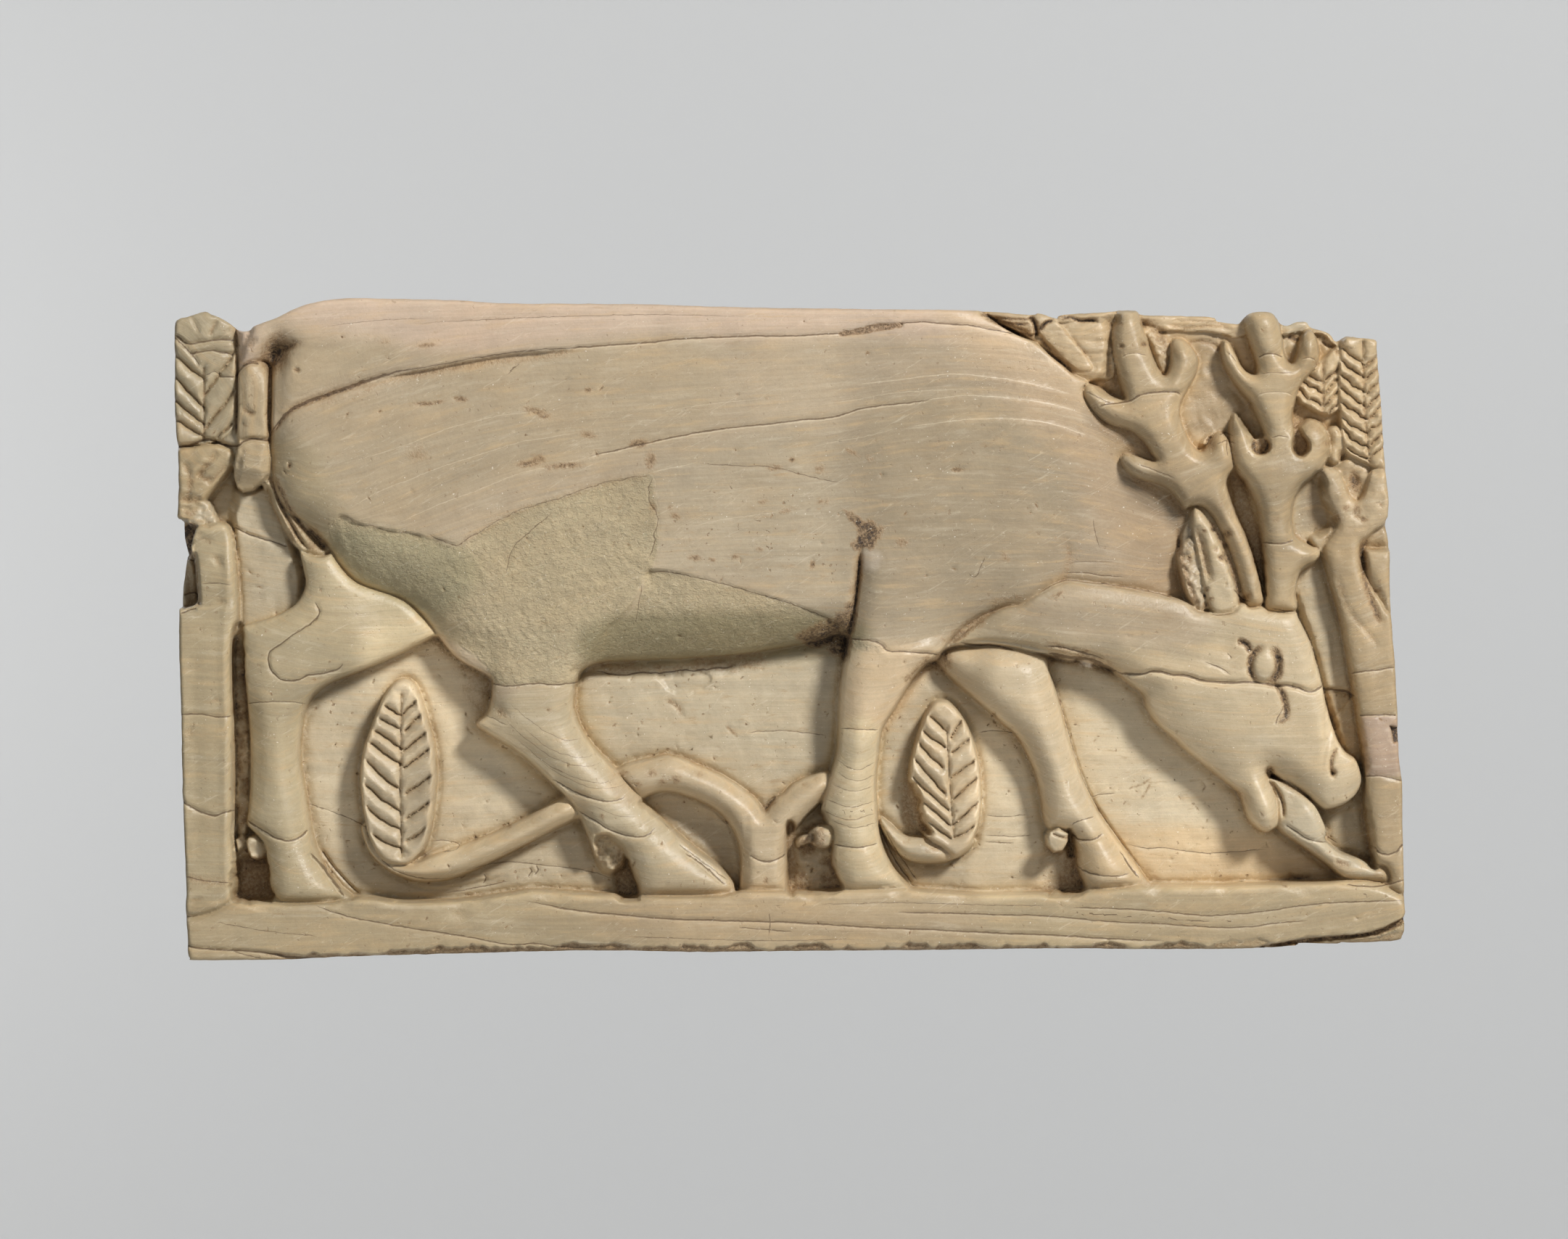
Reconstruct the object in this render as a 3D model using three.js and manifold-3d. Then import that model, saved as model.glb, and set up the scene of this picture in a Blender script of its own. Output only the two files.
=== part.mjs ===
// Carved ivory furniture plaque: a stag grazing among plants, in high relief on
// a thin ground, standing on a plain strip.
//
// Local drawing frame of the carving: X to the right, Y up the plaque, Z out of
// the ground towards the viewer, back face at Z = 0. The finished mesh is turned
// so that Z is up, the relief faces -Y and the flat back faces +Y at Y = 0.
// All sizes are millimetres.
import * as THREE from 'three';
import { mergeVertices } from 'three/addons/utils/BufferGeometryUtils.js';
import Module from 'manifold-3d';

// ---------------------------------------------------------------- main sizes
const PLAQUE_WIDTH = 110.06;     // left edge to right edge, at the widest
const PLAQUE_HEIGHT = 59.12;     // lowest to highest point of the outline
const STEP = 0.0649;             // one step of the drawing grid
const SHEET_X = 1089;            // grid column of the middle of the plaque
const SHEET_Y = 867.5;           // grid row of the middle of the plaque

const BURY = 0.6;                // how far relief forms stay off the back face
const GROUND = 4.5;              // thickness of the ground behind the figures
const BODY_TOP = 10.0;           // body of the stag
const HEAD_TOP = 9.7;
const NEAR_LEG_TOP = 9.5;
const FAR_LEG_TOP = 8.8;
const ANTLER_TOP = 9.2;
const PLANT_TOP = 8.2;
const LEAF_TOP = 8.0;
const STEM_TOP = 7.6;
const STRIP_TOP = 9.0;           // plain strip under the feet
const COLUMN_TOP = 9.0;          // upright stalk at the left edge

const BODY_ROUND = 2.2;          // rounding along the edge of the body
const HEAD_ROUND = 1.7;
const LEAF_ROUND = 0.9;
const STRIP_ROUND = 0.7;
const GROOVE_DEPTH = 1.0;        // leaf veins
const GROOVE_WIDTH = 0.55;
const DRILL_RADIUS = 0.9;        // drilled holes in the right antler
const DRILL_DEPTH = 2.6;
const EYE_WIDTH = 2.4;
const EYE_HEIGHT = 2.9;

// ---------------------------------------------------------------- helpers
const wasm = await Module();
wasm.setup();
const { Manifold, Mesh } = wasm;

const gx = (col) => (col - SHEET_X) * STEP;
const gy = (row) => (SHEET_Y - row) * STEP;

function solid(geometry) {
  const g = geometry.clone();
  for (const name of Object.keys(g.attributes)) {
    if (name !== 'position') g.deleteAttribute(name);
  }
  const merged = mergeVertices(g, 1e-4);
  return new Manifold(new Mesh({
    numProp: 3,
    vertProperties: new Float32Array(merged.attributes.position.array),
    triVerts: new Uint32Array(merged.index.array),
  }));
}

// closed smooth outline through a few stations of the drawing
function outline(stations, samples, tension = 0.5) {
  const curve = new THREE.CatmullRomCurve3(
    stations.map(([c, r]) => new THREE.Vector3(gx(c), gy(r), 0)), true, 'catmullrom', tension);
  const pts = [];
  for (let i = 0; i < samples; i++) {
    const p = curve.getPointAt(i / samples);
    pts.push(new THREE.Vector2(p.x, p.y));
  }
  return tidy(pts);
}

// counter-clockwise outline without points that lie in line with their neighbours
function tidy(pts) {
  const kept = pts.filter((p, i) => {
    const a = pts[(i + pts.length - 1) % pts.length], b = pts[(i + 1) % pts.length];
    return Math.abs((p.x - a.x) * (b.y - p.y) - (p.y - a.y) * (b.x - p.x)) > 1e-6;
  });
  if (THREE.ShapeUtils.area(kept) < 0) kept.reverse();
  return kept;
}

// nearest distance from a point to a closed outline
function distanceTo(pts, x, y) {
  let best = Infinity;
  for (let i = 0; i < pts.length; i++) {
    const a = pts[i], b = pts[(i + 1) % pts.length];
    const dx = b.x - a.x, dy = b.y - a.y;
    const t = Math.min(1, Math.max(0, ((x - a.x) * dx + (y - a.y) * dy) / (dx * dx + dy * dy)));
    best = Math.min(best, Math.hypot(x - a.x - t * dx, y - a.y - t * dy));
  }
  return best;
}

// how far, and which way, each point of an outline moves in for a rounded edge
function insets(pts, round) {
  const moves = pts.map((p, i) => {
    const a = pts[(i + pts.length - 1) % pts.length], b = pts[(i + 1) % pts.length];
    const l = Math.hypot(b.x - a.x, b.y - a.y);
    const nx = -(b.y - a.y) / l, ny = (b.x - a.x) / l;
    let d = round;
    while (d > 0.05 && distanceTo(pts, p.x + nx * d, p.y + ny * d) < 0.9 * d) d *= 0.85;
    return { nx, ny, d };
  });
  // the inset changes gently along the outline
  for (let pass = 0; pass < 3; pass++) {
    const d = moves.map((m) => m.d);
    moves.forEach((m, i) => {
      m.d = Math.min(d[i], (d[(i + d.length - 1) % d.length] + d[i] + d[(i + 1) % d.length]) / 3);
    });
  }
  return moves;
}

// raised form with a flat-ish top and a rounded edge
function pad(pts, top, round, low = BURY, segments = 2) {
  const moves = insets(pts, round);
  const at = new Map(pts.map((p, i) => [`${Math.fround(p.x)} ${Math.fround(p.y)}`, i]));
  const lift = Math.min(round * 1.15, top - GROUND - 0.2);
  const layers = segments + 1;
  const g = new THREE.ExtrudeGeometry(new THREE.Shape(pts), {
    depth: layers, steps: layers, curveSegments: 1, bevelEnabled: false });
  const pos = g.attributes.position;
  for (let i = 0; i < pos.count; i++) {
    const x = pos.getX(i), y = pos.getY(i), k = Math.round(pos.getZ(i));
    const m = moves[at.get(`${x} ${y}`)];
    const turn = (Math.max(0, k - 1) / segments) * (Math.PI / 2);
    const inward = m.d * (1 - Math.cos(turn));
    pos.setXYZ(i, x + m.nx * inward, y + m.ny * inward,
      k === 0 ? low : top - lift + lift * Math.sin(turn));
  }
  return solid(g);
}

// straight-sided prism
function prism(pts, low, high) {
  const g = new THREE.ExtrudeGeometry(new THREE.Shape(pts), {
    depth: high - low, steps: 1, curveSegments: 1, bevelEnabled: false });
  g.translate(0, 0, low);
  return solid(g);
}

// rounded limb: a capsule bent along stations [column, row, half width, top]
function limb(stations, top, { rows = 10, sides = 10, mid = GROUND + 0.4, low = BURY,
  capRows = 2, endA = 1, endB = 1, boxy = 0.72 } = {}) {
  const centre = new THREE.CatmullRomCurve3(
    stations.map(([c, r]) => new THREE.Vector3(gx(c), gy(r), 0)), false, 'centripetal');
  const size = new THREE.CatmullRomCurve3(
    stations.map(([, , h, t], i) => new THREE.Vector3(h * STEP, t ?? top, i)), false, 'centripetal');
  const L = 10;
  const g = new THREE.CapsuleGeometry(1, L, capRows, sides, rows);
  const pos = g.attributes.position;
  const v = new THREE.Vector3();
  for (let i = 0; i < pos.count; i++) {
    v.fromBufferAttribute(pos, i);
    const s = Math.min(1, Math.max(0, (v.y + L / 2) / L));
    const over = v.y > L / 2 ? (v.y - L / 2) * endB : v.y < -L / 2 ? (v.y + L / 2) * endA : 0;
    const c = centre.getPoint(s);
    const t = centre.getTangent(s);
    const w = size.getPoint(s);
    const across = Math.sign(v.x) * Math.pow(Math.abs(v.x), 0.85);
    const rise = Math.pow(Math.abs(v.z), boxy);
    const z = v.z >= 0 ? mid + (w.y - mid) * rise : mid - (mid - low) * rise;
    pos.setXYZ(i, c.x + t.x * over * w.x + t.y * across * w.x,
      c.y + t.y * over * w.x - t.x * across * w.x, z);
  }
  const m = solid(g);
  return m;
}

// V-cut across a surface, from a to b, cut down from `top`
function groove(a, b, top, width = GROOVE_WIDTH, depth = GROOVE_DEPTH) {
  const ax = gx(a[0]), ay = gy(a[1]), bx = gx(b[0]), by = gy(b[1]);
  const len = Math.hypot(bx - ax, by - ay);
  const section = new THREE.Shape([
    new THREE.Vector2(-width * 1.3, depth * 0.6), new THREE.Vector2(0, -depth),
    new THREE.Vector2(width * 1.3, depth * 0.6)]);
  const g = new THREE.ExtrudeGeometry(section, { depth: len, steps: 1, bevelEnabled: false });
  g.rotateX(Math.PI / 2);                       // length along -Y, section in X and Z
  g.rotateZ(Math.atan2(by - ay, bx - ax) + Math.PI / 2);
  g.translate(ax, ay, top);
  return solid(g);
}

// feathered leaf: a pad with a midrib and paired veins that meet it at a slant
function leaf(stations, rib, pairs, { top = LEAF_TOP, round = LEAF_ROUND, samples = 26,
  reach = 48, slope = 0.62, width = GROOVE_WIDTH, depth = GROOVE_DEPTH } = {}) {
  let form = pad(outline(stations, samples), top, round);
  const cuts = [groove(rib[0], rib[1], top, width, depth)];
  const [[x0, y0], [x1, y1]] = rib;
  for (let i = 0; i < pairs; i++) {
    const k = (i + 0.75) / pairs;
    const x = x0 + (x1 - x0) * k, y = y0 + (y1 - y0) * k;
    for (const side of [-1, 1]) {
      cuts.push(groove([x, y], [x + side * reach, y - reach * slope], top, width, depth));
    }
  }
  return form.subtract(Manifold.union(cuts));
}

// ---------------------------------------------------------------- outline
// each edge is a run of stations along it: [position along the edge, position across it]
function edge(stations, n, horizontal) {
  const curve = new THREE.CatmullRomCurve3(stations.map(([a, b]) => (horizontal
    ? new THREE.Vector3(gx(a), gy(b), 0) : new THREE.Vector3(gx(b), gy(a), 0))), false, 'centripetal');
  const out = [];
  for (let i = 0; i < n; i++) {
    const p = curve.getPointAt(i / n);
    out.push(new THREE.Vector2(p.x, p.y));
  }
  return out;
}
const topEdge = edge([[243, 448], [283, 430], [338, 458], [400, 431], [480, 413], [640, 415],
  [940, 422], [1350, 429], [1457, 437], [1555, 428], [1700, 445], [1736, 430], [1776, 450],
  [1806, 446], [1845, 472], [1895, 469]], 52, true);
const rightEdge = edge([[474, 1896], [617, 1908], [710, 1913], [722, 1909], [819, 1916],
  [985, 1926], [1165, 1934], [1256, 1937], [1288, 1934]], 16, false);
const bottomEdge = edge([[1930, 1297], [1845, 1301], [1788, 1304], [1585, 1308], [1300, 1309],
  [960, 1312], [740, 1311], [520, 1317], [400, 1322], [275, 1323]], 14, true);
const leftEdge = edge([[1318, 262], [1245, 257], [1000, 251], [840, 248], [765, 256],
  [715, 246], [600, 243], [450, 241]], 16, false);
const silhouette = tidy([...topEdge, ...rightEdge, ...bottomEdge, ...leftEdge]);

const ground = prism(silhouette, 0, GROUND);
const envelope = prism(silhouette, 0, BODY_TOP + 2);

// ---------------------------------------------------------------- the stag
const body = pad(outline([
  [330, 380], [700, 380], [1100, 380], [1330, 398], [1400, 458], [1479, 517], [1510, 590],
  [1571, 660], [1618, 715], [1632, 780], [1650, 840], [1600, 880], [1480, 850], [1400, 838],
  [1345, 858], [1296, 903], [1161, 893], [1075, 893], [950, 906], [830, 915], [790, 960],
  [690, 955], [640, 915], [580, 850], [500, 806], [440, 745], [392, 705], [372, 640],
  [374, 560], [382, 470],
], 78), BODY_TOP, BODY_ROUND, BURY, 3);
const farHaunch = limb([[372, 640, 14], [385, 690, 14], [398, 735, 15], [404, 770, 12]], 8.4, { rows: 4 });
const head = pad(outline([
  [1400, 850], [1471, 801], [1557, 812], [1640, 826], [1720, 836], [1790, 845], [1808, 884],
  [1832, 975], [1852, 1036], [1876, 1070], [1862, 1103], [1828, 1114], [1780, 1086], [1752, 1075],
  [1769, 1118], [1748, 1144], [1724, 1128], [1700, 1085], [1643, 1040], [1590, 985], [1545, 934],
  [1480, 910], [1420, 888],
], 58), HEAD_TOP, HEAD_ROUND, BURY, 2);
const eyeRing = new THREE.TorusGeometry(EYE_HEIGHT / 2, 0.3, 5, 14);
eyeRing.scale(EYE_WIDTH / EYE_HEIGHT, 1, 1);
eyeRing.translate(gx(1744), gy(917), HEAD_TOP);
const mouthCut = groove([1746, 1060], [1836, 1122], HEAD_TOP, 0.9, 3.2);

const nearFore = limb([[1232, 868, 58, 9.9], [1226, 905, 60], [1204, 950, 46], [1188, 1000, 31], [1181, 1050, 29],
  [1171, 1100, 36], [1170, 1130, 40], [1180, 1160, 34], [1190, 1192, 42], [1209, 1226, 48]],
NEAR_LEG_TOP, { rows: 13, endB: 0.2 });
const farFore = limb([[1362, 900, 58, 9.2], [1404, 967, 53], [1440, 1015, 36], [1456, 1060, 31], [1471, 1100, 34],
  [1490, 1147, 42], [1522, 1185, 40], [1545, 1224, 45]], FAR_LEG_TOP, { rows: 13, endB: 0.2 });
const nearHind = limb([[740, 880, 62, 9.9], [735, 925, 58], [728, 975, 60], [748, 1012, 52], [793, 1060, 40],
  [832, 1100, 38], [863, 1140, 42], [905, 1185, 50], [940, 1222, 58]],
NEAR_LEG_TOP, { rows: 12, endB: 0.2 });
const farHind = limb([[590, 846, 24], [500, 862, 52], [430, 885, 58], [385, 930, 50], [378, 980, 40],
  [377, 1040, 36], [378, 1090, 40], [383, 1135, 44], [402, 1175, 38], [418, 1215, 42], [425, 1243, 46]],
FAR_LEG_TOP, { rows: 14, endA: 0.6, endB: 0.2 });
const dewclaws = [[1131, 1149, 12], [1457, 1158, 13], [349, 1168, 13], [846, 1180, 13]]
  .map(([c, r, h]) => limb([[c - 4, r - 5, h], [c + 4, r + 5, h]], 7.6, { rows: 1, sides: 8, capRows: 1 }));
const tail = limb([[350, 440, 19], [348, 520, 20], [348, 600, 20], [345, 645, 23], [344, 664, 16]],
  8.9, { rows: 7 });

// ---------------------------------------------------------------- antlers and ear
const antlers = [
  // left antler: stem, shovel and four tines
  limb([[1714, 822, 16], [1692, 760, 17], [1676, 700, 18], [1655, 655, 30], [1612, 606, 34], [1590, 560, 42], [1590, 530, 40]],
    ANTLER_TOP, { rows: 10, endA: 0.5 }),
  limb([[1590, 556, 36], [1570, 510, 28], [1557, 470, 23], [1555, 446, 17]], ANTLER_TOP, { rows: 6 }),
  limb([[1600, 556, 28], [1624, 520, 20], [1630, 490, 15]], ANTLER_TOP - 0.5, { rows: 4 }),
  limb([[1590, 585, 26], [1550, 568, 20], [1510, 547, 13]], ANTLER_TOP - 0.3, { rows: 4 }),
  limb([[1640, 670, 24], [1600, 653, 17], [1560, 638, 11]], ANTLER_TOP - 0.3, { rows: 4 }),
  limb([[1668, 662, 22], [1684, 630, 20], [1686, 612, 14]], ANTLER_TOP - 0.2, { rows: 3 }),
  // right antler: stem, shovel and tines
  limb([[1765, 836, 21], [1766, 760, 21], [1764, 700, 24], [1763, 650, 40], [1760, 600, 28], [1758, 560, 25], [1752, 530, 32]],
    ANTLER_TOP, { rows: 11, endA: 0.4 }),
  limb([[1752, 550, 30], [1750, 505, 24], [1743, 465, 24], [1740, 450, 20]], ANTLER_TOP + 0.2, { rows: 5 }),
  limb([[1752, 556, 24], [1716, 528, 19], [1694, 498, 13], [1688, 484, 9]], ANTLER_TOP - 0.3, { rows: 5 }),
  limb([[1760, 556, 26], [1790, 520, 20], [1804, 485, 16], [1805, 470, 11]], ANTLER_TOP - 0.3, { rows: 5 }),
  limb([[1752, 672, 28], [1716, 630, 20], [1704, 586, 11]], ANTLER_TOP - 0.1, { rows: 5 }),
  limb([[1775, 672, 26], [1808, 634, 22], [1815, 604, 18]], ANTLER_TOP - 0.1, { rows: 4 }),
  limb([[1770, 768, 16], [1795, 762, 14], [1812, 762, 7]], ANTLER_TOP - 0.2, { rows: 3 }),
];
const ear = limb([[1654, 716, 7], [1672, 755, 13], [1687, 800, 19], [1692, 828, 20]], 9.5, { rows: 5 });
const drills = [[1737, 615], [1790, 617]].map(([c, r]) => {
  const g = new THREE.CylinderGeometry(DRILL_RADIUS, DRILL_RADIUS * 0.9, DRILL_DEPTH, 14);
  g.rotateX(Math.PI / 2);
  g.translate(gx(c), gy(r), ANTLER_TOP + 0.3 - DRILL_DEPTH / 2);
  return solid(g);
});

// ---------------------------------------------------------------- plants
const leftLeaf = leaf([[555, 934], [578, 965], [594, 1015], [600, 1070], [594, 1135], [568, 1181],
  [545, 1195], [520, 1178], [503, 1130], [495, 1070], [506, 1010], [530, 958]],
[[553, 958], [553, 1178]], 7, { reach: 50, top: 7.4 });
const rightLeaf = leaf([[1298, 965], [1332, 1001], [1350, 1055], [1352, 1120], [1334, 1170],
  [1290, 1184], [1262, 1125], [1254, 1076], [1268, 1015]],
[[1303, 1000], [1315, 1160]], 7, { reach: 50, top: 7.4 });
const cornerLeaf = leaf([[285, 420], [318, 450], [326, 510], [324, 570], [300, 612], [262, 615],
  [236, 560], [230, 490], [245, 440]],
[[281, 500], [282, 606]], 4, { reach: 46, top: PLANT_TOP, samples: 20 });
const cornerKnob = limb([[272, 628, 26], [284, 662, 24], [290, 690, 12]], 7.8, { rows: 3 });
const column = pad(outline([[268, 728], [300, 720], [317, 728], [324, 790], [320, 880], [321, 1060],
  [320, 1236], [285, 1240], [246, 1238], [244, 1100], [244, 900], [262, 850], [266, 780]], 34), COLUMN_TOP, 0.9);
const stems = [
  limb([[548, 1188, 12], [600, 1197, 15], [680, 1170, 16], [745, 1136, 16], [800, 1108, 15]], STEM_TOP, { rows: 7 }),
  limb([[860, 1088, 14], [905, 1068, 22], [950, 1072, 23], [1000, 1108, 24], [1030, 1160, 26], [1050, 1235, 34]],
    STEM_TOP, { rows: 9, endB: 0.2 }),
  limb([[1062, 1232, 30], [1060, 1180, 28], [1085, 1125, 26], [1112, 1092, 20], [1140, 1074, 12]], STEM_TOP + 0.2,
    { rows: 7, endA: 0.2 }),
  limb([[1222, 1148, 10], [1244, 1172, 15], [1285, 1172, 18], [1320, 1165, 16]], 7.2, { rows: 5 }),
  // the shoot that the stag holds in its mouth
  limb([[1762, 1108, 14], [1795, 1128, 26], [1822, 1160, 24], [1860, 1192, 13], [1900, 1202, 12]], 8.8, { rows: 7 }),
];
const trunk = pad(outline([[1822, 722], [1860, 720], [1905, 728], [1945, 740], [1955, 950], [1960, 1230],
  [1900, 1236], [1891, 1192], [1882, 1090], [1872, 990], [1856, 890], [1832, 790]], 36), 8.6, 1.0);
const trunkBud = limb([[1838, 650, 16], [1838, 690, 20], [1850, 722, 14]], 8.3, { rows: 4 });
const sidePiece = limb([[1892, 650, 24], [1890, 690, 26], [1885, 722, 16]], 8.3, { rows: 4 });
const frondA = leaf([[1880, 470], [1925, 480], [1930, 560], [1935, 640], [1888, 650], [1852, 636],
  [1846, 560], [1850, 495]], [[1880, 478], [1889, 642]], 8, { reach: 44, top: PLANT_TOP, samples: 24 });
const frondB = leaf([[1825, 480], [1848, 500], [1850, 560], [1826, 578], [1796, 560], [1792, 530]],
  [[1824, 500], [1825, 572]], 4, { reach: 34, top: PLANT_TOP - 0.3, samples: 16 });
const frondBase = limb([[1838, 596, 16], [1845, 622, 18]], 7.9, { rows: 2 });

// ---------------------------------------------------------------- plain strip
const strip = pad(outline([[225, 1236], [420, 1246], [560, 1242], [740, 1228], [900, 1236],
  [1050, 1229], [1240, 1226], [1400, 1231], [1575, 1217], [1750, 1219], [1960, 1208],
  [1990, 1270], [1960, 1335], [1500, 1350], [1000, 1350], [500, 1350], [230, 1350], [215, 1290]], 48),
STRIP_TOP, STRIP_ROUND);
// shallow ledge that closes the top behind the antlers and over the rump
const rim = limb([[1340, 436, 7], [1450, 442, 9], [1540, 440, 10], [1620, 446, 11], [1700, 456, 12],
  [1800, 458, 12], [1850, 480, 12]], 6.6, { rows: 12, sides: 6, capRows: 1 });
// the corner split off under the right end of the strip
const splitShape = [[1747, 1299], [1856, 1290], [1917, 1275], [1950, 1258], [1950, 1320], [1740, 1320]]
  .map(([c, r]) => new THREE.Vector2(gx(c), gy(r)));
const split = prism(tidy(splitShape), 6.2, 14);

// ---------------------------------------------------------------- one piece
const raised = Manifold.union([
  body, farHaunch, head, nearFore, farFore, nearHind, farHind, ...dewclaws, tail,
  ...antlers, ear, leftLeaf, rightLeaf, cornerLeaf, cornerKnob, column, ...stems,
  trunk, trunkBud, sidePiece, frondA, frondB, frondBase, strip, rim,
]).subtract(Manifold.union([solid(eyeRing), mouthCut, ...drills, split]));
const joined = raised.intersect(envelope).add(ground).simplify(0.03);
// the outer shell alone: pinholes shut in between overlapping forms are ivory
const carved = joined.decompose().reduce((a, b) => (b.volume() > a.volume() ? b : a));

function geometryOf(manifold) {
  const mesh = manifold.getMesh();
  const g = new THREE.BufferGeometry();
  g.setAttribute('position', new THREE.BufferAttribute(new Float32Array(mesh.vertProperties), 3));
  g.setIndex(new THREE.BufferAttribute(new Uint32Array(mesh.triVerts), 1));
  g.computeVertexNormals();
  return g;
}

const ivory = new THREE.MeshStandardMaterial({ color: 0xd3c19c, roughness: 0.42, metalness: 0 });
const plaque = new THREE.Mesh(geometryOf(carved), ivory);
plaque.name = 'plaque';
plaque.rotation.x = Math.PI / 2;

const group = new THREE.Group();
group.add(plaque);

export default group;
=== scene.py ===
import math
import bpy
import numpy as np
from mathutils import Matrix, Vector


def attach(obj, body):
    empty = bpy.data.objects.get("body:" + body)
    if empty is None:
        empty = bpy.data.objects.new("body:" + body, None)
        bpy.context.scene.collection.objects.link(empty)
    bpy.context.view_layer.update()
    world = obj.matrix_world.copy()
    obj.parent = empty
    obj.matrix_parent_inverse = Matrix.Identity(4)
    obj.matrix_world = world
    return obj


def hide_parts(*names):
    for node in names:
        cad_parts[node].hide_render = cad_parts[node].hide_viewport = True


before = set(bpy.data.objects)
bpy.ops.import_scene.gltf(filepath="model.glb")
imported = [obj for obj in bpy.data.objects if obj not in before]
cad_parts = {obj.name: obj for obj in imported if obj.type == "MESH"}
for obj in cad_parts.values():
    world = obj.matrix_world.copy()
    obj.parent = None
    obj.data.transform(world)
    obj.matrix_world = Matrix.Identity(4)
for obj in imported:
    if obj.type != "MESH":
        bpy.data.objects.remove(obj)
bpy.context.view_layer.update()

# ---------------------------------------------------------------- drawing grid
# The carving is laid out on a drawing sheet, column to the right and row down.
# One step of the sheet is STEP millimetres; heights are millimetres above the
# flat back of the plaque.
STEP = 0.0649
SHEET_X, SHEET_Y = 1089.0, 867.5
PITCH = 1.75
FACES = 196000
GROUND = 4.5

cols = np.arange(234.0, 1944.1, PITCH)
rows = np.arange(404.0, 1330.1, PITCH)
X, Y = np.meshgrid(cols, rows)
NR, NC = X.shape


# ---------------------------------------------------------------- helpers
def smooth(t):
    t = np.clip(t, 0.0, 1.0)
    return t * t * (3.0 - 2.0 * t)


def ramp(v, a, b):
    return smooth((v - a) / (b - a))


def spline(pts, closed=False, step=3.0):
    """Points along a Catmull-Rom curve through pts, about `step` apart."""
    p = np.asarray(pts, float)
    n = len(p)
    out = []
    last = n if closed else n - 1
    for i in range(last):
        p1, p2 = p[i % n], p[(i + 1) % n]
        if closed:
            p0, p3 = p[(i - 1) % n], p[(i + 2) % n]
        else:
            p0 = p[i - 1] if i > 0 else 2 * p1 - p2
            p3 = p[i + 2] if i + 2 < n else 2 * p2 - p1
        k = max(1, int(round(np.hypot(*(p2 - p1)[:2]) / step)))
        t = (np.arange(k) / k)[:, None]
        out.append(0.5 * ((2 * p1) + (p2 - p0) * t + (2 * p0 - 5 * p1 + 4 * p2 - p3) * t ** 2
                          + (3 * p1 - p0 - 3 * p2 + p3) * t ** 3))
    if not closed:
        out.append(p[-1:])
    return np.concatenate(out)


def window(pts, margin):
    p = np.asarray(pts, float)
    c0 = max(0, int((p[:, 0].min() - margin - cols[0]) / PITCH))
    c1 = min(NC, int((p[:, 0].max() + margin - cols[0]) / PITCH) + 2)
    r0 = max(0, int((p[:, 1].min() - margin - rows[0]) / PITCH))
    r1 = min(NR, int((p[:, 1].max() + margin - rows[0]) / PITCH) + 2)
    return slice(r0, r1), slice(c0, c1)


def line_field(pts, w, reach, closed=False):
    """Distance to a polyline within `reach`, the place along it from 0 to 1,
    and which side of it a place is on."""
    p = np.asarray(pts, float)[:, :2]
    q = np.roll(p, -1, 0) if closed else p[1:]
    p = p if closed else p[:-1]
    seg = np.hypot(*(q - p).T)
    total = max(seg.sum(), 1e-6)
    start = np.concatenate([[0], np.cumsum(seg)[:-1]])
    xs, ys = cols[w[1]], rows[w[0]]
    best = np.full((len(ys), len(xs)), float(reach) ** 2)
    along = np.zeros(best.shape)
    side = np.ones(best.shape)
    for (ax, ay), (bx, by), s0, sl in zip(p, q, start, seg):
        dx, dy = bx - ax, by - ay
        l2 = dx * dx + dy * dy
        if l2 < 1e-9:
            continue
        j0 = max(0, int((min(ax, bx) - reach - xs[0]) / PITCH))
        j1 = min(len(xs), int((max(ax, bx) + reach - xs[0]) / PITCH) + 2)
        i0 = max(0, int((min(ay, by) - reach - ys[0]) / PITCH))
        i1 = min(len(ys), int((max(ay, by) + reach - ys[0]) / PITCH) + 2)
        if j1 <= j0 or i1 <= i0:
            continue
        x, y = xs[None, j0:j1] - ax, ys[i0:i1, None] - ay
        t = np.clip((x * dx + y * dy) / l2, 0.0, 1.0)
        ex, ey = x - t * dx, y - t * dy
        d2 = ex * ex + ey * ey
        b = best[i0:i1, j0:j1]
        m = d2 < b
        b[m] = d2[m]
        along[i0:i1, j0:j1][m] = ((s0 + t * sl) / total)[m]
        side[i0:i1, j0:j1][m] = np.where(dx * ey - dy * ex >= 0, 1.0, -1.0)[m]
    return np.sqrt(best), along, side


def inside_field(poly, w, reach):
    """Signed distance to a closed outline, positive inside, up to `reach`."""
    p = np.asarray(poly, float)[:, :2]
    q = np.roll(p, -1, 0)
    d, _, _ = line_field(p, w, reach, closed=True)
    xs, ys = cols[w[1]], rows[w[0]]
    flips = np.zeros((len(ys), len(xs) + 1), int)
    for (ax, ay), (bx, by) in zip(p, q):
        if ay == by:
            continue
        i0 = int(np.searchsorted(ys, min(ay, by), "left"))
        i1 = int(np.searchsorted(ys, max(ay, by), "left"))
        if i1 <= i0:
            continue
        xi = ax + (ys[i0:i1] - ay) * (bx - ax) / (by - ay)
        k = np.searchsorted(xs, xi, "left")
        flips[np.arange(i0, i1), k] += 1
    inside = (np.cumsum(flips[:, ::-1], 1)[:, ::-1][:, 1:] % 2) == 1
    return np.where(inside, d, -d)


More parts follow.
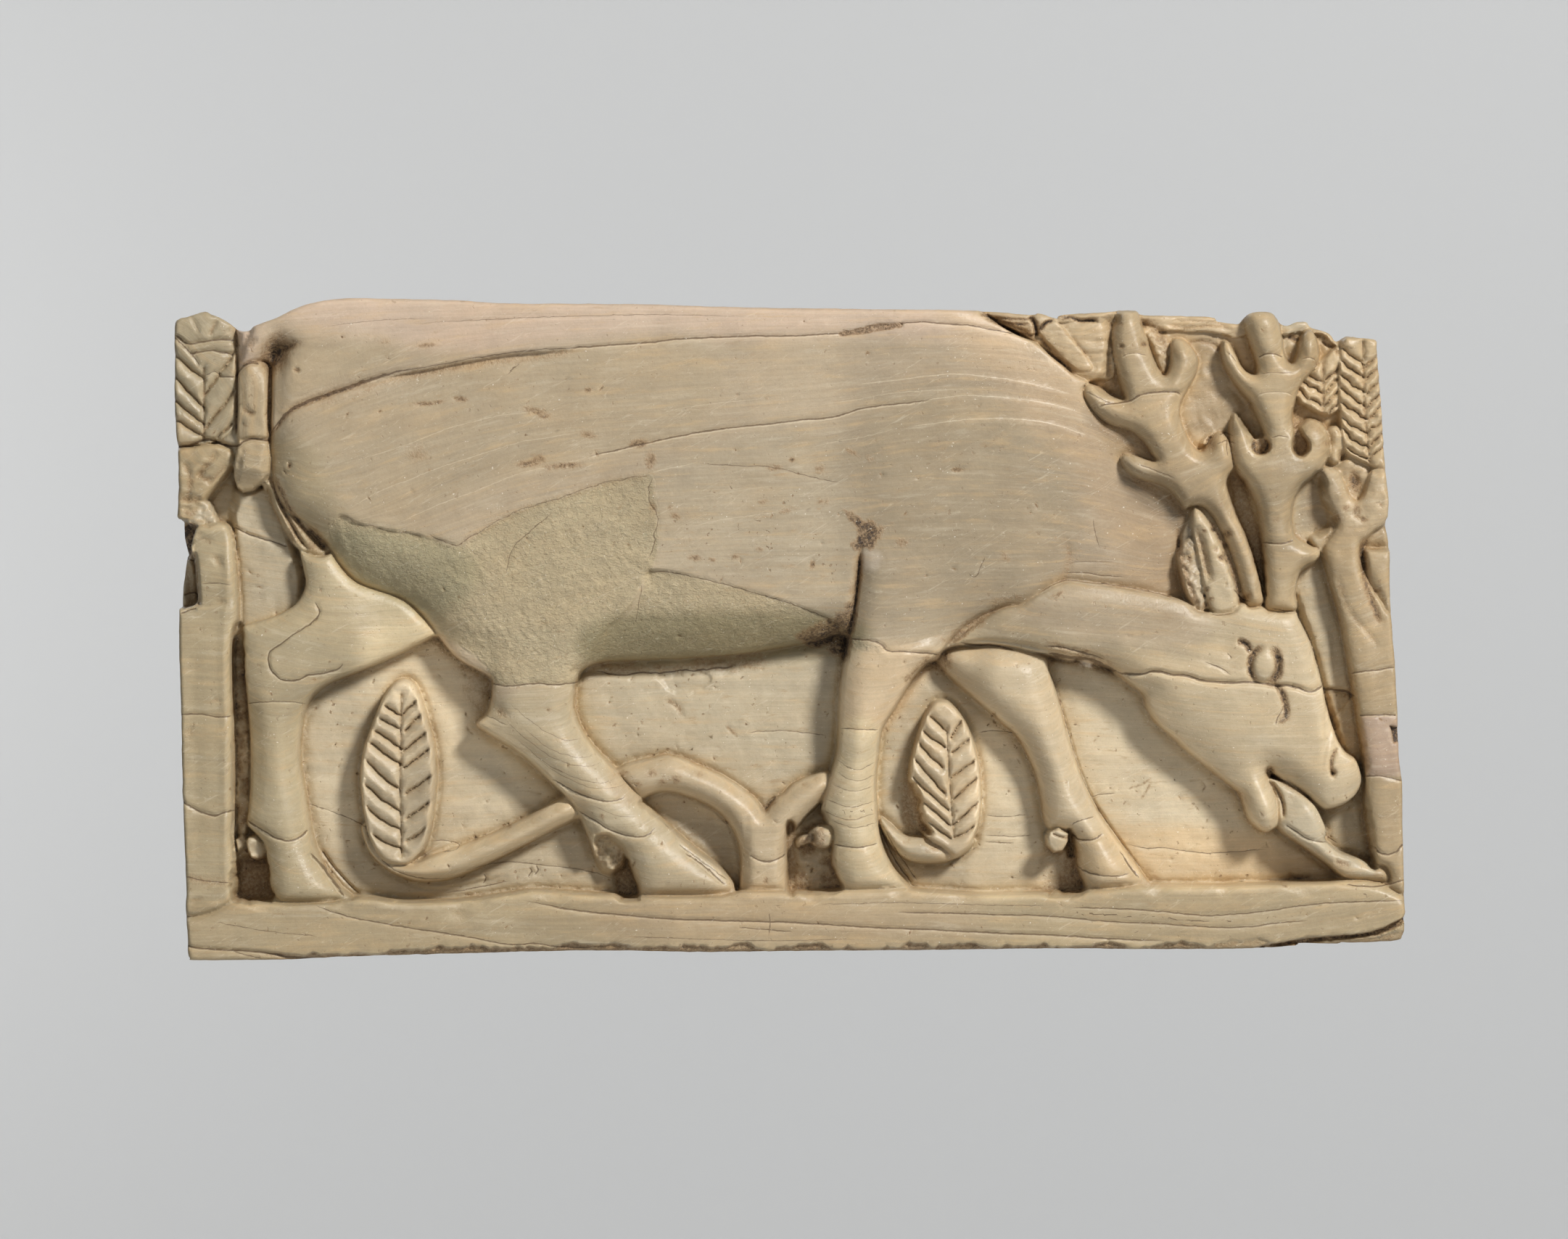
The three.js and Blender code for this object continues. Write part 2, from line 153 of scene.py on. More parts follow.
def blur(a, sigma):
    """Gaussian blur, sigma in sheet steps."""
    s = sigma / PITCH
    if s < 0.3:
        return a
    n = int(max(1, round(3 * s)))
    k = np.exp(-0.5 * (np.arange(-n, n + 1) / s) ** 2)
    k /= k.sum()
    pad = np.pad(a, ((n, n), (0, 0)), mode="edge")
    out = sum(k[i] * pad[i:i + a.shape[0], :] for i in range(2 * n + 1))
    pad = np.pad(out, ((0, 0), (n, n)), mode="edge")
    return sum(k[i] * pad[:, i:i + a.shape[1]] for i in range(2 * n + 1))


def lattice(seed, n=256):
    return np.random.default_rng(seed).random((n, n))


def noise(x, y, size, seed, octaves=3, fall=0.5):
    """Smooth value noise from -1 to 1; `size` is the size of its blobs."""
    table = lattice(seed)
    n = table.shape[0]
    total, amp, out = 0.0, 1.0, np.zeros(np.shape(x))
    sx, sy = (size if isinstance(size, tuple) else (size, size))
    for o in range(octaves):
        u, v = x / sx * 2 ** o + 17.3 * o, y / sy * 2 ** o + 31.7 * o
        iu, iv = np.floor(u).astype(int), np.floor(v).astype(int)
        fu, fv = smooth(u - iu), smooth(v - iv)
        a = table[iv % n, iu % n]
        b = table[iv % n, (iu + 1) % n]
        c = table[(iv + 1) % n, iu % n]
        d = table[(iv + 1) % n, (iu + 1) % n]
        out += amp * ((a * (1 - fu) + b * fu) * (1 - fv) + (c * (1 - fu) + d * fu) * fv)
        total += amp
        amp *= fall
    return out / total * 2.0 - 1.0


# ---------------------------------------------------------------- fields
H = np.full(X.shape, GROUND)          # height above the back
DIRT_AND_PAINTED_SHADE = np.zeros(X.shape)              # brown dirt and stain, with painted shade in hollows and below the antlers
FILL = np.zeros(X.shape)              # grey-green filler
SPECK = np.full(X.shape, 0.42)        # how many small brown specks
GRAIN = np.ones(X.shape)              # how strongly the growth layers show
# thin lines: signed distance to the nearest one and its half width there; lines
# that lie close together go to different layers
LINES = {"crack": [(np.full(X.shape, 30.0), np.full(X.shape, -3.0)) for _ in range(3)],
         "cream": [(np.full(X.shape, 30.0), np.full(X.shape, -3.0)) for _ in range(2)]}
TINT = np.zeros(X.shape + (3,))
EVERYWHERE = (slice(0, NR), slice(0, NC))


def at(v, x, y):
    return v(x, y) if callable(v) else np.full(x.shape, float(v))


def form(pts, top, rnd, drop, wall=5.0, soft=0.0, groove=(5.0, 0.25), smoothed=True, keep=None, power=2.0,
         reach=None):
    """Raise a form with the given outline: `top` height, an edge rounded over
    `rnd` steps by `drop` millimetres, a steep wall down to what lies behind,
    and a shallow cut in what lies behind along the outline."""
    poly = spline(pts, True, 3.0) if smoothed else np.asarray(pts, float)
    big = reach or ((rnd if not callable(rnd) else 90.0) + 4)
    big = max(big, groove[0] * 3, 14)
    w = window(poly, max(groove[0] * 3, 14))
    x, y = X[w], Y[w]
    s = inside_field(poly, w, big)
    h = H[w].copy()
    t = top(x, y, s) if callable(top) else np.full(x.shape, float(top))
    k = np.clip(s / at(rnd, x, y), 0.0, 1.0)
    q = (1.0 - (1.0 - k) ** power) ** (1.0 / power)
    z = t - at(drop, x, y) * (1.0 - q)
    if soft > 0:
        m = (s > 0).astype(float)
        zs = blur(z * m, soft) / np.maximum(blur(m, soft), 1e-3)
        z = np.where(s > 0, z + (zs - z) * ramp(s, 1.0, soft * 1.6), z)
    cut = h - groove[1] * np.exp(-np.clip(-s, 0, None) ** 2 / (2 * groove[0] ** 2)) * (s < wall * 0.5)
    m = ramp(s, -wall * 0.5, wall * 0.5)
    if keep is not None:
        v = keep(x, y)
        m = m * v
        cut = h + (cut - h) * v
    H[w] = cut * (1 - m) + z * m
    return w, s, m


def taper_of(t, taper):
    if taper <= 0:
        return np.ones(t.shape)
    return np.clip(np.minimum(t, 1 - t) / taper, 0, 1) ** 0.6


def wander(p, amount, seed, size=11.0):
    p = p.copy()
    n1 = noise(p[:, 0], p[:, 1], size, seed, 3)
    n2 = noise(p[:, 0] + 90, p[:, 1] - 40, size, seed + 1, 3)
    p[:, 0] += amount * n1
    p[:, 1] += amount * n2
    return p


def mark(kind, w, d, side, width):
    """Record a thin line in the layer where the others are farthest from it."""
    core = d < 1.6 * PITCH
    if not core.any():
        return
    D, W = max(LINES[kind], key=lambda c: np.abs(c[0][w])[core].min())
    old = np.abs(D[w])
    near = (d < old) & (d < 12)
    both = (d < 12) & (old < 12)
    D[w] = np.where(near, d * side, D[w])
    W[w] = np.where(near, width - 0.35 * np.clip(d - 5, 0, None), W[w])
    W[w] -= np.where(both, 3.0 * np.clip(1 - np.abs(d - old) / 5.0, 0, 1), 0)


def crack(pts, depth=0.16, width=1.5, colour=1.0, taper=0.1, lip=0.0, seed=1, jitter=0.9, dirt_and_painted_shade=0.0, closed=False,
          sharp=False):
    """An open crack: a cut, a dark line, and perhaps a pale lower lip, partly a painted highlight."""
    p = wander(spline(pts, closed, 3.0), jitter, seed)
    w = window(p, 24)
    d, t, side = line_field(p, w, 22, closed)
    e = taper_of(t, 0 if closed else taper)
    sig = width * 0.9 + 0.5
    H[w] -= 0.85 * depth * e * (np.clip(1 - d / (sig * 2), 0, 1) if sharp else np.exp(-0.5 * (d / sig) ** 2))
    if colour > 0:
        mark("crack", w, d, side, (0.42 * width + 0.15) * colour * e)
    if lip > 0:
        off = width * 0.6 + 1.4
        mark("cream", w, np.abs(d * side - off), np.sign(d * side - off + 1e-6), 0.5 * lip * e)
    if dirt_and_painted_shade > 0:
        DIRT_AND_PAINTED_SHADE[w] = np.maximum(DIRT_AND_PAINTED_SHADE[w], dirt_and_painted_shade * e * np.exp(-0.5 * (d / (width * 3 + 2)) ** 2))
    return w, d, t, side


def lip_line(pts, width=1.1, rise=0.05, fade=14.0, side=1, taper=0.12, seed=1, jitter=0.7):
    """The pale edge of a growth layer, partly a painted highlight: a hair-thin ledge."""
    p = wander(spline(pts, False, 3.0), jitter, seed)
    w = window(p, fade * 3 + 6)
    d, t, sd = line_field(p, w, fade * 3 + 4)
    e = taper_of(t, taper)
    if rise:
        H[w] += rise * e * np.where(sd * side > 0, np.exp(-d / fade), -0.4 * np.exp(-d / 3.0))
    if width:
        mark("cream", w, d, sd, 0.55 * width * e)


def ledge(pts, rise, fade=40.0, side=1, ends=0.1, soft=2.0):
    """Lift one side of a line, fading away from it; the other side stays."""
    p = spline(pts, False, 3.0)
    w = window(p, fade * 3)
    d, t, sd = line_field(p, w, fade * 3)
    e = np.clip(np.minimum(t, 1 - t) / max(ends, 1e-3), 0, 1)
    s = d * sd * side
    H[w] += rise * e * ramp(s, -soft, soft) * np.exp(-np.clip(s, 0, None) / fade)


def furrow(pts, depth, width, taper=0.12, dirt_and_painted_shade=0.0, jitter=0.0, seed=3, sharp=False):
    """A broad soft groove (or a ridge, when depth is negative)."""
    p = spline(pts, False, 3.0)
    if jitter:
        p = wander(p, jitter, seed)
    w = window(p, width * 4 + 4)
    d, t, side = line_field(p, w, width * 4 + 2)
    e = taper_of(t, taper)
    g = np.clip(1 - d / (width * 1.8), 0, 1) if sharp else np.exp(-0.5 * (d / width) ** 2)
    H[w] -= depth * g * e
    if dirt_and_painted_shade:
        DIRT_AND_PAINTED_SHADE[w] = np.maximum(DIRT_AND_PAINTED_SHADE[w], dirt_and_painted_shade * e * np.exp(-0.5 * (d / (width * 1.1)) ** 2))


def dent(cx, cy, rx, ry, depth, angle=0.0, power=1.0, dirt_and_painted_shade=0.0):
    """A soft hollow (or a swelling, when depth is negative), darkened in the colour where asked."""
    r = max(rx, ry) * 3
    w = window([(cx - r, cy - r), (cx + r, cy + r)], 0)
    x, y = X[w] - cx, Y[w] - cy
    a = math.radians(angle)
    u, v = (x * math.cos(a) + y * math.sin(a)) / rx, (-x * math.sin(a) + y * math.cos(a)) / ry
    g = np.exp(-0.5 * (u * u + v * v) ** power)
    H[w] -= depth * g
    if dirt_and_painted_shade:
        DIRT_AND_PAINTED_SHADE[w] = np.maximum(DIRT_AND_PAINTED_SHADE[w], dirt_and_painted_shade * g)


def patch(pts, edge=4.0, rough=0.0, seed=1, size=9.0, smoothed=True):
    """A closed area as a soft mask, with a ragged edge if asked."""
    p = spline(pts, True, 3.0) if smoothed else np.asarray(pts, float)
    w = window(p, edge * 3 + rough * 3)
    s = inside_field(p, w, edge * 3 + rough * 3 + 3)
    if rough:
        s = s + rough * noise(X[w], Y[w], size, seed, 3)
    return w, ramp(s, -edge, edge)


def pit(pts, floor, edge=4.0, dirt_and_painted_shade=0.0, rough=0.0, seed=1):
    """Sink an area to a floor height."""
    w, m = patch(pts, edge, rough, seed)
    H[w] = H[w] * (1 - m) + np.minimum(H[w], floor) * m
    if dirt_and_painted_shade:
        DIRT_AND_PAINTED_SHADE[w] = np.maximum(DIRT_AND_PAINTED_SHADE[w], dirt_and_painted_shade * m)


def rubble(pts, height, rough, size, seed, edge=5.0, dirt_and_painted_shade=0.0):
    """A rough broken surface at about one height."""
    w, m = patch(pts, edge, 2.0, seed)
    z = height + rough * noise(X[w], Y[w], size, seed + 1, 3)
    H[w] = H[w] * (1 - m) + z * m
    if dirt_and_painted_shade:
        DIRT_AND_PAINTED_SHADE[w] = np.maximum(DIRT_AND_PAINTED_SHADE[w], dirt_and_painted_shade * m * np.clip(0.5 - 1.6 * noise(X[w], Y[w], size, seed + 1, 3), 0, 1))


def stain(pts, value, edge=4.0, rough=5.0, seed=1, size=10.0, patchy=0.3):
    w, m = patch(pts, edge, rough, seed, size)
    m = m * (1 - patchy + patchy * noise(X[w], Y[w], size * 0.7, seed + 7, 2))
    DIRT_AND_PAINTED_SHADE[w] = np.maximum(DIRT_AND_PAINTED_SHADE[w], value * m)


def tint(pts, colour, strength=1.0, edge=25.0, smoothed=True):
    w, m = patch(pts, edge, 0, 1, 9, smoothed)
    m = (m * strength)[..., None]
    TINT[w] = TINT[w] * (1 - m) + np.asarray(colour) * m


def shade(pts, factor, edge=25.0):
    """Make an area lighter or darker."""
    w, m = patch(pts, edge)
    TINT[w] *= (1.0 + (np.asarray(factor) - 1.0) * m[..., None])


def plane(*slopes):
    """A top surface through control heights: (col, row, height)."""
    pts = np.array(slopes, float)

    def f(x, y, s):
        num, den = np.zeros(x.shape), np.zeros(x.shape)
        for cx, cy, z in pts:
            wgt = 1.0 / ((x - cx) ** 2 + (y - cy) ** 2 + 60.0) ** 1.5
            num += wgt * z
            den += wgt
        return num / den
    return f


# ---------------------------------------------------------------- silhouette
SILHOUETTE = [
    (241, 450), (247, 440), (258, 437), (270, 433), (283, 430), (292, 434), (300, 437), (310, 442),
    (318, 447), (325, 453), (335, 457), (345, 456), (350, 451), (360, 447), (380, 440), (395, 433),
    (405, 428), (420, 422), (435, 418), (465, 413), (500, 412), (600, 414), (640, 415), (700, 419),
    (870, 420), (940, 422), (1050, 425), (1200, 427), (1350, 429), (1421, 434), (1432, 432), (1457, 439),
    (1464, 434), (1529, 430), (1545, 428), (1566, 428), (1575, 434), (1614, 435), (1671, 437), (1680, 443),
    (1707, 446), (1714, 440), (1721, 433), (1736, 430), (1754, 432), (1764, 444), (1775, 449), (1788, 444),
    (1802, 444), (1808, 451), (1832, 459), (1842, 470), (1852, 466), (1859, 463), (1873, 466), (1896, 469),
    (1898, 481), (1901, 515), (1905, 566), (1908, 617), (1910, 650), (1914, 691), (1913, 711), (1910, 721),
    (1915, 752), (1916, 819), (1920, 887), (1923, 921), (1926, 985), (1928, 1043), (1932, 1077), (1933, 1127),
    (1934, 1165), (1936, 1246), (1937, 1256), (1935, 1264), (1936, 1280), (1933, 1290), (1926, 1296), (1880, 1299),
    (1849, 1299), (1844, 1301), (1791, 1300), (1786, 1303), (1720, 1307), (1585, 1308), (1450, 1307), (1300, 1309),
    (1056, 1311), (960, 1312), (850, 1310), (740, 1311), (600, 1315), (520, 1317), (440, 1320), (400, 1322),
    (275, 1323), (263, 1320), (260, 1310), (260, 1295), (258, 1270), (257, 1245), (258, 1230), (256, 1180),
    (253, 1100), (251, 1000), (250, 960), (248, 900), (248, 840), (249, 815), (250, 800), (253, 780),
    (254, 768), (256, 765), (254, 755), (250, 740), (250, 718), (244, 713), (245, 690), (246, 650),
    (245, 615), (243, 600), (241, 560), (241, 500)]
EDGE = spline(SILHOUETTE, True, 2.5)
# the broken edge wanders a little
EDGE[:, 0] += 0.7 * noise(EDGE[:, 0], EDGE[:, 1], 14.0, 5, 3)
EDGE[:, 1] += 0.7 * noise(EDGE[:, 0], EDGE[:, 1], 14.0, 6, 3)

# ---------------------------------------------------------------- ground
H += 0.18 * noise(X, Y, 150.0, 11, 2) + 0.05 * noise(X, Y, 30.0, 12, 2)

# ---------------------------------------------------------------- low plants
LEFT_LEAF = [(548, 938), (560, 937), (571, 945), (580, 966), (589, 996), (597, 1027), (600, 1069), (598, 1104), (593, 1140),
             (586, 1166), (575, 1182), (562, 1192), (545, 1193), (530, 1188), (517, 1174), (506, 1150), (500, 1120), (496, 1086),
             (496, 1060), (500, 1033), (506, 1014), (512, 998), (519, 980), (527, 962), (537, 947)]
LEFT_VEINS = [
    [(530, 972), (541, 979), (553, 986)], [(517, 985), (533, 995), (550, 1004)], [(509, 1002), (530, 1016), (553, 1032)],
    [(503, 1018), (528, 1038), (553, 1053)], [(499, 1040), (522, 1066), (547, 1086)], [(496, 1074), (522, 1098), (550, 1117)],
    [(500, 1107), (524, 1128), (551, 1143)], [(508, 1146), (530, 1160), (553, 1171)],
    [(555, 985), (564, 975), (574, 964)], [(558, 1006), (568, 996), (582, 984)], [(555, 1035), (571, 1022), (588, 1008)],
    [(556, 1058), (574, 1046), (594, 1030)], [(560, 1093), (578, 1081), (598, 1066)], [(560, 1128), (575, 1118), (595, 1102)],
    [(560, 1160), (575, 1151), (590, 1138)]]
RIGHT_LEAF = [(1304, 966), (1314, 972), (1326, 986), (1336, 1004), (1344, 1028), (1350, 1056), (1353, 1088), (1352, 1120),
              (1347, 1146), (1336, 1168), (1318, 1182), (1292, 1188), (1278, 1170), (1271, 1148), (1263, 1128),
              (1257, 1104), (1254, 1076), (1257, 1047), (1266, 1014), (1277, 984), (1289, 968)]
RIGHT_VEINS = [
    [(1284, 988), (1294, 998), (1304, 1007)], [(1268, 1004), (1286, 1018), (1303, 1030)],
    [(1264, 1020), (1282, 1040), (1300, 1058)], [(1258, 1040), (1282, 1070), (1303, 1094)],
    [(1257, 1070), (1282, 1093), (1309, 1117)], [(1268, 1102), (1288, 1117), (1310, 1137)],
    [(1276, 1130), (1294, 1144), (1312, 1156)],
    [(1311, 1018), (1318, 1006), (1326, 994)], [(1312, 1038), (1324, 1029), (1338, 1018)],
    [(1312, 1072), (1328, 1060), (1345, 1048)], [(1314, 1102), (1330, 1088), (1348, 1072)],
    [(1314, 1138), (1332, 1122), (1350, 1104)], [(1318, 1154), (1334, 1146), (1349, 1136)]]


def feathered(outline, veins, rib, top, puff=0.5, rnd=10.0, drop=1.1, vein_depth=0.34, vein_width=1.15,
              puff_width=13.0, dirt_and_painted_shade=0.4, wall=5.0, groove=(5.0, 0.4), edge_in=3.0, seed=40, saw=0.42, stray=0.8,
              rim=0.0):
    """A leaf whose leaflets swell between cut veins: each stands proud at its
    lower edge and slopes back under the one above."""
    poly = spline(outline, True, 3.0)
    w = window(poly, 24)
    x, y = X[w], Y[w]
    s = inside_field(poly, w, 30)
    near = np.full(x.shape, 40.0)
    low = np.zeros(x.shape)
    for v in veins:
        d, t, sd = line_field(wander(spline(v, False, 3.0), stray, seed + int(v[0][1])), w, 40)
        m = d < near
        near = np.where(m, d, near)
        low = np.where(m, np.where(sd > 0, np.exp(-d / 7.0), 0.0), low)
    rd, _, _ = line_field(spline(rib, False, 3.0), w, 40)
    swell = 1.0 - (1.0 - np.clip(np.minimum(near, rd * 1.2) / puff_width, 0, 1)) ** 2
    h = H[w].copy()
    k = np.clip(s / rnd, 0, 1)
    q = np.sqrt(1 - (1 - k) ** 2)
    z = top - drop * (1 - q) - (puff * (1 - swell) + saw * low) * ramp(s, rim, rim + 6)
    z -= vein_depth * np.exp(-0.5 * (near / vein_width) ** 2) * ramp(s, edge_in * 0.2, edge_in * 1.4)
    z -= vein_depth * 0.55 * np.exp(-0.5 * (rd / (vein_width * 0.9)) ** 2) * ramp(s, 2, 10)
    z += 0.08 * noise(x, y, 11.0, seed, 3)
    cut = h - groove[1] * np.exp(-np.clip(-s, 0, None) ** 2 / (2 * groove[0] ** 2)) * (s < wall * 0.5)
    m = ramp(s, -wall * 0.5, wall * 0.5)
    H[w] = cut * (1 - m) + z * m
    DIRT_AND_PAINTED_SHADE[w] = np.maximum(DIRT_AND_PAINTED_SHADE[w], dirt_and_painted_shade * np.exp(-0.5 * (np.minimum(near, rd * 1.3) / 2.2) ** 2) * ramp(s, 0, 4)
                         * (0.6 + 0.4 * noise(x, y, 16.0, seed + 1, 2)))
    return w, s


# stem from the left leaf, the arch and the forked trunk
STEM_L = [(503, 1136), (509, 1154), (519, 1172), (532, 1183), (545, 1188), (560, 1189), (575, 1187), (600, 1179), (640, 1165), (680, 1149), (720, 1130),
          (760, 1108), (790, 1093), (812, 1090), (812, 1124), (790, 1132), (760, 1146), (720, 1167), (680, 1187),
          (640, 1205), (610, 1214), (580, 1216), (560, 1212), (538, 1203), (520, 1190), (507, 1174), (499, 1154), (497, 1140)]
form(STEM_L, 8.1, 19, 2.0, wall=5, soft=3.5, groove=(5, 0.3), power=1.8)
ARCH = [(840, 1066), (855, 1058), (870, 1052), (900, 1045), (920, 1042), (940, 1046), (960, 1055), (980, 1063), (1000, 1073),
        (1020, 1086), (1038, 1100), (1049, 1113), (1054, 1120), (1060, 1113), (1070, 1102), (1081, 1094), (1092, 1083),
        (1104, 1076), (1121, 1069), (1140, 1064), (1158, 1078), (1150, 1096), (1137, 1104), (1124, 1114), (1112, 1126),
        (1101, 1139), (1093, 1152), (1088, 1170), (1087, 1195), (1086, 1240), (1019, 1240), (1019, 1225), (1021, 1200),
        (1021, 1180), (1016, 1157), (1006, 1137), (991, 1120), (970, 1107), (950, 1099), (930, 1093), (910, 1092),
        (893, 1098), (880, 1106), (860, 1112), (845, 1095)]
form(ARCH, 7.9, 22, 2.1, wall=4.5, soft=3.5, groove=(5, 0.35), power=1.8)
feathered(LEFT_LEAF, LEFT_VEINS, [(553, 958), (552, 1020), (551, 1080), (552, 1130), (553, 1180)], 7.7, saw=0.3, vein_width=1.05, vein_depth=0.3,
          stray=1.8, edge_in=8.0, rim=4.0, dirt_and_painted_shade=0.3, puff=0.44, puff_width=16)
STEM_R = [(1214, 1128), (1226, 1136), (1240, 1148), (1255, 1154), (1275, 1155), (1295, 1160), (1315, 1165), (1335, 1158), (1345, 1160),
          (1333, 1176), (1312, 1187), (1286, 1191), (1260, 1189), (1244, 1182), (1232, 1170), (1222, 1156), (1214, 1142)]
form(STEM_R, 7.3, 15, 1.6, wall=4.5, soft=3, groove=(5, 0.4), power=1.8)
feathered(RIGHT_LEAF[:11] + [(1300, 1170), (1284, 1160)] + RIGHT_LEAF[13:], RIGHT_VEINS,
          [(1306, 1004), (1307, 1030), (1309, 1072), (1312, 1111), (1315, 1156)], 7.6, saw=0.25, vein_width=1.0, vein_depth=0.28,
          dirt_and_painted_shade=0.26, stray=1.6, edge_in=5.0, rim=2.0)

# ---------------------------------------------------------------- far legs
FAR_HIND = [
    (640, 850), (600, 835), (540, 790), (480, 735), (430, 728), (408, 742), (412, 763), (417, 785), (420, 803), (416, 818), (408, 830),
    (396, 840), (378, 849), (352, 857), (334, 863), (330, 875), (331, 900), (334, 935), (339, 965), (342, 1003), (343, 1040),
    (343, 1080), (341, 1110), (338, 1135), (348, 1148), (358, 1160), (364, 1175), (367, 1195), (370, 1217), (374, 1238),
    (378, 1252), (430, 1254), (480, 1243), (483, 1237), (470, 1226), (458, 1212), (446, 1196), (436, 1176), (428, 1150),
    (423, 1120), (418, 1090), (413, 1060), (412, 1030), (414, 1002), (418, 980), (426, 964), (438, 951), (455, 940),
    (480, 930), (510, 918), (545, 903), (575, 888), (605, 877), (640, 890)]
form(FAR_HIND, plane((560, 850, 7.9), (450, 880, 8.9), (380, 940, 9.0), (378, 1060, 8.5), (395, 1150, 8.7), (425, 1235, 8.9)),
     lambda x, y: 24 + 10 * ramp(y, 940, 1000), lambda x, y: 1.5 + 0.7 * ramp(y, 940, 1000), wall=5, soft=6, groove=(6, 0.3),
     power=1.8, reach=40)
FAR_FORE = [
    (1285, 900), (1300, 890), (1330, 884), (1365, 884), (1400, 891), (1440, 904), (1448, 925), (1456, 950), (1463, 976),
    (1470, 1004), (1480, 1038), (1492, 1072), (1507, 1106), (1524, 1135), (1545, 1163), (1565, 1190), (1580, 1211),
    (1592, 1232), (1555, 1236), (1502, 1238), (1497, 1222), (1489, 1203), (1485, 1180), (1480, 1156), (1470, 1147),
    (1458, 1145), (1447, 1143), (1441, 1128), (1437, 1100), (1430, 1070), (1419, 1042), (1404, 1016), (1380, 994),
    (1350, 968), (1321, 943), (1300, 922)]
form(FAR_FORE, plane((1320, 905, 7.6), (1390, 930, 8.9), (1430, 1000, 8.8), (1460, 1080, 8.7), (1490, 1140, 8.9), (1545, 1215, 9.0)),
     36, 2.5, wall=5, soft=6, groove=(7, 0.35), power=1.7)

# ---------------------------------------------------------------- rim behind the antlers
RIM = [(1335, 410), (1500, 410), (1700, 415), (1850, 430), (1850, 476), (1838, 474), (1826, 462), (1812, 460), (1790, 458),
       (1776, 462), (1762, 462), (1730, 460), (1705, 466), (1690, 462), (1660, 458), (1620, 456), (1600, 458), (1585, 462),
       (1575, 455), (1560, 446), (1530, 446), (1500, 442), (1470, 444), (1450, 444), (1436, 450), (1426, 462), (1405, 452),
       (1370, 438)]
form([(1345, 420), (1500, 426), (1533, 430), (1534, 470), (1540, 505), (1534, 522), (1512, 524), (1494, 530), (1474, 512), (1440, 482),
      (1402, 458), (1370, 442)], lambda x, y, s: 7.8 + 0.2 * noise(x, y, (44.0, 8.0), 72, 3), 4, 0.4, wall=7, groove=(3, 0.1))
form(RIM, lambda x, y, s: 7.2 + 0.8 * (1 - ramp(x, 1515, 1560)) + 0.2 * noise(x, y, (60.0, 7.0), 70, 3) + 0.1 * noise(x, y, (16.0, 8.0), 71, 2),
     3, 0.3, wall=4, groove=(3, 0.12))
form([(1432, 456), (1450, 443), (1462, 448), (1482, 472), (1502, 497), (1506, 510), (1490, 512), (1470, 498), (1448, 476)],
     lambda x, y, s: 8.3 - 0.3 * ramp(y, 450, 510) + 0.08 * noise(x, y, 9.0, 73, 2), 3, 0.2, wall=4, groove=(3, 0.12))

# ---------------------------------------------------------------- shallower parts of the ground
for k, (pts, z) in enumerate([
        ([(1640, 430), (1720, 440), (1850, 470), (1866, 560), (1860, 640), (1840, 700), (1800, 760), (1740, 800), (1700, 760),
          (1640, 640), (1600, 600), (1570, 540), (1560, 440)], 6.6),
        ([(1500, 430), (1600, 430), (1620, 540), (1600, 620), (1480, 560)], 6.3),
        ([(1780, 780), (1850, 770), (1884, 960), (1892, 1045), (1862, 1050), (1840, 990), (1800, 860)], 6.1),
        ([(1600, 650), (1640, 640), (1700, 660), (1750, 800), (1755, 850), (1640, 850), (1600, 740)], 6.4),
        ([(322, 690), (340, 672), (372, 672), (400, 745), (415, 800), (400, 850), (322, 862)], 5.9)]):
    w, m = patch(pts, 9.0, 3.0, 60 + k)
    H[w] = H[w] * (1 - m) + np.maximum(H[w], z + 0.12 * noise(X[w], Y[w], 20.0, 65 + k, 3)) * m

# the folds of the far thigh below the rump
form([(352, 652), (374, 640), (400, 660), (440, 696), (474, 728), (474, 746), (456, 762), (440, 768), (422, 764), (404, 752),
      (388, 726), (374, 696), (362, 672)], lambda x, y, s: 8.1 - 0.9 * ramp(y, 690, 765), 8, 0.9, wall=4, soft=2, groove=(4, 0.3))
furrow([(371, 656), (384, 690), (398, 718), (412, 742), (424, 758)], 0.6, 2.0, dirt_and_painted_shade=0.6)
furrow([(378, 656), (394, 690), (412, 720), (434, 744), (452, 758)], 0.6, 2.2, dirt_and_painted_shade=0.65)
furrow([(424, 728), (440, 748), (448, 758)], 0.3, 6.0, 0.1, 0.7, 1.5, 58)
# what lies behind the tail
form([(298, 452), (340, 448), (376, 470), (384, 520), (384, 600), (380, 640), (366, 664), (336, 668), (318, 640), (298, 618)], 8.2, 5, 0.5, wall=4,
     groove=(3, 0.2))
# what lies behind the breast where the neck leaves it
form([(1290, 902), (1296, 872), (1336, 842), (1400, 825), (1460, 830), (1486, 905), (1440, 902), (1380, 890), (1320, 890)], 8.2, 5, 0.4,
     wall=5, groove=(3, 0.1))
# what lies behind the ear and the antler stem beside it
form([(1622, 690), (1650, 690), (1684, 690), (1704, 740), (1724, 790), (1738, 846), (1640, 850), (1620, 780)], 7.9, 5, 0.5, wall=4,
     groove=(3, 0.2))

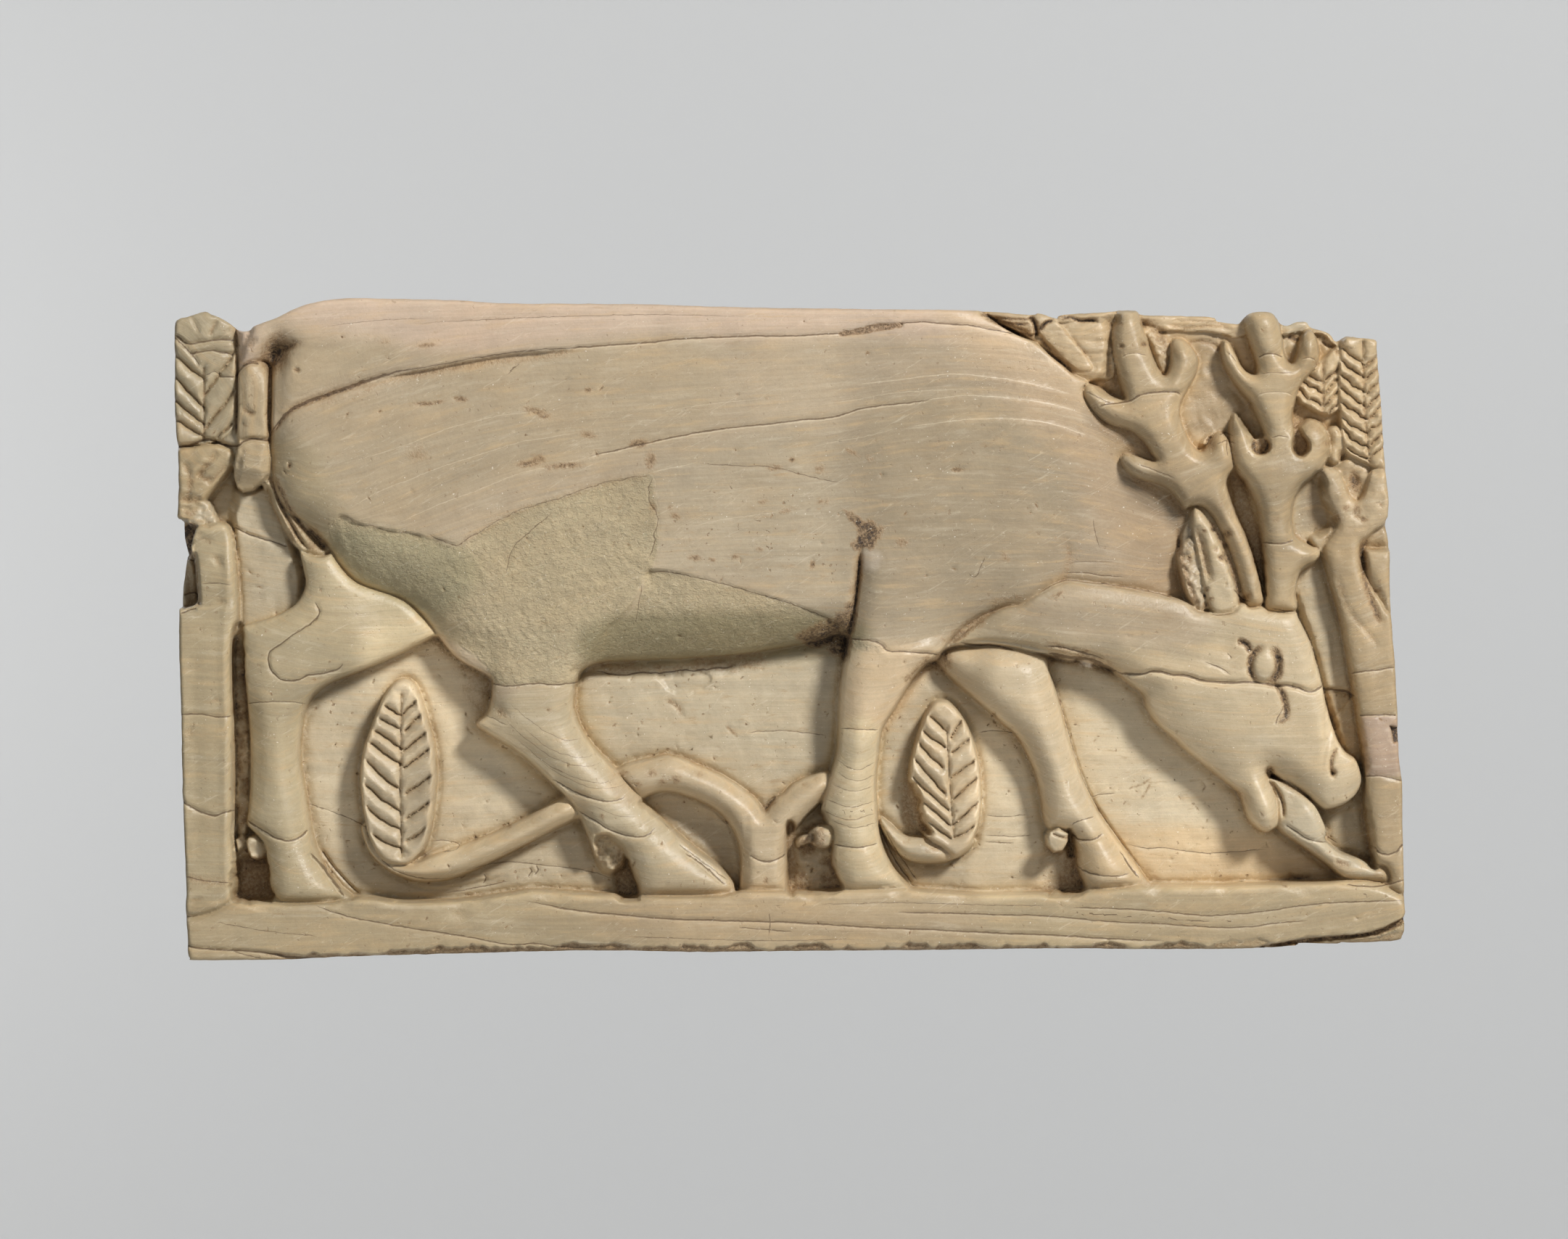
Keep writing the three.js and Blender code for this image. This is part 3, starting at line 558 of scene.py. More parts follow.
# ---------------------------------------------------------------- body
BODY = [
    (322, 395), (700, 392), (1000, 395), (1310, 398), (1342, 420), (1362, 436), (1382, 450), (1402, 461), (1429, 473),
    (1450, 491), (1466, 504), (1481, 517), (1500, 527), (1528, 542), (1562, 578), (1594, 620), (1622, 652), (1640, 680),
    (1645, 700), (1638, 716), (1631, 732), (1629, 752), (1633, 776), (1641, 803), (1653, 828), (1668, 850),
    (1640, 872), (1560, 870), (1480, 850), (1440, 842), (1402, 838), (1380, 840), (1357, 848), (1325, 869), (1303, 892),
    (1285, 912), (1230, 900), (1161, 876), (1129, 883), (1075, 892), (1021, 901), (950, 906), (879, 909), (830, 912),
    (804, 922), (794, 938), (791, 956), (790, 974), (797, 997), (808, 1017), (823, 1036), (841, 1054), (856, 1070),
    (871, 1085), (887, 1104), (906, 1124), (926, 1142), (946, 1160), (966, 1176), (986, 1191), (1001, 1205), (1013, 1222),
    (1008, 1240), (950, 1244), (884, 1242), (876, 1220), (868, 1198), (858, 1176), (842, 1168), (826, 1182), (819, 1180),
    (812, 1160), (804, 1140), (795, 1120), (780, 1100), (760, 1080), (740, 1060), (720, 1042), (700, 1028), (680, 1016),
    (660, 1003), (657, 996), (670, 984), (676, 968), (678, 950), (677, 936), (660, 925), (640, 914), (624, 903),
    (612, 889), (598, 871), (580, 850), (565, 835), (545, 823), (500, 808), (480, 795), (463, 774), (452, 755),
    (440, 741), (414, 718), (396, 706), (384, 689), (376, 665), (372, 640), (371, 610), (373, 580), (375, 545),
    (374, 512), (368, 500), (356, 499), (342, 506), (331, 514), (327, 500), (327, 470), (322, 440)]


def body_top(x, y, s):
    z = 10.0 - 0.75 * np.clip((y - 560) / 330, 0, 1) ** 2 - 0.5 * np.clip((x - 1120) / 420, 0, 1) ** 2
    z += 0.55 * ramp(y, 900, 960)
    # the belly draws in, the near hind leg steps back from the haunch
    z -= 0.4 * ramp(y, 830, 915) * ramp(x, 830, 930) * (1 - ramp(x, 1100, 1180))
    z -= 0.45 * ramp(y, 925, 990) * (x < 1100)
    z -= 0.15 * ramp(y, 1010, 1200) * (x < 1100)
    # the neck falls away towards the antlers and the head
    z -= 1.95 * ramp(x, 1400, 1580) * ramp(y, 440, 590)
    z -= 0.3 * ramp(x, 1340, 1440) * (1 - ramp(y, 470, 540))
    z -= 0.25 * ramp(x, 1560, 1640)
    z -= 0.25 * ramp(x, 1380, 1480) * ramp(y, 600, 720)
    z -= 0.25 * (1 - ramp(x, 325, 420)) * (1 - ramp(y, 560, 640))
    z += 0.05 * noise(x, y, 170.0, 21, 2)
    return z


def body_round(x, y):
    r = 30 + 0.0 * x
    r += 34 * ramp(y, 560, 640) * (1 - ramp(y, 700, 790)) * (1 - ramp(x, 480, 560))      # rump
    r += 48 * ramp(y, 690, 790) * (1 - ramp(y, 880, 935)) * (1 - ramp(x, 640, 760))      # haunch
    r += 52 * ramp(y, 790, 850) * (1 - ramp(y, 905, 925)) * ramp(x, 790, 850) * (1 - ramp(x, 1120, 1240))   # belly
    r += 34 * ramp(x, 1240, 1330) * ramp(y, 740, 800)                                     # breast
    r += 14 * ramp(y, 940, 1000)
    r -= 20 * ramp(x, 1320, 1380) * (1 - ramp(y, 740, 800))                               # under the antler
    return r


def body_drop(x, y):
    d = 1.9 + 0.0 * x
    d += 0.9 * ramp(y, 560, 640) * (1 - ramp(y, 700, 790)) * (1 - ramp(x, 480, 560))
    d += 1.5 * ramp(y, 690, 790) * (1 - ramp(y, 880, 935)) * (1 - ramp(x, 640, 760))
    d += 1.3 * ramp(y, 790, 850) * (1 - ramp(y, 905, 925)) * ramp(x, 790, 850) * (1 - ramp(x, 1120, 1240))
    d -= 1.4 * ramp(x, 1320, 1400) * (1 - ramp(y, 740, 800))
    d += 0.7 * ramp(y, 940, 1000)
    return d


form(BODY, body_top, body_round, body_drop, wall=5, soft=7, groove=(6, 0.35), reach=96, power=1.9)

# far thigh, seen as two thin folds below the rump
stain([(400, 700), (424, 728), (446, 750), (458, 766), (436, 766), (416, 748), (402, 724)], 0.5, 4, 5, 134, 9, 0.5)

# near shoulder and foreleg
SHOULDER = [
    (1186, 757), (1190, 742), (1230, 720), (1300, 720), (1360, 760), (1372, 810), (1356, 848), (1325, 869), (1304, 892),
    (1292, 905), (1276, 917), (1262, 931), (1252, 946), (1243, 961), (1233, 978), (1222, 995), (1215, 1010), (1212, 1035),
    (1209, 1062), (1208, 1090), (1210, 1118), (1212, 1142), (1219, 1170), (1232, 1196), (1246, 1214), (1258, 1232),
    (1210, 1238), (1162, 1236), (1160, 1222), (1152, 1205), (1146, 1190), (1148, 1172), (1147, 1158), (1142, 1144),
    (1132, 1128), (1134, 1106), (1140, 1086), (1146, 1066), (1153, 1042), (1156, 1018), (1157, 990), (1158, 965),
    (1160, 940), (1164, 915), (1168, 896), (1172, 870), (1177, 845), (1180, 820), (1183, 790)]


def shoulder_top(x, y, s):
    z = 10.15 - 0.0 * x
    z -= 0.65 * ramp(y, 890, 1010)
    z += 0.1 * np.exp(-0.5 * ((y - 1150) / 40) ** 2)
    return z


def shoulder_keep(x, y):
    # the form rises out of the side of the body: sharp at the left, lost at the top and right
    a = ramp(y, 735, 800) * ramp(1320 + 0 * x - x, -30, 60)
    low = ramp(y, 868, 900)
    return np.maximum(a * ramp(1300 - x, -20, 90), low)


form(SHOULDER, shoulder_top, 34, 2.2, wall=5, soft=6, groove=(5, 0.3), keep=shoulder_keep, power=1.8)

# ---------------------------------------------------------------- head and neck
HEAD = [
    (1310, 890), (1322, 880), (1340, 864), (1360, 850), (1384, 838), (1408, 834), (1421, 826), (1436, 816), (1450, 807), (1471, 802), (1500, 804), (1521, 807), (1557, 813),
    (1593, 819), (1629, 827), (1664, 842), (1690, 838), (1715, 832), (1750, 838), (1785, 842), (1791, 852), (1799, 868),
    (1808, 888), (1816, 915), (1823, 941), (1830, 972), (1838, 1000), (1846, 1022), (1856, 1037), (1869, 1046),
    (1876, 1060), (1879, 1075), (1875, 1090), (1864, 1103), (1848, 1112), (1828, 1116), (1813, 1108), (1800, 1096),
    (1784, 1086), (1768, 1077), (1755, 1069), (1757, 1085), (1764, 1101), (1769, 1118), (1768, 1130), (1762, 1140),
    (1748, 1147), (1734, 1141), (1724, 1130), (1718, 1116), (1713, 1099), (1705, 1088), (1687, 1074), (1666, 1057),
    (1643, 1039), (1619, 1017), (1597, 997), (1583, 975), (1578, 957), (1562, 944), (1546, 931), (1530, 921),
    (1500, 912), (1470, 904), (1445, 897), (1420, 890), (1392, 886), (1360, 884), (1330, 887)]


HEAD_W = window(spline(HEAD, True, 3.0), max(6 * 3, 14))


def head_top(x, y, s):
    z = 9.75 - 0.0 * x
    z -= 1.15 * (1 - ramp(x, 1330, 1480))
    # the muzzle narrows and falls a little, the brow stands up
    z -= 0.55 * ramp(y, 950, 1100)
    z += 0.2 * np.exp(-0.5 * (((x - 1740) / 60) ** 2 + ((y - 880) / 45) ** 2))
    # hollow between jaw and cheek, a long soft valley down to the mouth
    for line, depth, width in (([(1600, 965), (1660, 1000), (1715, 1040), (1748, 1066)], 0.2, 22),
                               ([(1415, 858), (1480, 868), (1560, 880), (1640, 890), (1690, 884)], 0.3, 15)):
        d, t, _ = line_field(spline(line), HEAD_W, 90)
        z -= depth * np.exp(-0.5 * (d / width) ** 2)
    z += 0.05 * noise(x, y, 90.0, 22, 2)
    return z


def head_round(x, y):
    # broad along the jaw, tight along the crest and the forehead
    jaw = ramp(y - 0.62 * (x - 1500), 815, 900) * ramp(x, 1450, 1540)
    return 20 + 30 * jaw * (1 - 0.84 * ramp(y, 1058, 1090) * (x < 1775)) * (1 - 0.55 * ramp(x, 1775, 1830))


def head_drop(x, y):
    jaw = ramp(y - 0.62 * (x - 1500), 815, 900) * ramp(x, 1450, 1540)
    return 1.2 + 1.0 * jaw * (1 - 0.5 * ramp(y, 1058, 1090) * (x < 1775)) * (1 - 0.3 * ramp(x, 1775, 1830))


form(HEAD, head_top, head_round, head_drop, wall=5, soft=6, groove=(6, 0.3), reach=100, power=1.65)

# base strip
STRIP = [
    (225, 1236), (257, 1236), (318, 1240), (360, 1243), (400, 1246), (450, 1245), (480, 1240), (505, 1237), (560, 1243),
    (640, 1240), (700, 1232), (740, 1227), (800, 1231), (860, 1234), (900, 1236), (960, 1236), (1000, 1234), (1020, 1229),
    (1060, 1229), (1100, 1229), (1154, 1227), (1200, 1226), (1243, 1225), (1300, 1229), (1350, 1232), (1421, 1231),
    (1470, 1229), (1511, 1227), (1550, 1224), (1575, 1221), (1612, 1221), (1687, 1220), (1754, 1218), (1822, 1216),
    (1856, 1212), (1893, 1209), (1960, 1206), (1965, 1340), (1500, 1345), (900, 1345), (220, 1345)]
form(STRIP, lambda x, y, s: 9.05 + 0.12 * ramp(s, 0, 30) + 0.05 * noise(x, y, 120.0, 31, 2), 7, 0.6, wall=5, groove=(5, 0.35))

# ---------------------------------------------------------------- left side
COLUMN = [
    (262, 752), (266, 735), (270, 727), (280, 722), (300, 720), (313, 724), (319, 738), (322, 760), (325, 790), (327, 820),
    (328, 850), (323, 868), (319, 900), (320, 960), (321, 1020), (321, 1080), (320, 1150), (320, 1240), (230, 1242),
    (225, 1000), (228, 850), (255, 838), (270, 830), (269, 805), (267, 780)]
form(COLUMN, lambda x, y, s: 9.1 - 0.7 * (1 - ramp(y, 720, 800)) + 0.04 * noise(x, y, 60.0, 33, 2), 8, 0.8, wall=4.5, soft=2.5, groove=(4, 0.4))
CORNER_LEAF = [
    (283, 415), (300, 430), (314, 440), (324, 452), (328, 480), (327, 520), (326, 560), (322, 590), (308, 606),
    (285, 613), (262, 616), (240, 618), (225, 600), (222, 520), (225, 440), (250, 420)]
CORNER_VEINS = [
    [(240, 488), (259, 505), (280, 521)], [(238, 516), (260, 540), (282, 561)], [(238, 549), (260, 568), (281, 584)],
    [(238, 575), (260, 590), (281, 601)], [(326, 484), (304, 514), (283, 544)], [(328, 534), (306, 562), (285, 590)],
    [(328, 576), (314, 590), (300, 604)]]
feathered(CORNER_LEAF, CORNER_VEINS, [(281, 508), (281, 550), (281, 606)], 8.3, rnd=7, drop=0.7, puff=0.36, puff_width=15, vein_depth=0.26,
          vein_width=1.3, saw=0.16, seed=44, stray=1.8)
KNOB = [(232, 618), (262, 615), (290, 611), (306, 612), (320, 620), (323, 634), (315, 648), (303, 662), (291, 677),
        (280, 692), (270, 705), (262, 716), (245, 718), (228, 714), (228, 650)]
form(KNOB, lambda x, y, s: 8.2 - 0.9 * ramp(y, 625, 712) + 0.16 * noise(x + y, 0.6 * (x - y), (15.0, 26.0), 66, 3), 8, 0.9, wall=5, soft=1.5,
     groove=(4, 0.35))
TAIL = [(329, 510), (338, 503), (350, 499), (362, 499), (368, 508), (369, 540), (369, 580), (370, 605), (373, 632),
        (372, 651), (360, 665), (348, 675), (334, 678), (325, 671), (321, 656), (324, 634), (328, 606), (328, 560), (328, 530)]
form(TAIL[:8] + [(350, 609), (329, 609)] + TAIL[-2:], lambda x, y, s: 9.2 - 0.35 * ramp(343 - x, 0, 10) + 0.08 * noise(x, y, 12.0, 67, 3), 5, 0.5,
     wall=4, soft=1.5, groove=(3, 0.05))


def tail_tip(x, y, s):
    low = np.minimum(9.35 - 0.030 * np.clip(y - 644 - 0.25 * (x - 345), 0, 60), 9.35 - 0.045 * np.clip(338 - x + 0.35 * (y - 640), 0, 60))
    low = np.minimum(low, 9.35 - 0.05 * np.clip(x - 360 + 0.2 * (y - 640), 0, 60))
    return low + 0.05 * noise(x, y, 9.0, 77, 2)


form([(330, 608), (350, 605), (370, 607)] + TAIL[8:16], tail_tip, 2.5, 0.25, wall=3.5, groove=(3, 0.1), smoothed=False)

# ---------------------------------------------------------------- plants on the right
TRUNK = [
    (1815, 735), (1822, 728), (1840, 720), (1860, 724), (1885, 722), (1915, 722), (1950, 735), (1955, 950), (1960, 1215),
    (1900, 1215), (1897, 1198), (1893, 1170), (1888, 1140), (1884, 1110), (1882, 1070), (1879, 1035), (1874, 1000),
    (1868, 960), (1860, 910), (1850, 856), (1842, 826), (1834, 800), (1826, 772), (1820, 752)]
form(TRUNK, lambda x, y, s: 8.9 - 0.3 * (1 - ramp(y, 730, 820)) + 0.04 * noise(x, y, 60.0, 35, 2), 12, 1.2, wall=5, soft=3, groove=(5, 0.45))
SIDE = [(1878, 735), (1890, 724), (1912, 722), (1950, 735), (1950, 850), (1916, 845), (1905, 830), (1893, 812), (1884, 792), (1879, 768)]
form(SIDE, lambda x, y, s: 8.9 + 0.12 * noise(x, y, 14.0, 78, 3), 13, 1.1, wall=6, soft=3, groove=(3, 0.2))
form([(1814, 650), (1850, 590), (1930, 600), (1938, 745), (1840, 748), (1840, 720), (1822, 700)],
     lambda x, y, s: 7.3 + 0.3 * noise(x, y, 16.0, 68, 3), 14, 1.0, wall=9, soft=3, groove=(5, 0.2))
FORK = [(1815, 652), (1828, 642), (1845, 648), (1854, 664), (1862, 684), (1872, 690), (1880, 680), (1886, 660), (1894, 644), (1925, 634),
        (1938, 650), (1938, 700), (1914, 722), (1893, 735), (1882, 752), (1880, 790), (1886, 840), (1850, 846), (1838, 800), (1828, 775),
        (1826, 752), (1836, 735), (1842, 722), (1832, 704), (1821, 680)]


def fork_top(x, y, s):
    z = 8.75 + 0.2 * noise(x, y, 17.0, 69, 3)
    z += 0.2 * np.exp(-0.5 * (((x - 1902) / 22) ** 2 + ((y - 690) / 16) ** 2))
    z -= 0.3 * np.exp(-0.5 * (((x - 1858) / 16) ** 2 + ((y - 708) / 9) ** 2))
    return z


form([(1806, 742), (1818, 730), (1824, 704), (1838, 700), (1852, 714), (1850, 744), (1836, 760), (1818, 762)],
     lambda x, y, s: 7.9 + 0.25 * noise(x, y, 9.0, 77, 3), 8, 0.8, wall=6, soft=2, groove=(3, 0.05))
form(FORK, fork_top, 15, 1.5, wall=7, soft=4, groove=(5, 0.2), keep=lambda x, y: 1 - ramp(y, 752, 812))

FROND_A = [(1850, 470), (1866, 462), (1895, 462), (1925, 465), (1930, 560), (1930, 640), (1900, 646), (1886, 640),
           (1870, 632), (1856, 622), (1850, 600), (1847, 560), (1846, 520)]
FROND_B = [(1796, 512), (1806, 500), (1826, 492), (1838, 480), (1848, 478), (1852, 500), (1850, 540), (1848, 562), (1834, 572),
           (1815, 568), (1800, 560), (1789, 552), (1786, 535)]
FROND_C = [(1830, 592), (1845, 586), (1855, 600), (1858, 618), (1850, 634), (1838, 640), (1828, 628), (1826, 608)]
veins_a = []
for k in range(8):
    y0 = 500 + 19.0 * k
    xm = 1880 + 1.1 * k
    veins_a.append([(1849, y0 - 24), (1864, y0 - 11), (xm, y0 + 1)])
    veins_a.append([(xm, y0 + 5), (1893, y0 - 5), (1912, y0 - 22)])
veins_b = []
for k in range(5):
    y0 = 512 + 16.5 * k
    veins_b.append([(1790, y0 - 10), (1806, y0 + 4), (1824, y0 + 14)])
    veins_b.append([(1824, y0 + 14), (1837, y0 + 2), (1852, y0 - 12)])
form(FROND_C, 7.9, 9, 1.0, wall=5, groove=(5, 0.4))
feathered(FROND_B, veins_b, [(1824, 500), (1824, 570)], 8.0, rnd=8, drop=0.8, puff=0.42, puff_width=11, vein_depth=0.2,
          vein_width=1.2, wall=7, seed=46, stray=4.2, saw=0.22, groove=(4, 0.2))
feathered(FROND_A, veins_a, [(1879, 470), (1881, 560), (1889, 640)], 8.3, rnd=8, drop=0.7, puff=0.42, puff_width=12, vein_depth=0.2,
          vein_width=1.2, wall=7, seed=48, stray=4.0, saw=0.26, groove=(4, 0.2))

# the shoot in the stag's mouth
SHOOT = [
    (1750, 1074), (1768, 1076), (1784, 1084), (1800, 1096), (1814, 1110), (1824, 1128), (1831, 1148), (1829, 1158), (1848, 1174),
    (1870, 1181), (1892, 1190), (1912, 1196), (1915, 1216), (1880, 1214), (1853, 1211), (1832, 1193), (1810, 1176), (1788, 1160),
    (1766, 1144), (1762, 1130), (1760, 1100)]
form(SHOOT, plane((1765, 1100, 8.2), (1800, 1128, 9.0), (1836, 1176, 8.5), (1890, 1200, 8.4)), 15, 1.6, wall=5, soft=3.5, groove=(5, 0.45))

# ---------------------------------------------------------------- antlers and ear
EAR = [(1646, 699), (1659, 707), (1673, 732), (1685, 758), (1696, 788), (1708, 826), (1700, 844), (1674, 846), (1662, 822),
       (1656, 790), (1649, 757), (1642, 724)]
form([(1624, 764), (1631, 748), (1643, 740), (1652, 750), (1657, 766), (1662, 782), (1670, 815), (1670, 838), (1652, 843), (1638, 826), (1627, 788)],
     lambda x, y, s: 8.15 + 0.5 * noise(x, y, 8.0, 74, 3) + 0.2 * ramp(y, 760, 840), 8, 0.8, wall=8, soft=1, groove=(4, 0.3))
form(EAR, lambda x, y, s: 9.1 - 0.4 * (1 - ramp(y, 700, 760)) + 0.1 * noise(x, y, 11.0, 75, 3), 10, 0.9, wall=7, soft=2, groove=(2.5, 0.05))
furrow([(1649, 724), (1654, 744), (1660, 768), (1665, 792), (1668, 806)], 0.75, 4.4, 0.2, 0.35, 1.2, 76)
LEFT_ANTLER = [
    (1543, 428), (1567, 428), (1573, 438), (1578, 450), (1582, 465), (1586, 480), (1592, 496), (1598, 508), (1605, 517),
    (1610, 511), (1613, 500), (1614, 487), (1614, 475), (1617, 468), (1625, 466), (1634, 469), (1643, 478), (1650, 488),
    (1653, 499), (1651, 511), (1646, 523), (1639, 535), (1633, 546), (1628, 558), (1627, 570), (1629, 582), (1634, 594),
    (1640, 607), (1648, 617), (1657, 622), (1664, 614), (1670, 604), (1677, 597), (1685, 596), (1693, 603), (1700, 613),
    (1705, 624), (1706, 636), (1702, 647), (1695, 656), (1692, 667), (1695, 682), (1701, 699), (1710, 718), (1720, 738),
    (1729, 760), (1736, 783), (1741, 807), (1743, 832), (1722, 838), (1714, 820), (1708, 798), (1701, 774), (1692, 751),
    (1682, 730), (1671, 711), (1659, 700), (1645, 698), (1634, 702), (1626, 692), (1614, 677), (1597, 667), (1574, 662),
    (1559, 655), (1550, 646), (1545, 635), (1547, 627), (1557, 625), (1570, 629), (1583, 633), (1592, 634), (1586, 624),
    (1579, 612), (1568, 600), (1554, 592), (1539, 588), (1524, 582), (1511, 572), (1501, 560), (1494, 547), (1493, 537),
    (1498, 530), (1507, 530), (1517, 537), (1528, 543), (1539, 547), (1550, 549), (1547, 535), (1541, 515), (1536, 495),
    (1533, 475), (1533, 455), (1537, 440)]


def antler_top(x, y, s):
    z = 9.45 - 0.0 * x
    z -= 0.35 * ramp(550 - y, 0, 120)
    z += 0.25 * np.exp(-0.5 * (((x - 1600) / 40) ** 2 + ((y - 600) / 45) ** 2))
    z -= 0.3 * ramp(y, 720, 830)
    return z


form(LEFT_ANTLER, antler_top, 20, 2.3, wall=5, soft=4, groove=(4, 0.2), power=2.0)
RIGHT_ANTLER = [
    (1720, 428), (1735, 426), (1752, 428), (1762, 440), (1766, 453), (1769, 468), (1771, 484), (1776, 497), (1783, 500),
    (1788, 490), (1791, 478), (1794, 465), (1799, 457), (1806, 454), (1813, 460), (1818, 474), (1820, 490), (1816, 503),
    (1808, 514), (1799, 524), (1792, 535), (1788, 548), (1785, 562), (1783, 578), (1786, 590), (1794, 584), (1805, 577),
    (1818, 580), (1828, 589), (1833, 602), (1835, 616), (1831, 633), (1823, 647), (1810, 659), (1797, 669), (1788, 683),
    (1783, 701), (1782, 720), (1786, 737), (1796, 746), (1809, 752), (1819, 758), (1821, 766), (1813, 776), (1801, 783),
    (1793, 791), (1789, 804), (1787, 820), (1787, 842), (1747, 842), (1745, 816), (1743, 790), (1741, 764), (1740, 740),
    (1738, 716), (1734, 697), (1727, 680), (1717, 665), (1708, 653), (1701, 640), (1697, 622), (1695, 602), (1697, 582),
    (1702, 570), (1709, 568), (1716, 577), (1724, 592), (1730, 604), (1738, 606), (1743, 598), (1738, 584), (1731, 568),
    (1724, 553), (1713, 540), (1702, 526), (1692, 510), (1686, 494), (1684, 480), (1687, 470), (1694, 471), (1700, 480),
    (1706, 492), (1712, 504), (1721, 513), (1731, 515), (1733, 504), (1729, 489), (1724, 474), (1719, 459), (1717, 444)]


def antler2_top(x, y, s):
    z = 9.55 - 0.0 * x
    z += 0.25 * np.exp(-0.5 * (((x - 1762) / 45) ** 2 + ((y - 650) / 30) ** 2))
    z += 0.15 * np.exp(-0.5 * (((x - 1742) / 20) ** 2 + ((y - 450) / 30) ** 2))
    z -= 0.3 * ramp(y, 760, 835)
    return z


form(RIGHT_ANTLER, antler2_top, 20, 2.2, wall=5, soft=4, groove=(4, 0.2), power=2.0)

# ---------------------------------------------------------------- belly behind the haunch
BELLY = [(893, 788), (921, 789), (950, 794), (1004, 807), (1060, 823), (1100, 836), (1145, 853), (1163, 872),
         (1150, 900), (1000, 930), (800, 930), (812, 910), (826, 890), (838, 866), (862, 846), (878, 826), (890, 806)]
w, m = patch(BELLY, 5.0)
H[w] -= m * (0.16 + 0.34 * (1 - ramp(X[w], 860, 990)))

# ---------------------------------------------------------------- deep recesses, darkened in the colour for dirt and painted shade
pit([(1524, 440), (1541, 438), (1535, 455), (1531, 480), (1533, 500), (1541, 522), (1548, 543), (1538, 546), (1522, 538),
     (1516, 528), (1522, 510), (1528, 480), (1528, 455)], 6.8, 8, 0.22, 3, 90)
# painted shadow of the antler tines on the neck below them
stain([(1500, 562), (1530, 584), (1555, 592), (1568, 602), (1584, 620), (1576, 626), (1552, 616), (1530, 602), (1508, 580)], 0.42, 5, 4, 91, 9, 0.4)
stain([(1560, 656), (1590, 668), (1608, 678), (1622, 690), (1634, 706), (1630, 722), (1618, 706), (1598, 690), (1572, 672)], 0.55, 5, 4, 92, 9, 0.4)


rubble([(1586, 462), (1594, 492), (1603, 514), (1608, 514), (1612, 500), (1613, 474), (1606, 460)], 7.2, 0.4, 10.0, 700, 4, 0.35)
rubble([(1574, 440), (1590, 452), (1606, 460), (1600, 470), (1584, 466), (1576, 452)], 6.9, 0.5, 8.0, 705, 4, 0.38)
pit([(1690, 528), (1706, 540), (1724, 558), (1732, 580), (1738, 602), (1724, 596), (1712, 582), (1700, 562)], 6.0, 6, 0.15, 3, 93)
rubble([(1640, 545), (1652, 520), (1672, 500), (1690, 520), (1712, 560), (1700, 570), (1684, 590), (1668, 602), (1655, 604), (1645, 590),
        (1636, 565)], 6.6, 0.2, 18.0, 710, 8, 0.1)
rubble([(1657, 612), (1664, 600), (1674, 595), (1670, 604), (1664, 614)], 7.3, 0.5, 7.0, 715, 3, 0.5)
dent(1688, 622, 14, 18, -0.3, 0, 1.2)
pit([(1697, 656), (1714, 660), (1724, 684), (1734, 712), (1740, 745), (1744, 780), (1744, 820), (1738, 800), (1728, 765),
     (1716, 735), (1704, 705)], 5.5, 4, 0.3, 2, 94)
pit([(1800, 672), (1822, 655), (1826, 690), (1840, 716), (1830, 730), (1815, 738), (1790, 740), (1786, 705)], 6.2, 8, 0.06, 3, 95)
pit([(1796, 790), (1812, 778), (1824, 782), (1834, 812), (1842, 842), (1850, 868), (1838, 872), (1810, 856), (1794, 840)], 6.1, 6, 0.1, 3, 96)
pit([(1842, 850), (1852, 880), (1862, 930), (1868, 965), (1878, 1020), (1884, 1060), (1876, 1040), (1862, 1036),
     (1850, 1010), (1840, 960), (1836, 900)], 5.9, 5, 0.1, 3, 97)
pit([(1882, 1100), (1890, 1150), (1896, 1196), (1880, 1184), (1862, 1178), (1846, 1166), (1834, 1148), (1836, 1124),
     (1856, 1116), (1872, 1104)], 4.8, 5, 0.1, 3, 98)
pit([(1784, 562), (1800, 560), (1796, 578), (1786, 590)], 6.4, 4, 0.2)
dent(1869, 664, 6, 12, 0.5, -10, 1.4, 0.7)
dent(1850, 628, 4, 6, 0.8, 0, 1.4, 0.5)
dent(1880, 770, 3.5, 16, 0.9, -12, 1.4, 0.5)
pit([(252, 724), (268, 722), (262, 750), (258, 768), (250, 768), (244, 740)], 3.6, 3, 0.7)
rubble([(322, 868), (334, 872), (338, 960), (342, 1040), (341, 1110), (336, 1150), (324, 1150), (322, 1040), (321, 940)], 5.2, 0.5, 13.0, 720,
       3, 0.4)
pit([(326, 1186), (350, 1182), (366, 1190), (370, 1222), (376, 1240), (328, 1240), (322, 1225)], 3.4, 5, 0.42, 4, 99)
rubble([(1104, 1148), (1118, 1132), (1134, 1120), (1142, 1140), (1146, 1180), (1152, 1205), (1158, 1226), (1098, 1226), (1096, 1180)],
       4.4, 0.35, 12.0, 725, 5, 0.42)
pit([(1474, 1146), (1482, 1160), (1486, 1190), (1494, 1228), (1462, 1230), (1466, 1195), (1470, 1182), (1472, 1168)], 4.2, 5, 0.4, 3, 100)
pit([(1440, 1172), (1466, 1176), (1472, 1200), (1470, 1228), (1440, 1226)], 4.2, 8, 0.2, 3, 101)
pit([(850, 1176), (864, 1186), (872, 1206), (880, 1236), (852, 1236), (846, 1208)], 3.9, 6, 0.45, 3, 102)
rubble([(822, 1156), (838, 1152), (850, 1162), (862, 1176), (856, 1196), (842, 1204), (828, 1196), (820, 1178)], 6.4, 0.5, 10.0, 730, 6, 0.25)
pit([(1085, 1140), (1096, 1138), (1098, 1160), (1098, 1224), (1086, 1224)], 4.1, 4, 0.3)
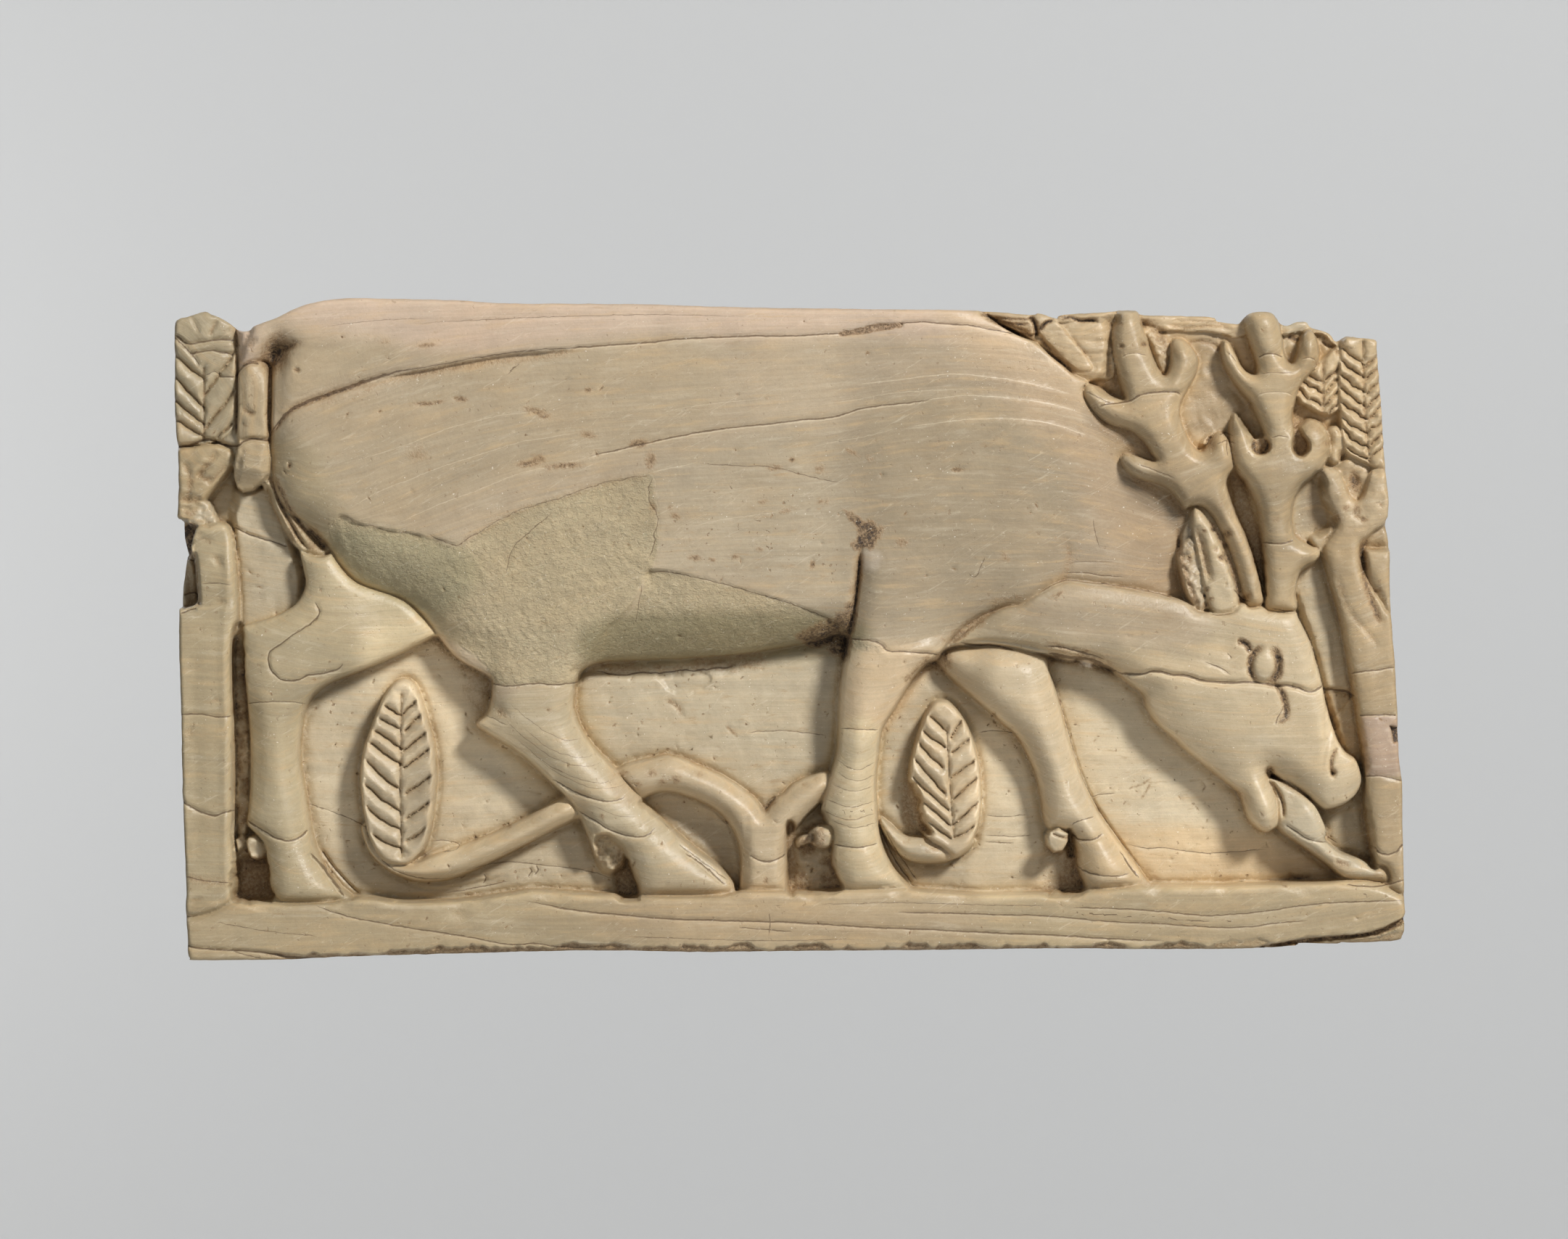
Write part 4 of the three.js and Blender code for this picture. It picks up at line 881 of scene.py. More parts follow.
pit([(886, 1108), (900, 1102), (930, 1100), (952, 1106), (985, 1126), (1004, 1150), (1012, 1180), (1012, 1204),
     (990, 1184), (960, 1160), (925, 1132)], 4.0, 7, 0.12, 3, 103)
pit([(1246, 1080), (1262, 1088), (1270, 1110), (1276, 1134), (1284, 1148), (1262, 1148), (1244, 1136)], 4.2, 6, 0.35, 4, 104)
pit([(345, 690), (368, 672), (378, 700), (390, 726), (400, 746), (380, 742), (350, 730), (325, 716), (330, 700)], 5.7, 6, 0.08)

# deep corner where the tail leaves the rump, and the slit below it
# the hollow's dark colour is dirt and painted shade
dent(380, 488, 12.0, 18.0, 2.0, 20, 1.0, 0.9)
dent(395, 479, 13.0, 4.5, 0.7, -16, 1.0, 0.75)
furrow([(377, 486), (374, 510), (372, 540), (371, 580), (371, 612)], 0.25, 2.4, 0.04, 0.4)
furrow([(383, 486), (379, 520), (378, 560), (377, 600)], -0.16, 3.0, 0.1)

# ---------------------------------------------------------------- body layers and cracks
crack([(371, 606), (380, 588), (400, 567), (420, 557), (440, 549), (480, 535), (520, 521), (570, 508)], 0.5, 3.4, 1.0, 0.3, 1.5, 101, 1.2, 0.12)
furrow([(374, 602), (400, 570), (440, 551), (480, 537), (512, 525)], 0.15, 1.5, 0.1, 0.7, 1.0, 129)
ledge([(470, 541), (520, 524), (560, 515), (600, 508), (640, 500), (700, 490), (760, 485), (830, 481)], -0.42, 9, 1, 0.3, 1.2)
# painted shadow: a darker band below the step of the growth layer; this furrow has no depth and only darkens
furrow([(500, 536), (570, 518), (620, 509), (680, 500), (740, 493), (800, 488)], 0.0, 4.5, 0.25, 0.3, 1.2, 128)
crack([(486, 533), (520, 521), (560, 511), (600, 505), (640, 497), (700, 487), (740, 483), (800, 480)], 0.14, 1.0, 0.8, 0.02, 0, 102)
ledge([(470, 541), (520, 524), (560, 515), (600, 508), (640, 500), (700, 490), (760, 485), (830, 481)], -0.55, 60, 1, 0.25, 5.0)
# painted shadow along the same band
stain([(440, 553), (480, 538), (560, 515), (640, 500), (740, 486), (800, 482), (760, 494), (700, 500), (620, 514), (540, 532), (480, 552),
       (450, 562)], 0.3, 3, 3, 133, 14, 0.4)
crack([(790, 480), (880, 474), (960, 467), (1050, 464), (1093, 464), (1160, 460)], 0.2, 1.5, 1.0, 0.02, 1.2, 103)
w, m = patch([(1156, 463), (1164, 457), (1180, 454), (1200, 449), (1215, 447), (1243, 446), (1242, 452), (1220, 456),
              (1200, 460), (1175, 463)], 1.6, 1.5, 104)
H[w] -= 0.26 * m
DIRT_AND_PAINTED_SHADE[w] = np.maximum(DIRT_AND_PAINTED_SHADE[w], 0.6 * m)
crack([(1240, 447), (1270, 445), (1300, 447), (1330, 449), (1360, 454), (1400, 461)], 0.2, 1.3, 1.0, 0.05, 1.2, 105)
lip_line([(467, 642), (520, 627), (567, 612), (611, 594), (660, 580), (700, 572), (760, 566)], 0.9, 0.03, 14, 1, 0.2, 106)
lip_line([(478, 705), (522, 679), (570, 660), (604, 646), (663, 627), (718, 610), (755, 604), (800, 596)], 1.0, 0.03, 14, 1, 0.1, 107)
lip_line([(548, 723), (604, 697), (663, 675), (718, 653), (774, 641), (820, 628)], 1.0, 0.03, 14, 1, 0.1, 108)
crack([(812, 630), (850, 621), (880, 614), (940, 601), (1000, 591), (1060, 585), (1100, 580), (1140, 577), (1160, 573),
       (1180, 566), (1200, 562), (1220, 559), (1260, 555), (1285, 550)], 0.16, 1.4, 1.0, 0.06, 1.7, 109)
ledge([(820, 630), (940, 603), (1060, 587), (1160, 575), (1220, 561), (1300, 550), (1400, 552)], 0.05, 30, 1, 0.2, 1.5)
lip_line([(1270, 553), (1300, 549), (1340, 546), (1400, 550), (1450, 558), (1490, 569)], 1.2, 0.04, 14, 1, 0.08, 110)
lip_line([(1180, 531), (1233, 525), (1290, 518), (1332, 517), (1397, 525), (1440, 534), (1485, 546)], 1.1, 0.04, 14, 1, 0.1, 111)
lip_line([(1256, 588), (1300, 583), (1344, 578), (1397, 578), (1451, 585), (1500, 601)], 1.2, 0.04, 14, 1, 0.06, 112)
lip_line([(1114, 561), (1180, 552), (1237, 542), (1306, 538), (1350, 537)], 0.7, 0.02, 14, 1, 0.2, 113)
lip_line([(1120, 616), (1160, 608), (1203, 600), (1236, 590)], 0.7, 0.02, 14, 1, 0.2, 114)
lip_line([(900, 573), (950, 562), (1015, 554), (1060, 550)], 0.7, 0.02, 14, 1, 0.2, 115)
lip_line([(896, 652), (930, 645), (961, 638)], 1.0, 0.03, 14, 1, 0.2, 116)
crack([(961, 638), (985, 641), (1025, 643), (1050, 643), (1080, 648), (1120, 658), (1166, 668)], 0.05, 0.9, 0.8, 0.15, 0, 117)
lip_line([(948, 727), (1000, 716), (1050, 709), (1091, 703)], 0.7, 0.02, 14, 1, 0.15, 118)
lip_line([(938, 692), (1000, 680), (1072, 669)], 0.5, 0.02, 14, 1, 0.2, 119)
crack([(552, 449), (640, 443), (760, 438), (900, 435), (1040, 437)], 0.05, 0.6, 0.8, 0.2, 0, 120)
crack([(440, 452), (520, 443), (600, 439)], 0.03, 0.5, 0.7, 0.2, 0, 121)
crack([(700, 516), (708, 508), (717, 503)], 0.08, 0.8, 0.9, 0.2, 0, 123)
crack([(1335, 790), (1341, 795), (1348, 792), (1352, 780), (1358, 768)], 0.06, 0.8, 1.0, 0.1, 0, 124, 0.2)
furrow([(1460, 735), (1470, 752), (1474, 770), (1470, 790), (1462, 812)], 0.16, 5.0, 0.3, 0.25)
crack([(1466, 789), (1500, 790), (1520, 793), (1552, 795)], 0.08, 1.0, 0.9, 0.2, 0.8, 125)
crack([(1470, 776), (1500, 774), (1540, 775)], 0.04, 0.7, 0.8, 0.2, 0, 126)
crack([(1507, 715), (1511, 738), (1517, 758)], 0.08, 1.1, 0.8, 0.2, 0, 127)
for cx, cy, rx, ry, dp, an, dt in [
        (583, 557, 7, 2.2, 0.14, -8, 0.5), (633, 549, 5, 1.8, 0.1, 0, 0.4), (411, 511, 3.2, 2.4, 0.25, 20, 0.6),
        (400, 642, 2.2, 3.0, 0.2, 0, 0.6), (1320, 648, 6, 2.2, 0.14, 0, 0.65), (1120, 778, 2.6, 4.2, 0.12, 10, 0.75),
        (1243, 748, 6, 4.0, 0.0, 0, 0.5), (1228, 725, 2.6, 5.0, 0.0, 0, 0.35), (737, 568, 9, 4.0, 0.05, 0, 0.3),
        (811, 600, 10, 3.0, 0.03, 14, 0.5), (881, 612, 9, 4.0, 0.06, -5, 0.75), (897, 636, 5, 8.0, 0.05, 10, 0.65),
        (737, 638, 11, 5.0, 0.05, -12, 0.3), (765, 644, 12, 3.0, 0.03, -4, 0.42), (589, 477, 10, 2.4, 0.04, -5, 0.45),
        (533, 472, 9, 4.0, 0.0, 0, 0.28), (578, 622, 12, 8.0, 0.0, 0, 0.22), (812, 538, 3.5, 2.4, 0.08, 0, 0.5),
        (1052, 692, 5, 2.6, 0.04, 0, 0.45), (1092, 634, 3.0, 2.4, 0.08, 0, 0.6), (1130, 646, 5, 5.0, 0.0, 30, 0.42),
        (1134, 693, 7, 2.0, 0.0, -5, 0.45), (1085, 704, 9, 2.0, 0.0, -10, 0.4), (1175, 624, 9, 2.4, 0.03, 25, 0.42),
        (1200, 632, 6, 2.0, 0.0, 30, 0.4), (1068, 645, 9, 3.0, 0.02, 0, 0.45), (958, 769, 7, 3.0, 0.03, 10, 0.5),
        (982, 772, 5, 2.5, 0.02, 0, 0.45), (1013, 768, 5, 3.0, 0.02, 0, 0.5), (1047, 758, 4, 2.5, 0.02, 0, 0.4),
        (1088, 780, 8, 1.8, 0.0, 0, 0.35), (945, 745, 6, 2.0, 0.0, 0, 0.35), (1385, 768, 6, 4.0, 0.02, 40, 0.42),
        (1460, 820, 8, 3.0, 0.03, -20, 0.55), (1196, 488, 2.0, 2.0, 0.1, 0, 0.7), (1493, 683, 4, 2.0, 0.0, 0, 0.35),
        (900, 700, 4, 6, 0.05, 0, 0.4), (925, 700, 5, 3, 0.04, 0, 0.4), (932, 712, 6, 3, 0.04, 30, 0.45),
        (575, 629, 12, 5, 0.0, 10, 0.3), (600, 556, 10, 2.0, 0.06, -10, 0.6), (636, 551, 7, 2.6, 0.08, 10, 0.6), (726, 640, 9, 3.4, 0.06, 0, 0.7),
        (744, 634, 7, 5.0, 0.04, 0, 0.45), (782, 642, 16, 2.6, 0.04, -3, 0.6), (748, 572, 10, 3.4, 0.05, 20, 0.6), (730, 563, 5, 3, 0.03, 0, 0.5)]:
    dent(cx, cy, rx * 1.1, ry * 1.15, dp, an, 1.3, min(0.66, dt * 1.1))
# the star-shaped stain over the shoulder, its pale chip and the wedge of dirt below
stain([(1164, 704), (1180, 711), (1194, 720), (1204, 717), (1209, 726), (1218, 731), (1213, 742), (1207, 752), (1203, 760),
       (1193, 754), (1184, 758), (1172, 752), (1180, 742), (1184, 733), (1174, 722)], 0.95, 2.5, 4, 131, 7, 0.2)
dent(1197, 731, 10, 12, 0.1, 0, 1.3)
dent(1196, 770, 9, 10, -0.14, 0, 1.5)
stain([(1176, 820), (1180, 835), (1177, 868), (1172, 902), (1162, 906), (1140, 896), (1108, 884), (1098, 876), (1130, 862),
       (1150, 850), (1166, 834)], 1.0, 6, 8, 132, 12, 0.3)
furrow([(1186, 762), (1182, 800), (1177, 840), (1171, 880), (1164, 915)], 0.5, 2.6, 0.08, 0.7)
# darker patches in the colour; the first three, along the shoulder's left edge and the breast's edge, are painted shade
for pts, v, e in [([(1178, 760), (1172, 820), (1184, 822), (1188, 764)], 0.45, 3),
                  ([(1246, 938), (1272, 908), (1300, 896), (1316, 912), (1302, 930), (1276, 924)], 0.7, 5),
                  ([(1296, 884), (1320, 862), (1350, 846), (1372, 838), (1366, 852), (1338, 872), (1312, 893)], 0.55, 5),
                  ([(1366, 826), (1400, 818), (1418, 822), (1402, 832), (1372, 838)], 0.35, 5),
                  ([(1440, 478), (1460, 488), (1482, 510), (1476, 516), (1452, 500)], 0.45, 3),
                  ([(590, 868), (640, 905), (676, 936), (676, 962), (655, 992), (636, 968), (628, 935), (600, 900)], 0.35, 12),
                  ([(380, 676), (398, 706), (424, 730), (456, 760), (440, 762), (404, 746), (388, 716)], 0.6, 5),
                  ([(818, 914), (900, 916), (1000, 908), (1060, 906), (1055, 918), (960, 926), (880, 930), (822, 930)], 0.5, 5)]:
    stain(pts, v, e, 6, int(v * 100) + 140, 12, 0.4)

# ---------------------------------------------------------------- grey-green filler at the haunch and belly
FILL1 = [(453, 732), (470, 711), (489, 720), (516, 727), (550, 733), (591, 741), (633, 753), (671, 727), (717, 704), (752, 691),
         (785, 683), (820, 671), (841, 664), (880, 657), (900, 656), (903, 690), (908, 720), (906, 760), (898, 788),
         (885, 806), (870, 838), (838, 868), (822, 898), (806, 926), (796, 944), (740, 942), (700, 945), (679, 941),
         (672, 920), (640, 893), (610, 872), (580, 836), (540, 814), (500, 795), (470, 770)]
FILL2 = [(893, 787), (921, 789), (950, 794), (1004, 807), (1060, 823), (1100, 836), (1145, 853), (1165, 872), (1130, 884),
         (1075, 894), (1021, 902), (950, 908), (879, 911), (826, 914), (812, 908), (830, 880), (842, 864), (872, 840), (886, 812)]
for n_, (pts, sink) in enumerate(((FILL1, 0.15), (FILL2, 0.1))):
    w, m = patch(pts, 2.2, 3.0, 160 + n_, 14)
    FILL[w] = np.maximum(FILL[w], m)
    x, y = X[w], Y[w]
    lump = 0.06 * noise(x, y, (22.0, 13.0), 162 + n_, 3) + 0.04 * noise(x, y, 6.0, 164 + n_, 2)
    lump += 0.07 * noise(x * 0.8 - y * 0.6, x * 0.6 + y * 0.8, (5.0, 17.0), 167 + n_, 2) * np.clip(0.5 + noise(x, y, 46.0, 168, 2), 0, 1)
    lump += 0.06 * noise(x * 0.8 - y * 0.6, x * 0.6 + y * 0.8, (4.0, 14.0), 169, 2) * ramp(x, 610, 680) * (1 - ramp(x, 730, 800)) * ramp(y, 760, 800)
    H[w] += m * (lump - sink * (0.5 + 0.5 * noise(x, y, 60.0, 166, 2)))
ledge([(453, 732), (470, 711), (489, 720), (516, 727), (550, 733), (591, 741), (633, 753)], -0.3, 26, 1, 0.15, 4.0)
ledge([(640, 748), (674, 728), (715, 706), (785, 684), (841, 665), (896, 656)], -0.14, 18, 1, 0.1, 2.0)
crack([(455, 730), (470, 711), (489, 720), (516, 727), (550, 733), (585, 740)], 0.08, 0.6, 0.5, 0.03, 0.3, 170, 3.6, 0.1)
crack([(590, 736), (608, 745), (631, 752), (648, 741), (660, 734)], 0.12, 1.0, 0.8, 0.15, 0.4, 171, 1.0, 0.15)
crack([(640, 747), (671, 727), (717, 704), (785, 683), (841, 664), (897, 655)], 0.06, 0.9, 0.6, 0.03, 0.5, 172, 3.4, 0.2)
crack([(760, 709), (742, 724), (722, 740), (708, 756), (702, 775), (697, 792)], 0.06, 0.7, 0.9, 0.1, 0, 173, 2.0)
crack([(900, 660), (896, 690), (906, 715), (902, 745), (896, 770)], 0.08, 1.0, 0.8, 0.1, 0.3, 174, 4.0)
crack([(893, 788), (921, 789), (950, 794), (1004, 807), (1060, 823), (1100, 836), (1148, 855)], 0.12, 1.0, 0.8, 0.04, 0.4, 175, 1.4)
crack([(886, 806), (880, 840), (874, 862)], 0.04, 0.7, 0.8, 0.1, 0, 176, 2.0)
crack([(678, 942), (700, 945), (740, 942), (770, 944), (796, 940)], 0.16, 1.2, 1.0, 0.03, 0.9, 177, 1.0)
crack([(822, 926), (850, 930), (890, 928), (930, 926), (970, 923), (1010, 920)], 0.2, 1.6, 0.9, 0.05, 0.4, 178, 2.4)
w, m = patch([(908, 929), (936, 931), (972, 930), (978, 940), (958, 952), (934, 956), (918, 948), (908, 940)], 3.5, 6, 179, 11)
H[w] -= 0.26 * m
for k, (cx, cy, rx, ry) in enumerate([(990, 918, 8, 4), (1008, 914, 6, 5), (1012, 926, 5, 3), (966, 926, 6, 3)]):
    dent(cx, cy, rx, ry, 0.14 if k % 2 else -0.12, 12 * k - 14, 1.3, 0.3)
w, m = patch([(898, 660), (925, 672), (940, 700), (945, 735), (928, 762), (905, 770), (902, 720)], 8, 8, 180, 16)
H[w] += 0.05 * m * noise(X[w], Y[w], 7.0, 181, 3)
SPECK[w] = np.maximum(SPECK[w], 0.8 * m)

# ---------------------------------------------------------------- shoulder, forelegs
crack([(1172, 881), (1200, 883), (1215, 889), (1224, 897), (1260, 899), (1296, 902)], 0.24, 1.6, 1.0, 0.05, 0.8, 190, 1.0)
w, m = patch([(1171, 882), (1198, 883), (1216, 890), (1214, 897), (1190, 895), (1169, 893)], 1.5, 1.5, 191)
FILL[w] = np.maximum(FILL[w], 0.9 * m)
crack([(1159, 1004), (1185, 1005), (1212, 1006)], 0.08, 1.0, 0.9, 0.1, 0.8, 192, 0.5)
for k, (y0, x0, x1, sag, wd) in enumerate([(1046, 1153, 1208, 14, 0.6), (1062, 1152, 1209, 14, 0.5), (1080, 1146, 1207, 10, 0.5),
                                         (1100, 1138, 1207, 12, 0.7), (1116, 1134, 1208, 13, 0.6), (1130, 1146, 1210, 10, 0.6)]):
    crack([(x0, y0), (x0 + (x1 - x0) * 0.3, y0 + sag * 0.8), (x0 + (x1 - x0) * 0.6, y0 + sag), (x1, y0 + sag * 0.3)],
          0.04, wd, 0.9, 0.15, 0.4, 200 + k, 0.8)
crack([(1150, 1164), (1170, 1167), (1190, 1167), (1210, 1162)], 0.16, 1.4, 1.0, 0.06, 0.8, 210, 0.6)
crack([(1214, 1140), (1226, 1170), (1242, 1198), (1258, 1218)], 0.3, 1.6, 0.9, 0.08, 1.2, 211, 0.4)
crack([(1222, 1146), (1236, 1172), (1252, 1196), (1266, 1216)], 0.2, 1.2, 0.8, 0.1, 0.6, 212, 0.4)
form([(1114, 1152), (1122, 1141), (1134, 1137), (1147, 1140), (1150, 1156), (1143, 1168), (1130, 1170), (1118, 1163)],
     lambda x, y, s: 8.2 + 0.25 * noise(x, y, 8.0, 256, 2), 9, 1.4, wall=5, soft=2, groove=(3, 0.3))
form([(1098, 1158), (1110, 1150), (1122, 1150), (1122, 1160), (1108, 1166), (1099, 1168)], 6.6, 8, 1.2, wall=4, soft=2, groove=(3, 0.2))
# far foreleg
furrow([(1449, 912), (1461, 950), (1474, 996), (1490, 1050), (1506, 1090), (1530, 1130), (1556, 1168), (1582, 1206)], -0.14, 3.0, 0.1)
crack([(1443, 909), (1456, 946), (1470, 992), (1485, 1046), (1502, 1090), (1524, 1128), (1550, 1165), (1578, 1206)], 0.08, 0.8, 0.7, 0.05, 0, 220, 0.4)
crack([(1323, 886), (1345, 889), (1372, 890), (1400, 897)], 0.3, 1.8, 1.0, 0.1, 1.4, 221, 1.0)
furrow([(1318, 899), (1345, 897), (1372, 900)], -0.12, 3.0, 0.2)
crack([(1479, 1149), (1487, 1157), (1500, 1158), (1510, 1156), (1520, 1149)], 0.26, 1.8, 1.0, 0.08, 1.4, 222, 0.6)
crack([(1478, 1137), (1490, 1131), (1508, 1126)], 0.08, 1.2, 0.9, 0.1, 0.9, 223, 0.6)
crack([(1486, 1195), (1500, 1203), (1522, 1207), (1545, 1207), (1558, 1203)], 0.16, 1.3, 1.0, 0.08, 0.8, 224, 0.5)
crack([(1544, 1173), (1555, 1190), (1570, 1211)], 0.28, 1.5, 0.9, 0.12, 0.9, 225, 0.4)
form([(1447, 1146), (1460, 1142), (1474, 1149), (1474, 1160), (1466, 1174), (1454, 1176), (1445, 1166), (1443, 1154)],
     lambda x, y, s: 8.5 - 0.5 * ramp(y, 1150, 1176) - 0.25 * ramp(x, 1454, 1470), 4, 0.5, wall=4, soft=1, groove=(3, 0.25), smoothed=False)
furrow([(1450, 1148), (1460, 1153), (1472, 1156)], 0.35, 1.6, 0.1, 0.4)
furrow([(1473, 1150), (1476, 1164), (1478, 1184)], 0.6, 2.4, 0.1, 0.6)
# near hind leg
crack([(762, 1074), (790, 1090), (812, 1099), (834, 1104), (852, 1103), (862, 1097)], 0.24, 1.5, 1.0, 0.1, 1.3, 230, 0.6)
crack([(796, 1117), (820, 1131), (842, 1144), (866, 1152), (890, 1152), (905, 1140)], 0.22, 1.5, 1.0, 0.1, 1.2, 231, 0.6)
for k, pts in enumerate([[(700, 966), (740, 1000), (780, 1020), (810, 1015)], [(690, 985), (730, 1022), (775, 1050), (815, 1056), (838, 1044)],
                         [(706, 1012), (750, 1050), (800, 1074), (838, 1078), (856, 1066)], [(742, 1046), (770, 1066), (810, 1084), (850, 1086), (866, 1074)],
                         [(720, 1002), (760, 1032), (800, 1044), (826, 1036)]]):
    crack(pts, 0.02, 0.5, 0.8, 0.2, 0.0, 235 + k, 0.8)
crack([(818, 1110), (850, 1124), (880, 1126)], 0.02, 0.5, 0.7, 0.2, 0, 243)
furrow([(664, 1000), (700, 1024), (738, 1052), (776, 1090), (806, 1136)], -0.16, 4.0, 0.15)
crack([(945, 1176), (970, 1194), (1000, 1220)], 0.3, 1.8, 0.9, 0.1, 1.3, 240, 0.4)
crack([(935, 1164), (965, 1186), (1004, 1214)], 0.2, 1.2, 0.7, 0.1, 0.9, 241, 0.4)
dent(693, 983, 9, 5, 0.2, 30, 1.2, 0.45)
dent(757, 978, 5, 3, 0.05, 20, 1.2, 0.3)
crack([(668, 985), (680, 990), (700, 1000)], 0.1, 1.0, 0.8, 0.2, 0.9, 242, 0.6)
w, m = patch([(820, 1150), (836, 1150), (850, 1166), (862, 1180), (850, 1196), (832, 1200), (822, 1186), (816, 1168)], 3, 3, 244)
H[w] += m * 0.35 * noise(X[w], Y[w], 9.0, 245, 2)
DIRT_AND_PAINTED_SHADE[w] = np.maximum(DIRT_AND_PAINTED_SHADE[w], 0.15 * m)
# far hind leg
crack([(435, 829), (441, 845), (432, 858), (415, 868), (400, 879), (385, 890), (374, 897), (371, 907), (373, 920), (381, 931),
       (391, 938), (408, 938), (426, 931), (446, 928), (466, 923), (474, 914)], 0.18, 1.4, 1.0, 0.03, 0.9, 250, 1.2)
ledge([(435, 829), (441, 845), (432, 858), (415, 868), (400, 879), (385, 890), (374, 897), (371, 907), (373, 920), (381, 931),
       (391, 938), (408, 938), (426, 931), (446, 928)], 0.12, 26, -1, 0.15, 2.0)
crack([(340, 970), (370, 967), (400, 967), (421, 970)], 0.1, 1.0, 0.9, 0.05, 0.6, 251, 0.6)
crack([(340, 1131), (355, 1140), (370, 1149), (386, 1157), (402, 1159), (415, 1153), (424, 1144)], 0.26, 1.8, 1.0, 0.03, 1.2, 252, 0.6)
crack([(428, 1176), (444, 1196), (462, 1220), (474, 1236)], 0.5, 2.0, 1.0, 0.08, 1.2, 253, 0.4)
crack([(440, 1172), (458, 1198), (480, 1222), (494, 1234)], 0.3, 1.3, 0.8, 0.1, 0.8, 254, 0.4)
furrow([(352, 880), (352, 960), (356, 1040), (356, 1120)], 0.08, 7.0, 0.2)
furrow([(388, 990), (386, 1060), (390, 1130)], -0.1, 9.0, 0.3)
form([(337, 1160), (341, 1154), (352, 1152), (362, 1162), (366, 1176), (359, 1184), (352, 1187), (344, 1184), (340, 1174)],
     lambda x, y, s: 7.0 - 0.035 * (x - 350) - 0.02 * (y - 1168) + 0.3 * noise(x, y, 7.0, 255, 3), 5, 0.7, wall=5, soft=1, groove=(3, 0.3), smoothed=False)
form([(322, 1158), (333, 1150), (338, 1158), (334, 1170), (325, 1176)], lambda x, y, s: 6.0 + 0.4 * noise(x, y, 6.0, 257, 2), 4, 0.5,
     wall=4, soft=1, groove=(3, 0.2), smoothed=False)
crack([(322, 726), (340, 736), (362, 743), (394, 753)], 0.3, 1.5, 1.0, 0.04, 1.6, 256, 1.2)
furrow([(330, 860), (352, 857), (378, 849)], -0.12, 4.0, 0.1)

# ---------------------------------------------------------------- left side: column, corner leaf, tail
ledge([(262, 745), (270, 770), (272, 800), (274, 838)], -0.5, 30, -1, 0.05, 2.0)
furrow([(266, 760), (270, 790), (273, 838)], 0.9, 2.6, 0.1, 0.5)
furrow([(248, 768), (256, 800), (262, 840)], 0.5, 5.0, 0.2, 0.3, 2.0)
for k, pts in enumerate([[(249, 768), (262, 772), (270, 770)], [(250, 820), (262, 816), (272, 822)], [(250, 845), (262, 842), (272, 838)]]):
    crack(pts, 0.3, 1.8, 0.9, 0.05, 0.8, 260 + k, 1.5)
crack([(250, 985), (275, 984), (300, 988), (319, 987)], 0.16, 1.3, 1.0, 0.02, 0.6, 264, 0.8)
crack([(252, 1104), (265, 1113), (280, 1120), (298, 1124), (310, 1120), (320, 1117)], 0.26, 1.7, 1.0, 0.02, 1.0, 265, 0.8)
crack([(278, 805), (300, 804), (320, 806)], 0.06, 0.9, 0.8, 0.1, 0.4, 266, 0.6)
crack([(257, 1208), (280, 1213), (318, 1217)], 0.06, 1.1, 0.9, 0.1, 0.0, 267, 0.8, 0.3)
furrow([(311, 742), (314, 800), (309, 900), (311, 1000), (311, 1100), (310, 1225)], -0.12, 4.0, 0.05)
furrow([(268, 880), (268, 960), (270, 1060), (272, 1200)], 0.16, 9.0, 0.1)
for cx, cy, rx, ry, dp in [(299, 770, 6, 4, 0.2), (303, 778, 5, 3, 0.2), (285, 745, 7, 4, 0.16), (275, 738, 5, 5, 0.15), (312, 1010, 4, 7, 0.12),
                           (260, 1010, 6, 9, 0.2), (306, 830, 8, 4, 0.14), (300, 965, 5, 3, 0.1)]:
    dent(cx, cy, rx, ry, dp, 20, 1.4, 0.2)
ledge([(240, 617), (265, 613), (284, 607), (298, 607), (303, 611), (330, 615)], -0.2, 22, 1, 0.03, 2.0)
crack([(240, 617), (252, 615), (265, 613), (278, 607), (288, 606), (298, 608), (303, 612), (316, 615), (330, 615), (335, 610),
       (345, 606), (357, 606), (370, 608)], 0.55, 2.0, 1.0, 0.01, 1.2, 270, 0.9)
crack([(325, 519), (331, 511), (340, 503), (350, 500), (357, 502)], 0.45, 2.0, 1.0, 0.06, 1.0, 271, 0.8)
furrow([(324, 455), (326, 490), (327, 520), (327, 560), (326, 600)], 0.3, 1.4, 0.06, 0.5, 0.8, 59)
furrow([(350, 452), (340, 470), (332, 492), (328, 505)], 0.35, 3.0, 0.15, 0.2)
for cx, cy, rx, ry, dp, an in [(346, 570, 5, 3.0, 0.35, 0), (340, 565, 4, 5, 0.2, 0), (350, 470, 6, 5, 0.2, 20), (346, 476, 4, 3, 0.15, 0)]:
    dent(cx, cy, rx, ry, dp, an, 1.4, 0.35)
furrow([(336, 618), (333, 632), (327, 646)], 0.2, 3.0, 0.2)
furrow([(322, 645), (340, 648), (356, 646), (368, 652)], -0.1, 3.5, 0.1)
w, m = patch([(322, 648), (340, 650), (357, 647), (371, 655), (364, 668), (348, 680), (330, 680), (318, 664)], 3.0)
H[w] -= 0.5 * m * ramp(Y[w], 644, 674)
